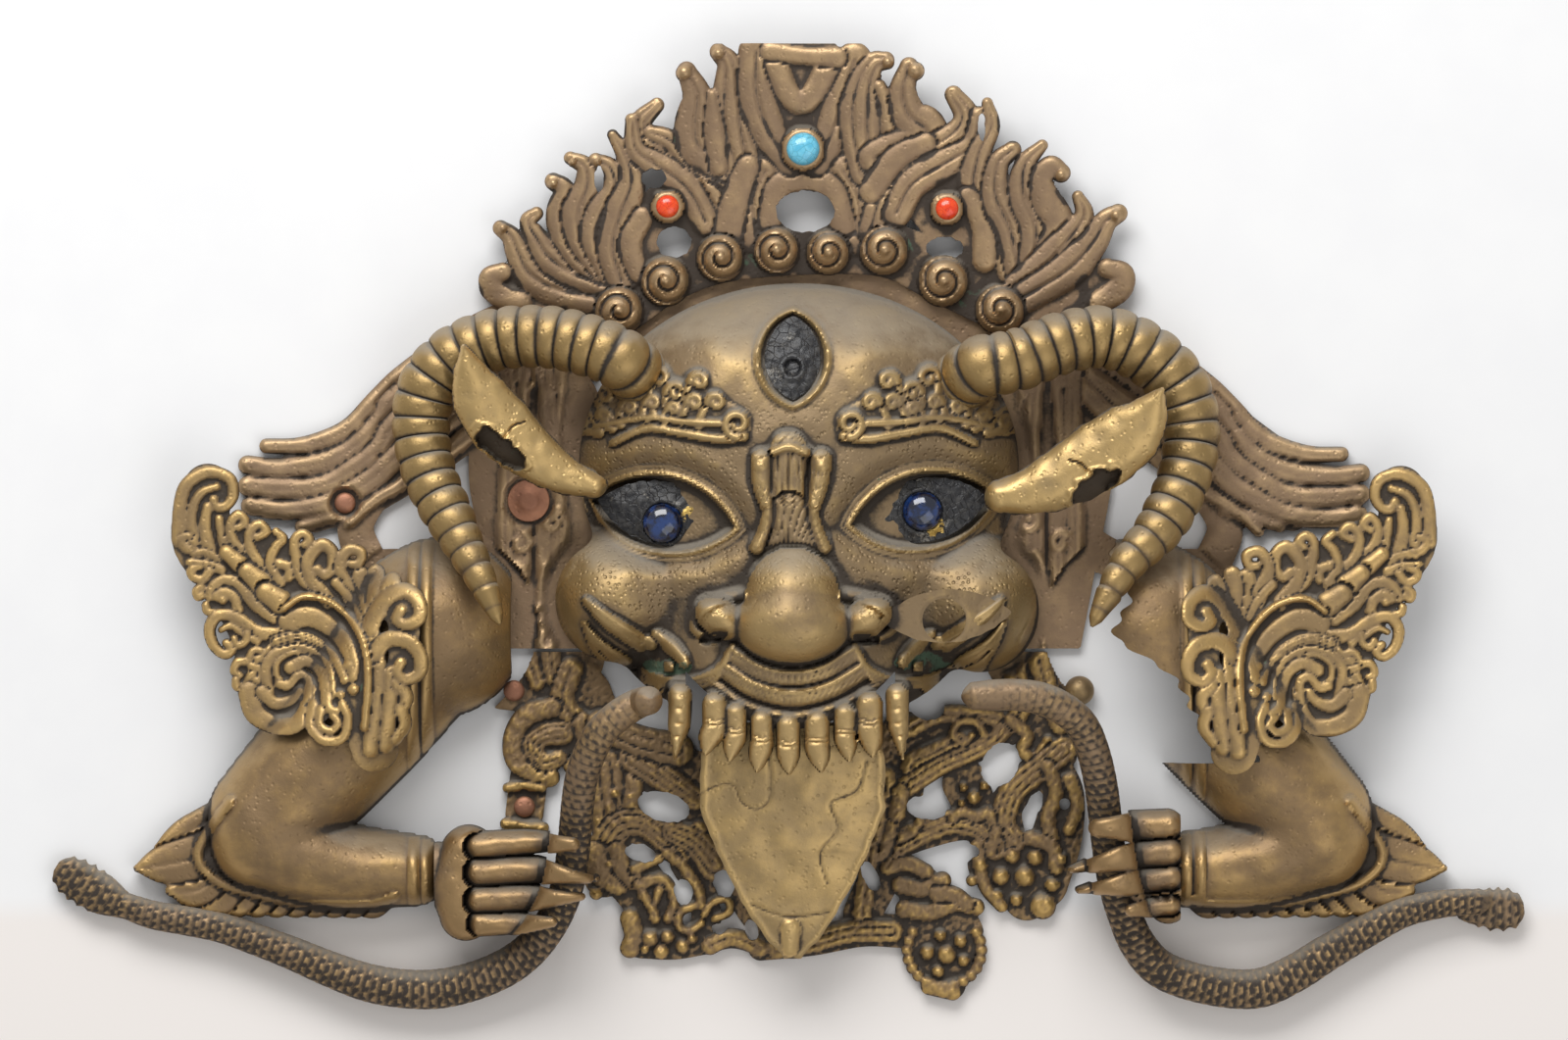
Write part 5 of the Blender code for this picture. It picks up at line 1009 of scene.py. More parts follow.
def distance_along(x, y, path):
    """Distance to a path and the share of its length at the nearest place."""
    lengths = np.hypot(*np.diff(path[:, :2], axis=0).T)
    starts = np.concatenate([[0.0], np.cumsum(lengths)])
    best = np.full(x.shape, 1e9)
    run = np.zeros(x.shape)
    for (ax, ay), (bx, by), length, start in zip(path[:-1, :2], path[1:, :2], lengths, starts):
        t = np.clip(((x - ax) * (bx - ax) + (y - ay) * (by - ay)) / max(length, 1e-9) ** 2, 0.0, 1.0)
        distance = np.hypot(x - ax - t * (bx - ax), y - ay - t * (by - ay))
        nearer = distance < best
        best = np.where(nearer, distance, best)
        run = np.where(nearer, start + t * length, run)
    return best, run / starts[-1]


def arm_form(x, y, side):
    """Height of one arm over the plates, nought beyond its edge."""
    u = side * x
    form = dome(u, y, (166.0, -46.0), (41.0, 43.0), ARM_HEIGHT, 12.0)
    bare = form
    for route, wide, narrow, high, low in (
            ([(172, -46), (205, -90), (246, -136)], 39.0, 30.0, ARM_HEIGHT, ARM_HEIGHT - 6.0),
            ([(250, -146), (215, -158), (178, -161)], 25.0, 17.0, 36.0, 29.0)):
        distance, along = distance_along(u, y, smooth_path(route))
        radius = wide + (narrow - wide) * along
        barrel = (high + (low - high) * along) * np.sqrt(np.clip(1.0 - (distance / radius) ** 2, 0.0, 1.0))
        bare = np.maximum(bare, barrel)
        form = smooth_max(form, barrel, 6.0)
    return np.where(bare > 0.0, form, 0.0)


def arm_cover(x, y):
    """Nought where neither arm nor its edge lies over the plates."""
    spread = [arm_form(x + east, y + north, side)
              for side in (-1.0, 1.0) for east, north in ((0, 0), (5, 0), (-5, 0), (0, 5), (0, -5))]
    return np.maximum.reduce(spread)


def make_arm(name, side, wrist, inner_cut):
    """One arm with its elbow leaves, cord and wrist bracelets."""
    box = (-316.0, -196.0, -116.0, 8.0) if side < 0 else (126.0, -196.0, 320.0, 8.0)
    arm = Sheet(box, 1.3)
    u, y = side * arm.x, arm.y
    form = arm_form(arm.x, y, side)
    arm.metal = (form - 3.0) / 2.0
    for k in range(9):
        x = 196.0 + 9.2 * k
        arm.stroke([(side * (x - 6.0), -168.0), (side * x, -176.0), (side * (x + 8.0), -181.5 + 0.25 * k)],
                   8.0, 1.6, 4.2, middle=7.0, edge=0.3, over=True, leafy=True)
    for points, start, middle, end in (
            (((268, -160), (280, -170), (293, -170.5)), 9.0, 8.5, 3.0),
            (((262, -132), (280, -140), (299, -150)), 9.0, 7.5, 2.0),
            (((268, -150), (288, -156.5), (309, -160)), 12.0, 11.0, 2.0)):
        arm.stroke([(side * x, north) for x, north in points], start, end, 4.2, middle=middle, flutes=1,
                   groove=0.8, edge=0.26, over=True, leafy=True)
    cord = [(side * x, north) for x, north in (
        (264, -127.6), (273.5, -140), (279, -149), (280, -154.5), (277, -161), (268, -167.5), (252, -172.2),
        (233, -176), (214, -177), (197, -176.5), (187, -173))]
    top = np.maximum(form, CAST + arm.carving)
    distance, _ = distance_along(arm.x, y, smooth_path(cord))
    top = np.maximum(top, np.where(distance < 2.6, np.maximum(form, 7.0) + 3.0 * np.sqrt(
        np.clip(1 - (distance / 2.6) ** 2, 0, 1)), 0.0))
    top = top - 1.6 * np.exp(-((distance - 3.6) / 0.9) ** 2) * (form > 4.0)
    for x in (wrist + 3.0, wrist + 9.5):
        ring = np.clip(1.0 - ((u - x) / 2.7) ** 2, 0.0, 1.0)
        top = np.where(form > 4.0, np.maximum(top, form + 2.6 * np.sqrt(ring)), top)
    arm.metal = np.minimum(arm.metal, u - wrist + 60.0 * (y > -120.0))
    arm.metal = np.minimum(arm.metal, inner_cut(arm.x, arm.y))
    top = top + SEAT + 0.35 * grain(arm.x, arm.y, 30.0, 12) * (form > 6.0)
    low = np.maximum(eroded(top, WALL, arm.cell) - WALL, SEAT)
    low = np.where(form < 3.4, SEAT, low)
    raise_sheet(name, arm, top, low, ARM_BRASS)


make_arm("arm_left", -1.0, LEFT_WRIST, lambda x, y: -132.0 - x + 0.0 * y)
make_arm("arm_right", 1.0, RIGHT_WRIST,
         lambda x, y: x - 156.0 - 4.0 * np.sin(y * 0.16) - 1.6 * np.sin(y * 0.7)
         - np.where(y < -50.0, -1.05 * (y + 50.0), 0.0) * (y > -110.0))

# Armlets: a pierced foliate wing over each upper arm, cast in brass and chased.
# Each lies on the arm along its inner edge and stands free beyond it; its curls are worn yellow.

ARMLET_BRASS = aged_metal("armlet_brass", (0.58, 0.385, 0.155), (0.305, 0.205, 0.100), (0.050, 0.037, 0.026),
                          wear=0.52, grime_and_shade_strength=0.62, dusty=0.45, green=0.4, rough=0.36)


WING_CORNER = (295.7, 37.7)
WING_STEP = 0.89
WING_LIFT = 2.8
WING_SCROLLS = (
    (((104, 84), (112, 98), (115, 116), (113, 136), (111, 158)), 3.4, 3.2),
    (((122, 118), (121, 136), (119, 156)), 3.4, 3.0),
    (((125, 123), (130, 130), (127, 138)), 3.0, 2.4),
    (((127, 137), (129, 145), (124, 153)), 2.8, 2.2),
    (((97, 72), (101, 84), (104, 92)), 3.4, 3.0),
    (((108, 86), (104, 73), (105, 66)), 2.6, 3.8),
    (((112, 86), (111, 73), (113, 65)), 2.6, 3.8),
    (((116, 86), (119, 75), (122, 69)), 2.6, 3.6),
    (((110, 94), (117, 80), (128, 74), (136, 79), (137, 88), (130, 92), (125, 89), (127, 84)), 4.0, 2.2),
    (((112, 108), (120, 100), (131, 101), (137, 108), (137, 117), (130, 121), (125, 117), (127, 112)), 3.8,
     2.2),
    (((9, 47), (9.5, 30), (13, 18), (24, 11.5), (35, 14.5), (37.5, 23), (34, 29), (29, 30), (27, 26)), 3.2,
     2.0),
    (((17, 52), (15.5, 34), (20, 23), (29, 19)), 3.0, 1.6),
    (((25, 54), (22.5, 40), (24, 30)), 3.4, 2.2),
    (((33, 52), (31, 42), (30, 36)), 2.6, 1.8),
    (((20, 54), (12.5, 51.5), (10, 46.5), (14.5, 45)), 2.4, 1.8),
    (((30, 57), (22, 53.5), (16, 55)), 2.3, 1.3),
    (((31, 63), (22, 60), (14, 59)), 2.5, 1.4),
    (((25, 64), (21, 68.5), (16, 66.5), (15.5, 63), (20, 61.5)), 2.3, 1.7),
    (((28, 70), (23, 75), (19, 77.5), (18, 74), (21, 72)), 2.1, 1.6),
    (((59, 88), (48, 80), (41, 71), (33, 68.5), (27, 72), (25, 77)), 3.2, 2.3),
    (((40, 84), (38, 78), (33, 75), (29, 77)), 2.4, 2.6),
    (((30, 87), (24, 85), (23, 82)), 2.0, 1.8),
    (((63, 98), (50, 96), (40, 89), (30, 87), (25, 94), (27, 103), (33, 108), (37, 105), (34, 102)), 3.3,
     1.9),
    (((50, 101), (43, 97), (36, 93), (31, 95)), 2.0, 1.3),
    (((45, 96.5), (44, 101), (40, 103), (38, 99.5)), 2.0, 1.6),
    (((60, 103), (53, 109), (47, 112)), 2.5, 1.8),
    (((52, 106), (48, 106), (46, 109)), 1.7, 1.5),
    (((46, 112), (40, 112), (38, 117), (41, 119)), 2.2, 1.6),
    (((48, 117), (44, 124.5), (39.5, 125), (39, 121.5)), 2.2, 1.8),
    (((47, 114), (52, 116), (52, 121), (48, 122)), 2.0, 1.6),
    (((46, 58), (38, 49), (36, 40), (40, 34), (44, 38), (40, 41)), 3.0, 1.7),
    (((53, 62), (47, 53), (46, 44), (51, 39), (55, 43), (50, 46)), 2.8, 1.7),
    (((62, 70), (57, 60), (60, 51), (64, 47), (60, 43)), 2.8, 1.7),
    (((62, 60), (67, 62), (67, 67)), 2.4, 2.2),
    (((86, 77), (74, 67), (71, 57), (70, 48), (74, 44), (78, 47), (75, 50)), 3.4, 1.7),
    (((88, 80), (79, 68), (77, 58), (84, 50), (90, 54), (90, 62), (86, 66), (82, 63)), 3.5, 2.2),
    (((99, 74), (94, 62), (98, 53), (105, 54), (104, 60), (100, 60)), 3.3, 2.0),
    (((92, 70), (100, 79), (104, 88)), 2.4, 2.0),
    (((67, 90), (78, 88), (88, 93), (96, 101), (101, 111), (101, 119)), 4.8, 2.8),
    (((56, 128), (55, 114), (62, 106), (72, 103), (84, 108), (89, 118), (90, 129)), 2.6, 2.0),
    (((67, 124), (61, 120), (61, 112), (69, 107), (78, 109)), 1.6, 1.4),
    (((68, 115), (76, 111.5), (84, 117), (87, 127), (88, 135), (92, 138)), 3.1, 2.2),
    (((46, 128), (49, 139), (59, 145), (70, 145), (76, 138), (78, 126)), 4.6, 3.0),
    (((53, 128), (60, 134), (68, 132), (73, 127)), 3.2, 2.2),
    (((62, 123.5), (67, 124.5), (72, 119), (77, 121), (77, 132)), 2.2, 2.2),
    (((80, 134), (79, 145), (86, 153), (96, 152), (99, 142), (96, 134)), 2.3, 1.9),
    (((84, 137), (84, 145), (90, 148), (94, 144), (91, 140)), 2.2, 1.6))


def make_armlet(name, side, shift):
    """One foliate wing of scrolls, buds and striated bands."""
    box = (-296.0, -140.0, -166.0, 36.0) if side < 0 else (166.0, -140.0, 304.0, 36.0)
    wing = Sheet(box, 0.85)

    def drawn(*places):
        """Places on the wing's own grid, counted from its upper outer corner."""
        return [(side * (WING_CORNER[0] - WING_STEP * u) + shift[0],
                 WING_CORNER[1] - WING_STEP * v + shift[1]) for u, v in places]

    for places, start, end in (
            (((24, 20), (20, 45), (33, 62), (48, 80), (60, 100)), 13, 22),
            (((45, 47), (62, 58), (85, 64), (100, 75)), 11, 14),
            (((75, 82), (95, 105), (106, 130), (113, 158)), 20, 12),
            (((110, 74), (127, 86), (128, 108), (122, 130)), 10, 6),
            (((54, 112), (62, 130), (78, 132)), 16, 14)):
        wing.stroke(drawn(*places), WING_STEP * start, WING_STEP * end, 0.5, edge=0.1)
    for places, start, end in WING_SCROLLS:
        wing.stroke(drawn(*places), 1.32 * WING_STEP * start, 1.32 * WING_STEP * end, WING_LIFT, edge=0.24,
                    over=True)
    wing.stroke(drawn((60, 101), (72, 98.5), (84, 103), (92, 111), (97, 120)), 3.6, 2.4, WING_LIFT,
                metal=False, flutes=3, groove=1.6, edge=0.4, over=True)
    for places, start, end in ((((34, 54), (41, 60)), 4.0, 4.6), (((45, 64), (52, 70)), 4.8, 5.8),
                               (((55, 75), (62, 80)), 5.4, 6.2)):
        wing.stroke(drawn(*places), 1.2 * WING_STEP * start, 1.2 * WING_STEP * end, 4.6, metal=False,
                    edge=0.45, over=True)
    for u, v, size in ((32, 79, 3.0), (99, 113, 3.2), (97, 121, 2.8), (102, 126, 3.4), (95, 129, 2.6)):
        wing.boss(drawn((u, v))[0], WING_STEP * size, WING_LIFT + 0.6)
    for places in (((64, 84), (74, 77.5), (86, 79), (96, 85.5), (105, 97), (109, 109), (110, 122), (109, 136),
                    (108, 146)),):
        wing.stroke(drawn(*places), 2.1, 2.4, 5.0, metal=False, over=True)
    wing.carving = blurred(wing.carving, 0.45, wing.cell)
    seat = arm_form(wing.x, wing.y, side) + SEAT
    low = smooth_max(seat + 3.2, 28.0 + 0.0 * seat, 6.0)
    raise_sheet(name, wing, low + CAST + wing.carving, low, ARMLET_BRASS)


make_armlet("armlet_left", -1.0, (0.0, 0.0))
make_armlet("armlet_right", 1.0, (13.0, -1.0))

# Hair sheet behind everything: one flat bronze sheet whose locks sweep out to both sides.
# It is hammered from behind, browned by age and grey with dust on every edge that faces the crown.

hair_sheet = Sheet((-262.0, -60.0, 276.0, 124.0), 1.35)
hair = ((-1.0, ((100, 114), (142, 99), (189, 69), (221, 43), (251, 38)),
         ((112, 84), (150, 46), (196, 14), (226, 4), (255, 11))),
        (1.0, ((110, 114), (165, 99), (208, 62), (238, 38), (268, 31)),
         ((124, 84), (166, 52), (206, 20), (238, 5), (266, 6))))
for side, outer, inner in hair:
    outer_path, inner_path = np.array(outer, dtype=float), np.array(inner, dtype=float)
    east = 6.5 + 6.5 * side
    for places, root, wide, tip in (
            (((104, 112), (145, 98), (180, 75), (194, 63), (207, 50), (218, 44), (233, 40), (248, 40)), 6.4,
             6.2, 3.6),
            (((104, 106), (146, 89), (185, 64), (192, 54), (201, 44), (212, 36), (226, 31), (245, 29.5),
              (257, 31)), 6.6, 6.4, 4.6),
            (((106, 98), (150, 76), (186, 51), (194, 39), (207, 29), (222, 21), (240, 19.5), (257, 21)), 6.6,
             6.4, 4.8),
            (((108, 92), (152, 60), (185, 36), (196, 26), (207, 19), (222, 12), (240, 9.5), (256, 11.6)), 6.6,
             6.4, 4.4),
            (((110, 86), (152, 46), (184, 22), (194, 16), (202, 10), (209, 3)), 6.0, 4.8, 2.4)):
        hair_sheet.stroke([(side * (x + east), y - 0.3 * east) for x, y in places], root, tip, 3.8,
                          middle=wide, flutes=1, groove=0.5, edge=0.3, over=True)
    for k in range(4):
        lock = outer_path * (0.8 - 0.25 * k) + inner_path * (0.2 + 0.25 * k)
        hair_sheet.stroke([(side * x, y) for x, y in lock[:4]], 9.0, 7.0, 0.0)
    hair_sheet.stroke([(side * 116, 96), (side * 132, 40), (side * 128, -14), (side * 124, -52)], 20.0, 14.0,
                      0.0, middle=20.0)
    hair_sheet.stroke([(side * 206, 10), (side * 232, 2)], 4.0, 3.0, 3.0)
    hair_sheet.stroke([(side * 196, 20), (side * 206, 2), (side * 200, -16)], 8.0, 9.0, 1.0)
    hair_sheet.stroke([(side * 136, -4), (side * 160, -16), (side * 196, -18)], 9.0, 9.0, 0.0)
    for x, bend in ((109, 4), (117, -3), (126, 4), (135, -2)):
        hair_sheet.stroke([(side * x, 84), (side * (x + bend), 40), (side * x, 0), (side * (x + bend), -50)],
                          4.6, 4.2, 2.4, metal=False, flutes=1, groove=0.8, edge=0.3, over=True)
    hair_sheet.stroke([(side * 104, 62), (side * 106, 20), (side * 105, -14), (side * 112, -50)], 13.0, 13.0,
                      0.6, middle=13.0, edge=0.1)
    for x, y, size, turn in ((117, -40, 9.0, 1.1), (130, -24, 7.0, -1.0), (113, -18, 7.0, 1.0),
                             (132, -44, 6.0, -1.0),
                             (112, 4, 6.0, -1.0), (128, -6, 5.0, 1.0), (108, 24, 5.0, 1.0),
                             (114, -53, 6.0, -1.0)):
        hair_sheet.stroke(curl_path((side * x, y), size, 60.0, side * turn), 3.0, 1.8, 3.6, metal=False,
                          edge=0.4, over=True)
hair_sheet.stroke([(-104, 90), (-60, 116), (4, 126), (66, 116), (110, 90)], 20.0, 20.0, 0.0)
hair_sheet.carving = blurred(hair_sheet.carving, 0.7, hair_sheet.cell)
STREAMER_RIVET = (-211.0, 13.0)
PATCH = (-124.0, 14.0)
hair_sheet.flat(STREAMER_RIVET, 5.0)
hair_sheet.flat(PATCH, 10.0)
hair_sheet.metal = np.minimum(hair_sheet.metal, 9.0 - face_outline(hair_sheet.x, hair_sheet.y))
hair_sheet.metal = np.minimum(hair_sheet.metal, 121.5 - hair_sheet.y)
hair_sheet.metal = np.minimum(hair_sheet.metal, hair_sheet.y + 56.0)
under_crown = np.minimum(174.0 - np.abs(hair_sheet.x - 6.0), hair_sheet.y - 98.0)
covered = np.maximum(face_outline(hair_sheet.x, hair_sheet.y) + 4.0, under_crown + 4.0)
open_hair = ease(-covered / 6.0) * (arm_cover(hair_sheet.x, hair_sheet.y) < 0.5)
hair_top = PLATE + (hair_sheet.carving + 0.25 * grain(hair_sheet.x, hair_sheet.y, 20.0, 21)) * open_hair
raise_sheet("mane_plate", hair_sheet, hair_top, np.zeros(hair_top.shape), BRONZE, None, 1.2)

# Foliage plate under the jaw: one pierced sheet of scrolls, ribbons and berries.
# It hangs from the face behind the tongue, crusted with dust, with black grime and painted shade between its
# scrolls.

FOLIAGE_BRASS = aged_metal("foliage_brass", (0.50, 0.325, 0.115), (0.23, 0.150, 0.078), (0.040, 0.030, 0.022),
                           wear=0.40, grime_and_shade_strength=0.65, dusty=0.6, green=0.3, rough=0.42)
foliage = Sheet((-150.0, -226.0, 146.0, -57.5), 0.95)
for points, start, end in (
        ([(-104, -60), (-112, -88), (-119, -103)], 16, 14), ([(-118, -76), (-136, -76)], 11, 9),
        ([(-124, -118), (-126, -134)], 9, 9), ([(-100, -80), (-84, -118), (-83, -148), (-88, -164)], 16, 10),
        ([(-80, -105), (-58, -118), (-44, -128)], 12, 9),
        ([(-84, -142), (-66, -146), (-50, -146), (-38, -158)], 8, 9),
        ([(-70, -164), (-62, -178), (-62, -192)], 9, 11),
        ([(-50, -158), (-42, -172), (-40, -186), (-46, -194)], 7, 7),
        ([(-70, -194), (-55, -196), (-40, -195)], 9, 6), ([(-38, -196), (-26, -194), (-12, -198)], 4, 4.5),
        ([(-44, -112), (-43, -140), (-30, -160), (-22, -178), (-12, -192)], 6, 5),
        ([(-88, -158), (-78, -168), (-70, -180)], 10, 7), ([(108, -60), (118, -84), (122, -104)], 16, 12),
        ([(56, -100), (80, -100), (104, -90), (112, -80)], 14, 10),
        ([(52, -116), (50, -135), (44, -160), (34, -182)], 12, 9),
        ([(83, -120), (88, -132)], 11, 10), ([(48, -150), (64, -144), (84, -140), (98, -148)], 7, 7),
        ([(128, -106), (112, -118), (102, -132), (104, -148)], 8, 8),
        ([(124, -112), (129, -126), (126, -146), (118, -166)], 9, 14),
        ([(96, -158), (106, -162), (112, -174)], 12, 11), ([(50, -160), (60, -168), (70, -182)], 9, 13),
        ([(72, -194), (74, -204), (77, -216)], 20, 6),
        ([(-14, -198), (10, -195), (34, -190), (54, -190)], 6, 8),
        ([(-56, -112), (0, -118), (56, -108)], 9, 9)):
    foliage.stroke(points, start, end, 0.5, edge=0.1)
for points, start, end, flutes in (
        ([(-108, -36), (-114, -52), (-112, -70)], 5.0, 4.0, 1),
        ([(-118, -44), (-124, -58), (-120, -72)], 4.4, 3.4, 1),
        ([(-104, -66), (-108, -80), (-100, -92)], 5.0, 5.0, 1),
        ([(-98, -92), (-96, -104), (-104, -112)], 5.0, 3.0, 1),
        ([(-113, -84), (-125, -88), (-131, -98), (-130, -109), (-122, -115), (-114, -117)], 4.4, 4.0, 0),
        ([(-108, -96), (-116, -97), (-122, -102), (-117, -110), (-110, -108)], 5.0, 3.6, 3),
        ([(-134, -122), (-126, -121), (-118, -122)], 2.0, 2.0, 0),
        ([(-135, -139), (-126, -140), (-117, -141)], 2.2, 2.2, 0),
        ([(-88, -112), (-86, -128), (-84, -140)], 7.0, 8.0, 2),
        ([(-74, -118), (-76, -130), (-80, -138)], 4.0, 3.4, 0),
        ([(-74, -108), (-60, -117), (-46, -127)], 6.4, 5.0, 3),
        ([(-90, -92), (-72, -100), (-54, -104)], 6.0, 7.0, 2),
        ([(-90, -152), (-82, -140), (-71, -138.5), (-60, -146), (-52, -153)], 6.0, 5.0, 3),
        ([(-55, -134), (-54, -140), (-48, -143), (-43, -141)], 2.6, 3.0, 0),
        ([(-56, -143), (-45, -148), (-36, -158)], 4.6, 7.0, 3),
        ([(-92, -154), (-89, -163), (-82, -168)], 6.0, 4.4, 0),
        ([(-82, -152), (-80, -160), (-74, -166)], 4.4, 4.0, 0),
        ([(-74, -161), (-68, -158), (-62, -155.5)], 2.6, 2.0, 0),
        ([(-72, -168), (-62, -165), (-57, -169), (-55, -177), (-58, -184)], 2.6, 2.2, 0),
        ([(-70, -172), (-66, -178), (-64, -184)], 2.4, 2.2, 0), ([(-62, -170), (-64, -176)], 2.2, 1.6, 0),
        ([(-58, -153), (-51, -159), (-44, -169), (-41.7, -178)], 2.8, 2.2, 0),
        ([(-40.8, -182), (-37, -176.5), (-30, -175), (-29, -181), (-36, -184)], 1.7, 1.6, 0),
        ([(-46, -178), (-52, -181), (-53, -187), (-48, -190), (-42, -186)], 1.9, 1.7, 0),
        ([(-38, -197), (-31, -193.5), (-24, -193.5), (-14, -198)], 3.6, 3.6, 1),
        ([(-76, -184), (-74, -192), (-76, -198)], 4.0, 4.0, 0),
        ([(118, -62), (122, -78), (128, -92)], 5.0, 4.4, 1),
        ([(106, -66), (110, -80), (106, -92)], 5.0, 4.0, 1),
        ([(56, -94), (68, -88), (84, -87), (100, -90)], 4.0, 3.4, 1),
        ([(60, -112), (70, -107), (80, -101)], 6.6, 5.0, 2),
        ([(54, -122), (72, -111), (92, -102), (103, -93)], 4.4, 3.6, 2),
        ([(92, -97), (88, -91), (80, -91), (77, -97), (82, -101), (86, -97)], 2.2, 1.6, 0),
        ([(104, -90), (112, -97), (110, -104), (116, -108), (122, -100)], 3.0, 2.4, 0),
        ([(129, -104), (118, -113), (108, -121), (102.4, -130), (101.4, -140), (106, -147)], 5.6, 5.0, 3),
        ([(46, -152), (59, -144.4), (74, -138.5), (86, -139.5), (93.6, -144.4), (97, -151)], 5.4, 4.8, 3),
        ([(52, -146), (59, -142), (62, -135), (60, -132)], 2.6, 1.9, 0),
        ([(44, -118), (46, -134), (42, -150)], 5.4, 6.0, 1),
        ([(52, -124), (50, -134)], 4.0, 4.0, 0), ([(38, -150), (36, -166), (34, -182)], 3.4, 4.0, 1),
        ([(77, -136.5), (82, -133.6), (88, -136), (94, -134), (96, -141)], 2.6, 2.6, 0),
        ([(97.5, -142), (95, -152)], 2.8, 2.6, 0),
        ([(122, -112), (126, -124), (122, -136), (124, -146)], 3.4, 3.0, 0),
        ([(132, -118), (136, -130), (132, -142)], 3.0, 2.6, 0),
        ([(114, -146), (124, -150), (126, -160)], 3.4, 3.0, 0),
        ([(88, -150), (92, -168), (100, -178)], 3.0, 2.6, 0),
        ([(46, -160), (56, -158), (64, -162)], 3.0, 3.4, 0),
        ([(52, -168), (62, -170), (72, -166)], 3.4, 3.6, 0),
        ([(54, -179.5), (66, -181), (78, -177), (88, -178.5)], 3.6, 3.4, 0),
        ([(70, -172), (78, -173), (84, -177)], 4.0, 3.0, 0),
        ([(66, -216), (77, -219)], 3.6, 3.2, 0),
        ([(-6, -198), (10, -195), (30, -190), (48, -190)], 4.4, 4.6, 2)):
    foliage.stroke(points, 1.2 * start, 1.2 * end, 3.4, flutes=flutes, groove=1.1, edge=0.3, over=True)
for k in range(17):
    angle = math.radians(150.0 + 240.0 * k / 16.0)
    foliage.boss((73.0 + 17.5 * math.cos(angle), -199.0 + 17.0 * math.sin(angle)), 2.9, 3.0)
for x, y, size in ((-66.4, -193.5, 4.4), (-58.3, -192.5, 3.6), (-61.2, -199.5, 4.0), (-51, -197, 3.6),
                   (-46.6, -193.5, 2.6),
                   (-69, -198.5, 2.4), (-83, -124.5, 3.0), (-76, -126, 2.0), (-92, -172, 3.2),
                   (-86, -158, 2.6),
                   (105, -154, 4.2), (116, -155, 4.2), (111, -164, 5.2), (99.5, -164, 4.6), (90, -159, 3.6),
                   (98, -173, 3.0),
                   (107, -175, 3.2), (124, -168, 3.8), (119.5, -178, 6.4), (128, -156, 3.2), (86, -166, 2.8),
                   (87, -126.7, 3.6), (81, -129.4, 2.0), (82, -122, 2.0), (92, -121, 2.4), (74, -201, 4.8),
                   (65, -200, 3.6), (80.5, -194.5, 3.4), (71, -192, 3.0), (82, -204, 3.0), (70, -209, 3.2)):
    foliage.boss((x, y), size, 4.8)
for centre, radii, turn in (
        ((-60, -131), (12.4, 7.0), -14.0), ((-71, -153), (7.4, 4.2), -14.0),
        ((-50.7, -171.5), (4.4, 6.2), 10.0),
        ((-31.5, -167.5), (4.8, 6.6), 16.0), ((-34, -189), (3.6, 2.6), 0.0),
        ((-18.5, -189.5), (3.0, 5.0), 16.0),
        ((64, -82), (9.6, 7.4), -30.0), ((99.5, -111), (8.6, 10.8), -28.0),
        ((64.5, -131.5), (9.6, 5.6), -8.0),
        ((115.6, -130.2), (3.6, 6.6), -24.0), ((130, -129.7), (2.8, 2.8), 0.0),
        ((81.4, -152.7), (8.2, 4.2), 6.0),
        ((38, -164), (3.6, 7.6), 24.0)):
    foliage.hole(centre, radii, turn)
foliage.carving = (blurred(foliage.carving, 0.45, foliage.cell)
                   + 0.28 * grain(foliage.x, foliage.y, 5.0, 33) + 0.12 * grain(foliage.x, foliage.y, 2.4, 34))
ARM_TAB_RIVET = (-131.0, -76.0)
FOLIAGE_RIVET = (-126.0, -131.0)
BALL_RIVET = (137.0, -76.0)
for seat, radius in ((ARM_TAB_RIVET, 5.0), (FOLIAGE_RIVET, 5.0), (BALL_RIVET, 7.0)):
    foliage.flat(seat, radius)
foliage.metal = np.minimum(foliage.metal, 9.0 - face_outline(foliage.x, foliage.y))
foliage.metal = np.minimum(foliage.metal, -57.6 - foliage.y)
foliage.metal = np.minimum(foliage.metal, 2.0 - arm_cover(foliage.x, foliage.y))
foliage_top = CAST + foliage.carving * ease((-face_outline(foliage.x, foliage.y) - 2.0) / 5.0)
foliage_top = foliage_top + 0.2 * grain(foliage.x, foliage.y, 9.0, 31)
raise_sheet("foliage_plate", foliage, foliage_top, np.zeros(foliage_top.shape), FOLIAGE_BRASS)

# Horns: hollow brass tubes that curl out and down beside the ears.
# Each has about two dozen raised rings, worn bright on their crests, and ends in a smooth cone.

HORN_BRASS = aged_metal("horn_brass", (0.38, 0.255, 0.105), (0.165, 0.112, 0.062), (0.036, 0.027, 0.020),
                        wear=0.42, grime_and_shade_strength=0.6, dusty=0.6, green=0.55, rough=0.36)


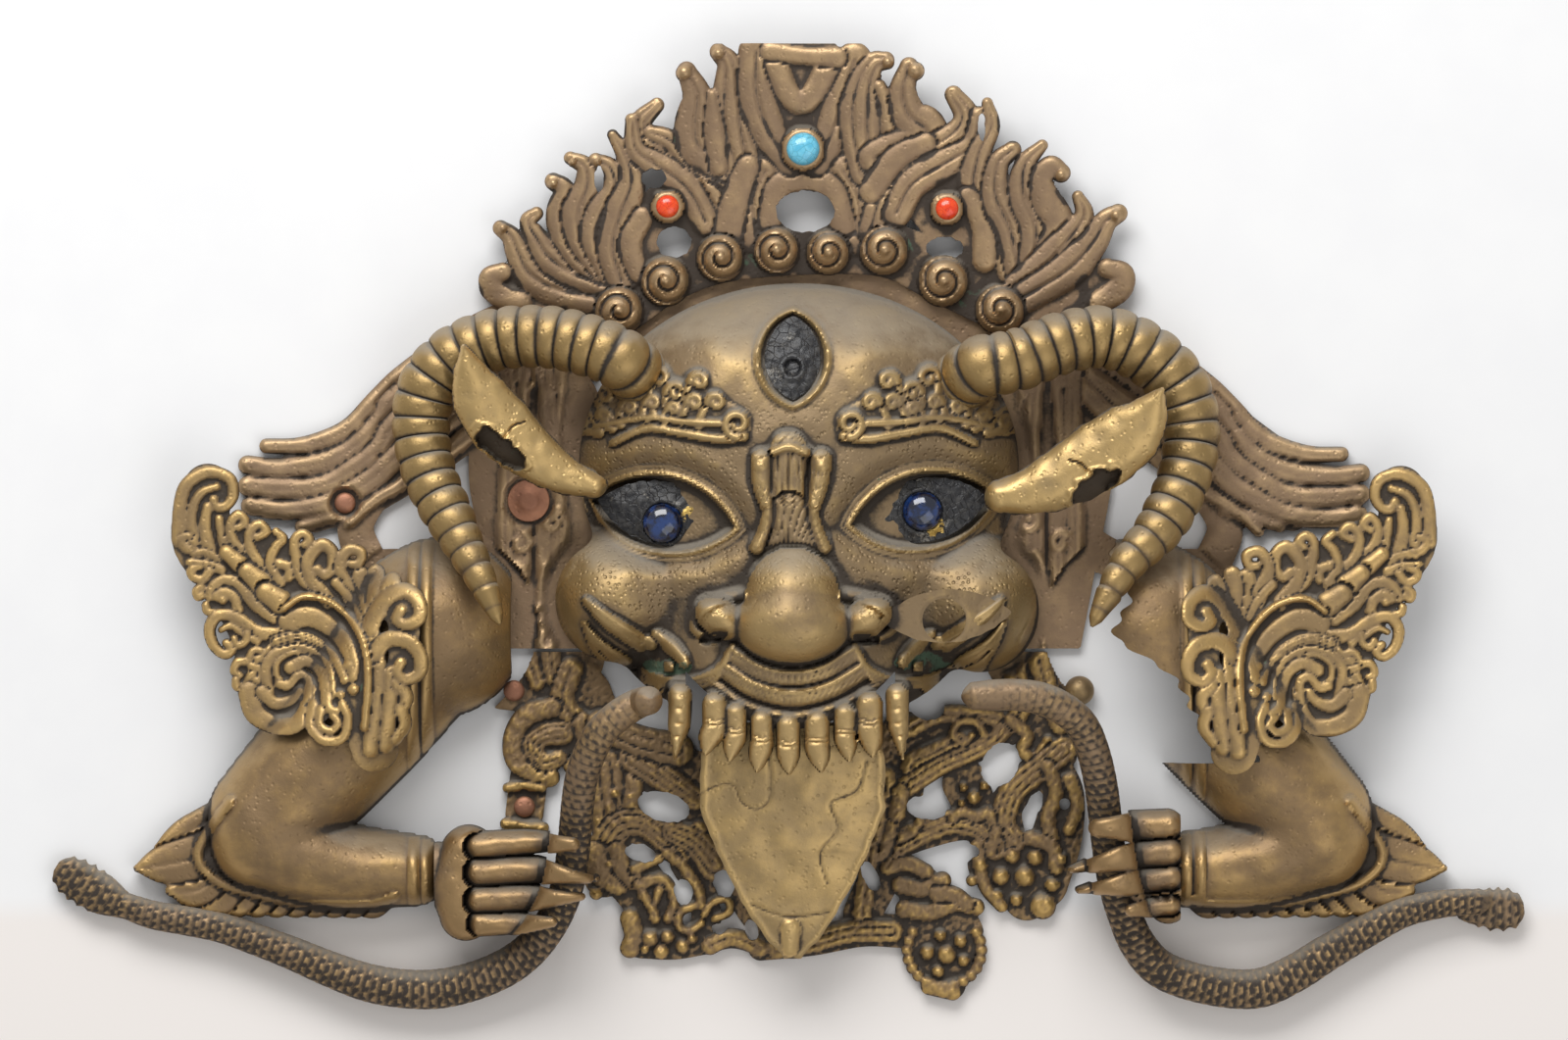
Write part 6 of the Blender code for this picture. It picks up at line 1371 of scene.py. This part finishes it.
def tube(name, places, radii, sides, finish, node, channels, flats=None):
    """A tube through places in millimetres, closed at both ends."""
    forward = np.gradient(places, axis=0)
    forward /= np.linalg.norm(forward, axis=1)[:, None]
    across = np.cross(forward, (0.0, 0.0, 1.0))
    across /= np.linalg.norm(across, axis=1)[:, None]
    rise = np.cross(across, forward)
    angle = 2.0 * math.pi * (np.arange(sides) + 0.5) / sides
    count = len(places)
    reach = radii if radii.ndim == 2 else np.repeat(radii[:, None], sides, 1)
    if flats is not None:
        rise = rise * flats[:, None]
    ring = (across[:, None] * np.cos(angle)[None, :, None] + rise[:, None] * np.sin(angle)[None, :, None])
    vertices = (places[:, None] + ring * reach[:, :, None]).reshape(-1, 3)
    vertices = np.concatenate([vertices, places[:1], places[-1:]])
    k, side = np.meshgrid(np.arange(count - 1), np.arange(sides), indexing="ij")
    a, b = (k * sides + side).ravel(), (k * sides + (side + 1) % sides).ravel()
    side = np.arange(sides)
    last = (count - 1) * sides
    faces = np.concatenate([
        np.stack([a, b, b + sides], 1), np.stack([a, b + sides, a + sides], 1),
        np.stack([side, np.full(sides, count * sides), (side + 1) % sides], 1),
        np.stack([last + side, last + (side + 1) % sides, np.full(sides, count * sides + 1)], 1)])
    edges = vertices[faces[:, 1]] - vertices[faces[:, 0]], vertices[faces[:, 2]] - vertices[faces[:, 0]]
    volume = np.einsum("ij,ij->i", vertices[faces[:, 0]], np.cross(*edges)).sum()
    if volume < 0.0:
        faces = faces[:, ::-1]
    layers = [np.concatenate([layer.ravel(), layer[:1].mean(axis=1), layer[-1:].mean(axis=1)])
              for layer in channels]
    upward = np.concatenate([(ring[:, :, 1] * 1.5 - 0.25).clip(0.0, 1.0).ravel(), [0.0, 0.0]])
    layers = [layers[0], layers[1], upward, np.zeros(len(upward))]
    piece = mesh_object(name, vertices, faces, finish, np.stack(layers, 1), 60.0)
    stands_for(piece, node)
    return piece


def sampled(route, count, shares=None):
    """Evenly spread places along a smooth route."""
    path = smooth_path(route, 12)
    lengths = np.concatenate([[0.0], np.cumsum(np.linalg.norm(np.diff(path[:, :3], axis=0), axis=1))])
    shares = np.linspace(0.0, 1.0, count) if shares is None else shares
    return np.stack([np.interp(shares * lengths[-1], lengths, path[:, k]) for k in range(path.shape[1])], 1)


class Tree:
    """A Geometry Nodes tree under construction, with named sizes."""

    def __init__(self, name, sizes):
        self.group = bpy.data.node_groups.new(name, "GeometryNodeTree")
        self.group.interface.new_socket("Geometry", in_out="INPUT", socket_type="NodeSocketGeometry")
        for label, value in sizes.items():
            socket = self.group.interface.new_socket(label, in_out="INPUT", socket_type="NodeSocketFloat")
            socket.default_value = value
        self.group.interface.new_socket("Geometry", in_out="OUTPUT", socket_type="NodeSocketGeometry")
        self.given = self.group.nodes.new("NodeGroupInput").outputs

    def node(self, kind, settings=None, sockets=None, out=0):
        """One node: its settings first, then the values or links of its sockets."""
        made = self.group.nodes.new(kind)
        for label, value in (settings or {}).items():
            setattr(made, label, value)
        for label, value in (sockets or {}).items():
            if isinstance(value, bpy.types.NodeSocket):
                self.group.links.new(value, made.inputs[label])
            else:
                made.inputs[label].default_value = value
        return made.outputs[out]

    def sum(self, operation, first, second=0.0):
        """One Math node."""
        return self.node("ShaderNodeMath", {"operation": operation}, {0: first, 1: second})

    def graph(self, value, places):
        """A straight-lined graph through (share, height) places."""
        made = self.group.nodes.new("ShaderNodeFloatCurve")
        line = made.mapping.curves[0]
        for share, height in places[1:-1]:
            line.points.new(share, height)
        for point, (share, height) in zip(line.points, places):
            point.location = (share, height)
            point.handle_type = "VECTOR"
        made.mapping.update()
        self.group.links.new(value, made.inputs["Value"])
        return made.outputs[0]

    def store(self, geometry, label, value):
        """A value kept on the geometry under a name."""
        return self.node("GeometryNodeStoreNamedAttribute", {"data_type": "FLOAT", "domain": "POINT"},
                         {"Geometry": geometry, "Name": label, "Value": value})

    def grown(self, geometry, finish, source, sizes, name):
        """The tree's result on a source object, as a plain mesh piece."""
        real = self.node("GeometryNodeRealizeInstances", None, {"Geometry": geometry})
        clad = self.node("GeometryNodeSetMaterial", None, {"Geometry": real, "Material": finish})
        if not any(node.bl_idname == "NodeGroupOutput" for node in self.group.nodes):
            self.group.links.new(clad, self.group.nodes.new("NodeGroupOutput").inputs[0])
        bpy.context.scene.collection.objects.link(source)
        grow = source.modifiers.new("grow", "NODES")
        grow.node_group = self.group
        for item in self.group.interface.items_tree:
            if item.in_out == "INPUT" and item.name in sizes:
                grow[item.identifier] = sizes[item.name]
        seen = source.evaluated_get(bpy.context.evaluated_depsgraph_get())
        mesh = bpy.data.meshes.new_from_object(seen)
        source.modifiers.remove(grow)
        bpy.data.objects.remove(source)
        mesh.name = name
        mesh.shade_smooth()
        mesh.set_sharp_from_angle(angle=math.radians(60.0))
        piece = bpy.data.objects.new(name, mesh)
        bpy.context.scene.collection.objects.link(piece)
        return piece


def make_horn(side, route, rings):
    """One horn: a tree that sweeps a round tube along its path, with rings that fade towards the tip."""
    horn = Tree(f"ringed_horn_{side}", {"Root radius": 0.015, "Rings": 24.0, "Ring depth": 0.0024})
    share = horn.node("GeometryNodeSplineParameter")
    taper = horn.graph(share, ((0.0, 1.0), (0.45, 1.0), (0.75, 0.82), (0.93, 0.44), (0.985, 0.22),
                               (1.0, 0.05)))
    fading = horn.graph(share, ((0.0, 1.0), (0.7, 0.9), (0.93, 0.5), (0.932, 0.0), (1.0, 0.0)))
    turns = horn.sum("MULTIPLY", horn.sum("POWER", share, 0.92),
                     horn.sum("DIVIDE", horn.given["Rings"], 0.93))
    phase = horn.sum("MULTIPLY", horn.sum("FRACT", turns), math.pi)
    wave = horn.sum("POWER", horn.sum("MAXIMUM", horn.sum("SINE", phase), 0.0), 0.38)
    sunk = horn.sum("MULTIPLY", horn.sum("SUBTRACT", 1.0, wave), fading)
    radius = horn.sum("SUBTRACT", horn.sum("MULTIPLY", horn.given["Root radius"], taper),
                      horn.sum("MULTIPLY", sunk, horn.given["Ring depth"]))
    path = horn.store(horn.given["Geometry"], "ridge",
                      horn.sum("SUBTRACT", horn.sum("MULTIPLY", wave, 0.9), 0.1))
    # cavity: darkening in the grooves between the rings, grime together with painted shade.
    path = horn.store(path, "cavity",
                      horn.sum("MAXIMUM", horn.sum("SUBTRACT", horn.sum("MULTIPLY", sunk, 1.1), 0.2), 0.0))
    path = horn.node("GeometryNodeSetCurveRadius", None, {"Curve": path, "Radius": radius})
    section = horn.node("GeometryNodeCurvePrimitiveCircle", None, {"Resolution": 32, "Radius": 1.0})
    swept = horn.group.nodes.new("GeometryNodeCurveToMesh")
    horn.group.links.new(path, swept.inputs["Curve"])
    horn.group.links.new(section, swept.inputs["Profile Curve"])
    swept.inputs["Fill Caps"].default_value = True
    if "Scale" in swept.inputs:
        horn.group.links.new(horn.node("GeometryNodeInputRadius"), swept.inputs["Scale"])
    facing = horn.node("ShaderNodeSeparateXYZ", None, {0: horn.node("GeometryNodeInputNormal")}, 1)
    upward = horn.sum("MAXIMUM", horn.sum("SUBTRACT", horn.sum("MULTIPLY", facing, 1.5), 0.25), 0.0)
    shell = horn.store(swept.outputs[0], "dust", horn.sum("MINIMUM", upward, 1.0))
    line = bpy.data.curves.new(f"horn_{side}_path", "CURVE")
    line.dimensions = "3D"
    places = sampled(route, 24 * rings) * MM
    spline = line.splines.new("POLY")
    spline.points.add(len(places) - 1)
    spline.points.foreach_set("co", np.concatenate([places, np.ones((len(places), 1))], 1).ravel())
    piece = horn.grown(shell, HORN_BRASS, bpy.data.objects.new(f"horn_{side}_path", line),
                       {"Root radius": 15.0 * MM, "Rings": float(rings), "Ring depth": 2.4 * MM},
                       f"horn_{side}_tube")
    stands_for(piece, f"horn_{side}")


make_horn("left", [(-69, 71, 26), (-79, 80, 39), (-92, 86, 38), (-114, 91, 34), (-138, 90, 30),
                   (-158, 82, 28), (-171, 67, 27),
                   (-174, 47, 27), (-169, 24, 32), (-157, 0, 41), (-145, -23, 51), (-136, -44, 56)], 24)
make_horn("right", [(79, 69, 26), (90, 77, 39), (106, 80, 38), (127, 88, 34), (148, 91, 30), (168, 83, 28),
                    (183, 68, 27),
                    (189, 47, 27), (185, 24, 32), (174, 2, 40), (158, -16, 49), (148, -32, 54),
                    (141, -45, 57)], 24)

# Ears: cupped brass leaves that stand out in front of the horns.
# Both are torn right through near the tip, and the metal round each tear is bent and polished.


def make_ear(name, route, widths, hole, hole_radii, turn):
    """One rolled, torn ear whose split is a sunk hollow, painted dark as shade."""
    xs, ys = [point[0] for point in route], [point[1] for point in route]
    ear = Sheet((min(xs) - 26, min(ys) - 26, max(xs) + 26, max(ys) + 26), 0.8)
    distance, along = distance_along(ear.x, ear.y, smooth_path(route))
    radius = np.interp(along, (0.0, 0.25, 0.55, 0.75, 0.9, 1.0), widths)
    ear.metal = radius - distance + 0.5 * grain(ear.x, ear.y, 11.0, 19)
    level = np.interp(along, (0.0, 0.5, 1.0), (40.0, 46.0, 54.0))
    rolled = level + 9.0 * np.sqrt(np.clip(1.0 - (distance / radius) ** 2, 0.0, 1.0))
    torn = ellipse(ear.x, ear.y, hole, hole_radii, turn) + 1.0 * grain(ear.x, ear.y, 8.0, 14)
    pocket = ease(0.5 + torn / 1.2)
    lip = 1.3 * np.exp(-((torn + 1.4) / 1.3) ** 2)
    split = Sheet.like(ear)
    split.stroke([(hole[0] * 0.985, hole[1] + 6.0), (hole[0] * 0.955, hole[1] + 11.0),
                  (hole[0] * 0.915, hole[1] + 13.0)],
                 0.8, 0.5, 1.0, metal=False)
    top = rolled + lip - 9.0 * pocket - 1.4 * split.carving + 0.35 * grain(ear.x, ear.y, 16.0, 17)
    low = np.minimum(level - 1.5, top - 1.6)
    # The tear is not cut through: its sunk hollow is darkened with painted shade, given as extra cavity.
    raise_sheet(name, ear, top, low, RUBBED_BRASS, None, 1.0, pocket * 1.2)


make_ear("ear_left", [(-92, 21), (-108, 27), (-125, 39), (-139, 53), (-148, 68), (-153, 86)],
         (6.0, 11.0, 15.5, 13.5, 7.5, 1.5), (-136, 38), (14.0, 5.4), -38.0)
make_ear("ear_right", [(99, 16), (115, 19), (132, 27), (150, 38), (165, 51), (174, 66)],
         (8.0, 13.5, 17.0, 15.0, 8.5, 1.5), (143, 20), (13.0, 5.6), 36.0)

# Snakes: cast bronze rods that run from the jaw through the fists to finned tails.
# Their backs are chased with overlapping scales, worn smooth near the jaw.

SNAKE_BRONZE = aged_metal("snake_bronze", (0.50, 0.33, 0.15), (0.27, 0.182, 0.106), (0.042, 0.031, 0.024),
                          wear=0.46, grime_and_shade_strength=0.6, dusty=0.5, green=0.25, rough=0.38)
snake_paths = {}


def make_snake(side, route, fan):
    """One snake with its scales and its tail fin."""
    face_grid = np.stack([face_sheet.x.ravel(), face_sheet.y.ravel()], 1)
    stations = smooth_path([point[:3] for point in route], 2)
    for place in stations:
        near = np.hypot(face_grid[:, 0] - place[0], face_grid[:, 1] - place[1]) < 9.0
        hidden = near & (face_sheet.metal.ravel() > -2.0)
        if hidden.any():
            place[2] = max(place[2], merged.ravel()[hidden].max() + 8.8)
    width = np.interp(np.linspace(0, 1, len(stations)), np.linspace(0, 1, len(route)),
                      [point[3] for point in route])
    stations = np.concatenate([stations, 8.0 * width[:, None]], 1)
    snake_paths[side] = stations.copy()
    heading, level = (-1.0, stations[-1][2]) if side == "left" else (1.0, stations[-1][2])
    fins = [(heading * x, y, level - 0.5, size) for x, y, size in fan]
    stations = stations[:-1]
    places = sampled(np.concatenate([stations, fins]), 520)
    sides = 28
    angle = 2.0 * math.pi * (np.arange(sides) + 0.5) / sides
    run = np.linspace(0.0, 1.0, len(places)) * 560.0
    row = run[:, None] / 5.4
    around = angle[None] / (2.0 * math.pi) * 10.0
    shift = 0.5 * (np.floor(row) % 2)
    tail = row % 1.0
    beside = np.abs(((around + shift) % 1.0) - 0.5) * 2.0
    scale = ease((1.15 - tail - 0.65 * beside ** 2) / 0.35) * (0.35 + 0.65 * tail)
    fade = np.interp(run, (0.0, 70.0, 150.0, 520.0), (0.15, 0.5, 1.0, 0.9))[:, None]
    radii = places[:, 3:4] * (0.968 + 0.032 * scale * fade)
    crest = scale * fade * 0.6
    # groove becomes the cavity channel: darkening between the scales, grime together with painted shade.
    groove = (1.0 - scale) * fade * 0.65
    lobes = (np.interp(run, (524.0, 534.0), (0.0, 1.0))[:, None]
             * np.abs(np.sin(run[:, None] * 0.42 + angle[None] * 0.5)))
    radii = radii * (1.0 - 0.16 * lobes) * np.sqrt(np.clip(run / 7.0, 0.02, 1.0))[:, None]
    flats = np.interp(run, (0.0, 500.0, 536.0, 560.0), (1.0, 1.0, 0.38, 0.32))
    tube(f"snake_{side}_rod", places[:, :3], radii, sides, SNAKE_BRONZE, f"snake_{side}", [crest, groove],
         flats)


make_snake("left", [(-65, -79, 60, 0.86), (-75, -83, 58, 0.95), (-89, -95, 55, 1), (-98, -116, 46, 1),
                    (-101, -139, 36, 1), (-105, -167, 27, 1), (-116, -190, 20, 1.05), (-135, -207, 14, 1.15),
                    (-166, -216.9, 10.5, 1.2), (-200, -214, 10.5, 1.15), (-236, -200, 10.5, 1.0),
                    (-270, -188, 9.5, 0.9), (-302, -182, 8, 0.86), (-324, -174, 6.6, 0.72)],
           ((316, -177.5, 6.6), (324, -173.5, 9.4), (332, -169.0, 11.2), (340, -164.0, 10.6),
            (345.5, -160.5, 7.6),
            (347.6, -159.2, 3.0)))
make_snake("right", [(80, -78, 60, 0.8), (97, -77, 58, 0.95), (118, -79, 56, 1), (137, -92, 50, 1),
                     (146, -120, 40, 1), (150, -150, 30, 1), (158, -182, 20, 1.05), (176, -208, 14, 1.15),
                     (220, -216.9, 10.5, 1.2), (254, -200, 10.5, 1.1), (290, -181, 10, 0.9),
                     (320, -176, 8, 0.8), (333, -178, 6.6, 0.72)],
           ((318, -177.0, 6.6), (325, -178.4, 9.2), (333, -179.4, 11.0), (341, -179.4, 10.4),
            (345.5, -179.0, 7.4),
            (347.4, -178.8, 3.0)))

# Hands: cast brass fists with long straight fingers that close over the snakes.


def make_hand(name, side, wrist, back, fingers, snake_path):
    """One fist: its back, four fingers side by side, and a groove for the snake that it holds."""
    xs = [-wrist, -86.0] if side < 0 else [126.0, wrist]
    hand = Sheet((min(xs) - 4, -198.0, max(xs) + 4, -126.0), 0.8)
    hand.stroke(back[0], *back[1])
    hand.stroke([(side * (wrist + 2.0), -162.0), (side * (wrist - 12.0), -163.0)], 15.0, 15.5, 9.0)
    for points, start, middle, end in fingers:
        hand.stroke(points, start, end, 11.0, middle=middle, edge=0.42, over=True)
    hand.metal = np.minimum(hand.metal, wrist - 0.3 - side * hand.x)
    distance, along = distance_along(hand.x, hand.y, snake_path)
    reach = snake_path[:, 3].max() + 1.4
    groove = np.interp(along, np.linspace(0.0, 1.0, len(snake_path)), snake_path[:, 2])
    groove = groove + reach * np.sqrt(np.clip(1.0 - (distance / (reach + 0.6)) ** 2, 0.0, 1.0))
    low = np.where(distance < reach + 0.6, np.maximum(groove, 14.0), 14.0)
    carving = hand.carving + 0.25 * grain(hand.x, hand.y, 14.0, 41)
    top = np.maximum(27.0 + carving, low + 3.4 + carving * 0.45)
    raise_sheet(name, hand, top, low, HAND_BRONZE)


HAND_BRONZE = aged_metal("hand_bronze", (0.38, 0.245, 0.115), (0.20, 0.135, 0.080), (0.040, 0.030, 0.022),
                         wear=0.46, grime_and_shade_strength=0.45, dusty=0.4, green=0.2, rough=0.38)
make_hand("hand_left", -1.0, LEFT_WRIST,
          ([(-152, -152), (-155, -166), (-153, -181)],
           (13.0, 12.5, 15.0, 15.5)),
          (([(-146, -185), (-127, -185), (-112, -184)], 6.6, 5.4, 2.6),
           ([(-147, -174), (-122, -173), (-98, -172)], 7.2, 6.4, 1.8),
           ([(-147, -149), (-124, -147), (-102, -147)], 7.0, 6.0, 3.4),
           ([(-147, -161), (-120, -160), (-91.5, -164)], 7.4, 6.6, 1.6)), snake_paths["left"])
make_hand("hand_right", 1.0, RIGHT_WRIST,
          ([(178, -142), (180, -160), (178, -176)],
           (10.0, 9.5, 15.0, 11.5)),
          (([(179, -176.5), (169, -177.5), (160, -178.6)], 5.8, 5.0, 3.0),
           ([(179, -163.5), (158, -166), (136, -169.6)], 7.0, 6.0, 1.6),
           ([(178, -139), (160, -139.3), (144, -139.4)], 7.6, 7.2, 4.4),
           ([(179, -151.5), (156, -154), (132, -160)], 7.2, 6.4, 1.6)), snake_paths["right"])

# Copper: the rivets that hold tabs and streamers and a soldered patch; the big ball rivet has a brass head.

COPPER = aged_metal("copper", (0.62, 0.30, 0.17), (0.36, 0.17, 0.105), (0.09, 0.05, 0.035),
                    wear=0.6, grime_and_shade_strength=0.3, dusty=0.35, green=0.15, rough=0.42)
HEAD_DIAMETER = 10.0
HEAD_HEIGHT = 2.4
rivets = Tree("rivet_heads", {"Head diameter": 0.010, "Head height": 0.0024})
ball_head = rivets.node("GeometryNodeMeshUVSphere", None, {"Segments": 28, "Rings": 14, "Radius": 1.0})
place = rivets.node("GeometryNodeInputPosition")
parts = rivets.node("ShaderNodeSeparateXYZ", None, {0: place}).node
domed = rivets.sum("MULTIPLY", rivets.sum("POWER", rivets.sum("MAXIMUM", parts.outputs[2], 0.0), 0.8),
                   rivets.given["Head height"])
half = rivets.sum("MULTIPLY", rivets.given["Head diameter"], 0.5)
shaped = rivets.node("ShaderNodeCombineXYZ", None,
                     {0: rivets.sum("MULTIPLY", parts.outputs[0], half),
                      1: rivets.sum("MULTIPLY", parts.outputs[1], half), 2: domed})
head = rivets.node("GeometryNodeSetPosition", None, {"Geometry": ball_head, "Position": shaped})
spread = rivets.node("GeometryNodeInstanceOnPoints", None,
                     {"Points": rivets.given["Geometry"], "Instance": head})
seats = bpy.data.meshes.new("rivet_seats")
seats.from_pydata([(x * MM, y * MM, (level + 0.3) * MM) for (x, y), level in (
    (ARM_TAB_RIVET, CAST), (FOLIAGE_RIVET, CAST), (STREAMER_RIVET, PLATE))], [], [])
heads = rivets.grown(spread, COPPER, bpy.data.objects.new("rivet_seats", seats),
                     {"Head diameter": HEAD_DIAMETER * MM, "Head height": HEAD_HEIGHT * MM}, "rivet_heads")
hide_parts("rivet_arm_tab_left", "rivet_foliage_left", "rivet_streamer_left")
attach(heads, "root")
dome_head = [(7.0 * math.cos(math.radians(angle)),
              7.0 * math.sin(math.radians(angle))) for angle in range(0, 86, 6)]
turned("rivet_ball_right_head", (*BALL_RIVET, CAST + 0.3), dome_head, 40, BRASS, "rivet_ball_right")
turned("copper_patch_left_disc", (*PATCH, PLATE + 0.3),
       [(9.6, 0.0), (10.0, 0.5), (9.7, 1.1), (5.4, 1.3), (4.6, 2.1), (3.0, 2.4), (0.6, 2.4)], 40, COPPER,
       "copper_patch_left")

# Studio: a pale sweep under the mask, one large soft light above its crown and a weaker one below.


def area_light(name, place, target, size, power, colour=(1.0, 1.0, 1.0)):
    """A soft rectangular light that faces a target."""
    lamp = bpy.data.lights.new(name, "AREA")
    lamp.shape = "RECTANGLE"
    lamp.size, lamp.size_y = size
    lamp.energy = power
    lamp.color = colour
    item = bpy.data.objects.new(name, lamp)
    item.location = place
    item.rotation_euler = (Vector(target) - Vector(place)).to_track_quat("-Z", "Y").to_euler()
    bpy.context.scene.collection.objects.link(item)


floor_finish = Finish("pale_floor")
apart = floor_finish.tree.nodes.new("ShaderNodeSeparateXYZ")
floor_finish.tree.links.new(floor_finish.coordinates, apart.inputs["Vector"])
nearer = (Signal(floor_finish.tree, apart.outputs["Y"]) * -1.0).step(0.172, 0.188)
clouds = floor_finish.mix(floor_finish.noise(0.05, 3.0).step(0.3, 0.7), (0.86, 0.86, 0.865),
                          (0.88, 0.88, 0.88))
floor_finish.feed("Base Color", floor_finish.mix(nearer, clouds, (0.865, 0.82, 0.785)))
floor_finish.feed("Roughness", 0.9)
floor_mesh = bpy.data.meshes.new("floor")
floor_mesh.from_pydata([(x, y, -0.001) for x in (-3.0, 3.0) for y in (-3.0, 3.0)], [], [(0, 2, 3, 1)])
floor_mesh.materials.append(floor_finish.material)
floor = bpy.data.objects.new("floor", floor_mesh)
bpy.context.scene.collection.objects.link(floor)
area_light("key", (-0.35, 1.45, 1.4), (0, 0, 0), (1.6, 1.0), 34.0)
area_light("fill", (0.8, -1.0, 1.9), (0, 0, 0), (1.9, 1.5), 9.0)
world = bpy.data.worlds.new("studio")
world.use_nodes = True
world.node_tree.nodes["Background"].inputs["Color"].default_value = (1.0, 1.0, 1.0, 1.0)
world.node_tree.nodes["Background"].inputs["Strength"].default_value = 0.46
bpy.context.scene.world = world
bpy.context.scene.view_settings.view_transform = "Standard"

# Camera: straight above, far away, so that the mask is seen as in the photograph.

DISTANCE = 4.6
FRAME_WIDTH = 0.7435
FRAME_CENTRE = (-0.0030, 0.0049)
SENSOR_WIDTH = 36.0
lens = bpy.data.cameras.new("camera")
lens.lens = SENSOR_WIDTH * DISTANCE / FRAME_WIDTH
eye = bpy.data.objects.new("camera", lens)
eye.location = (*FRAME_CENTRE, DISTANCE)
bpy.context.scene.collection.objects.link(eye)
bpy.context.scene.camera = eye
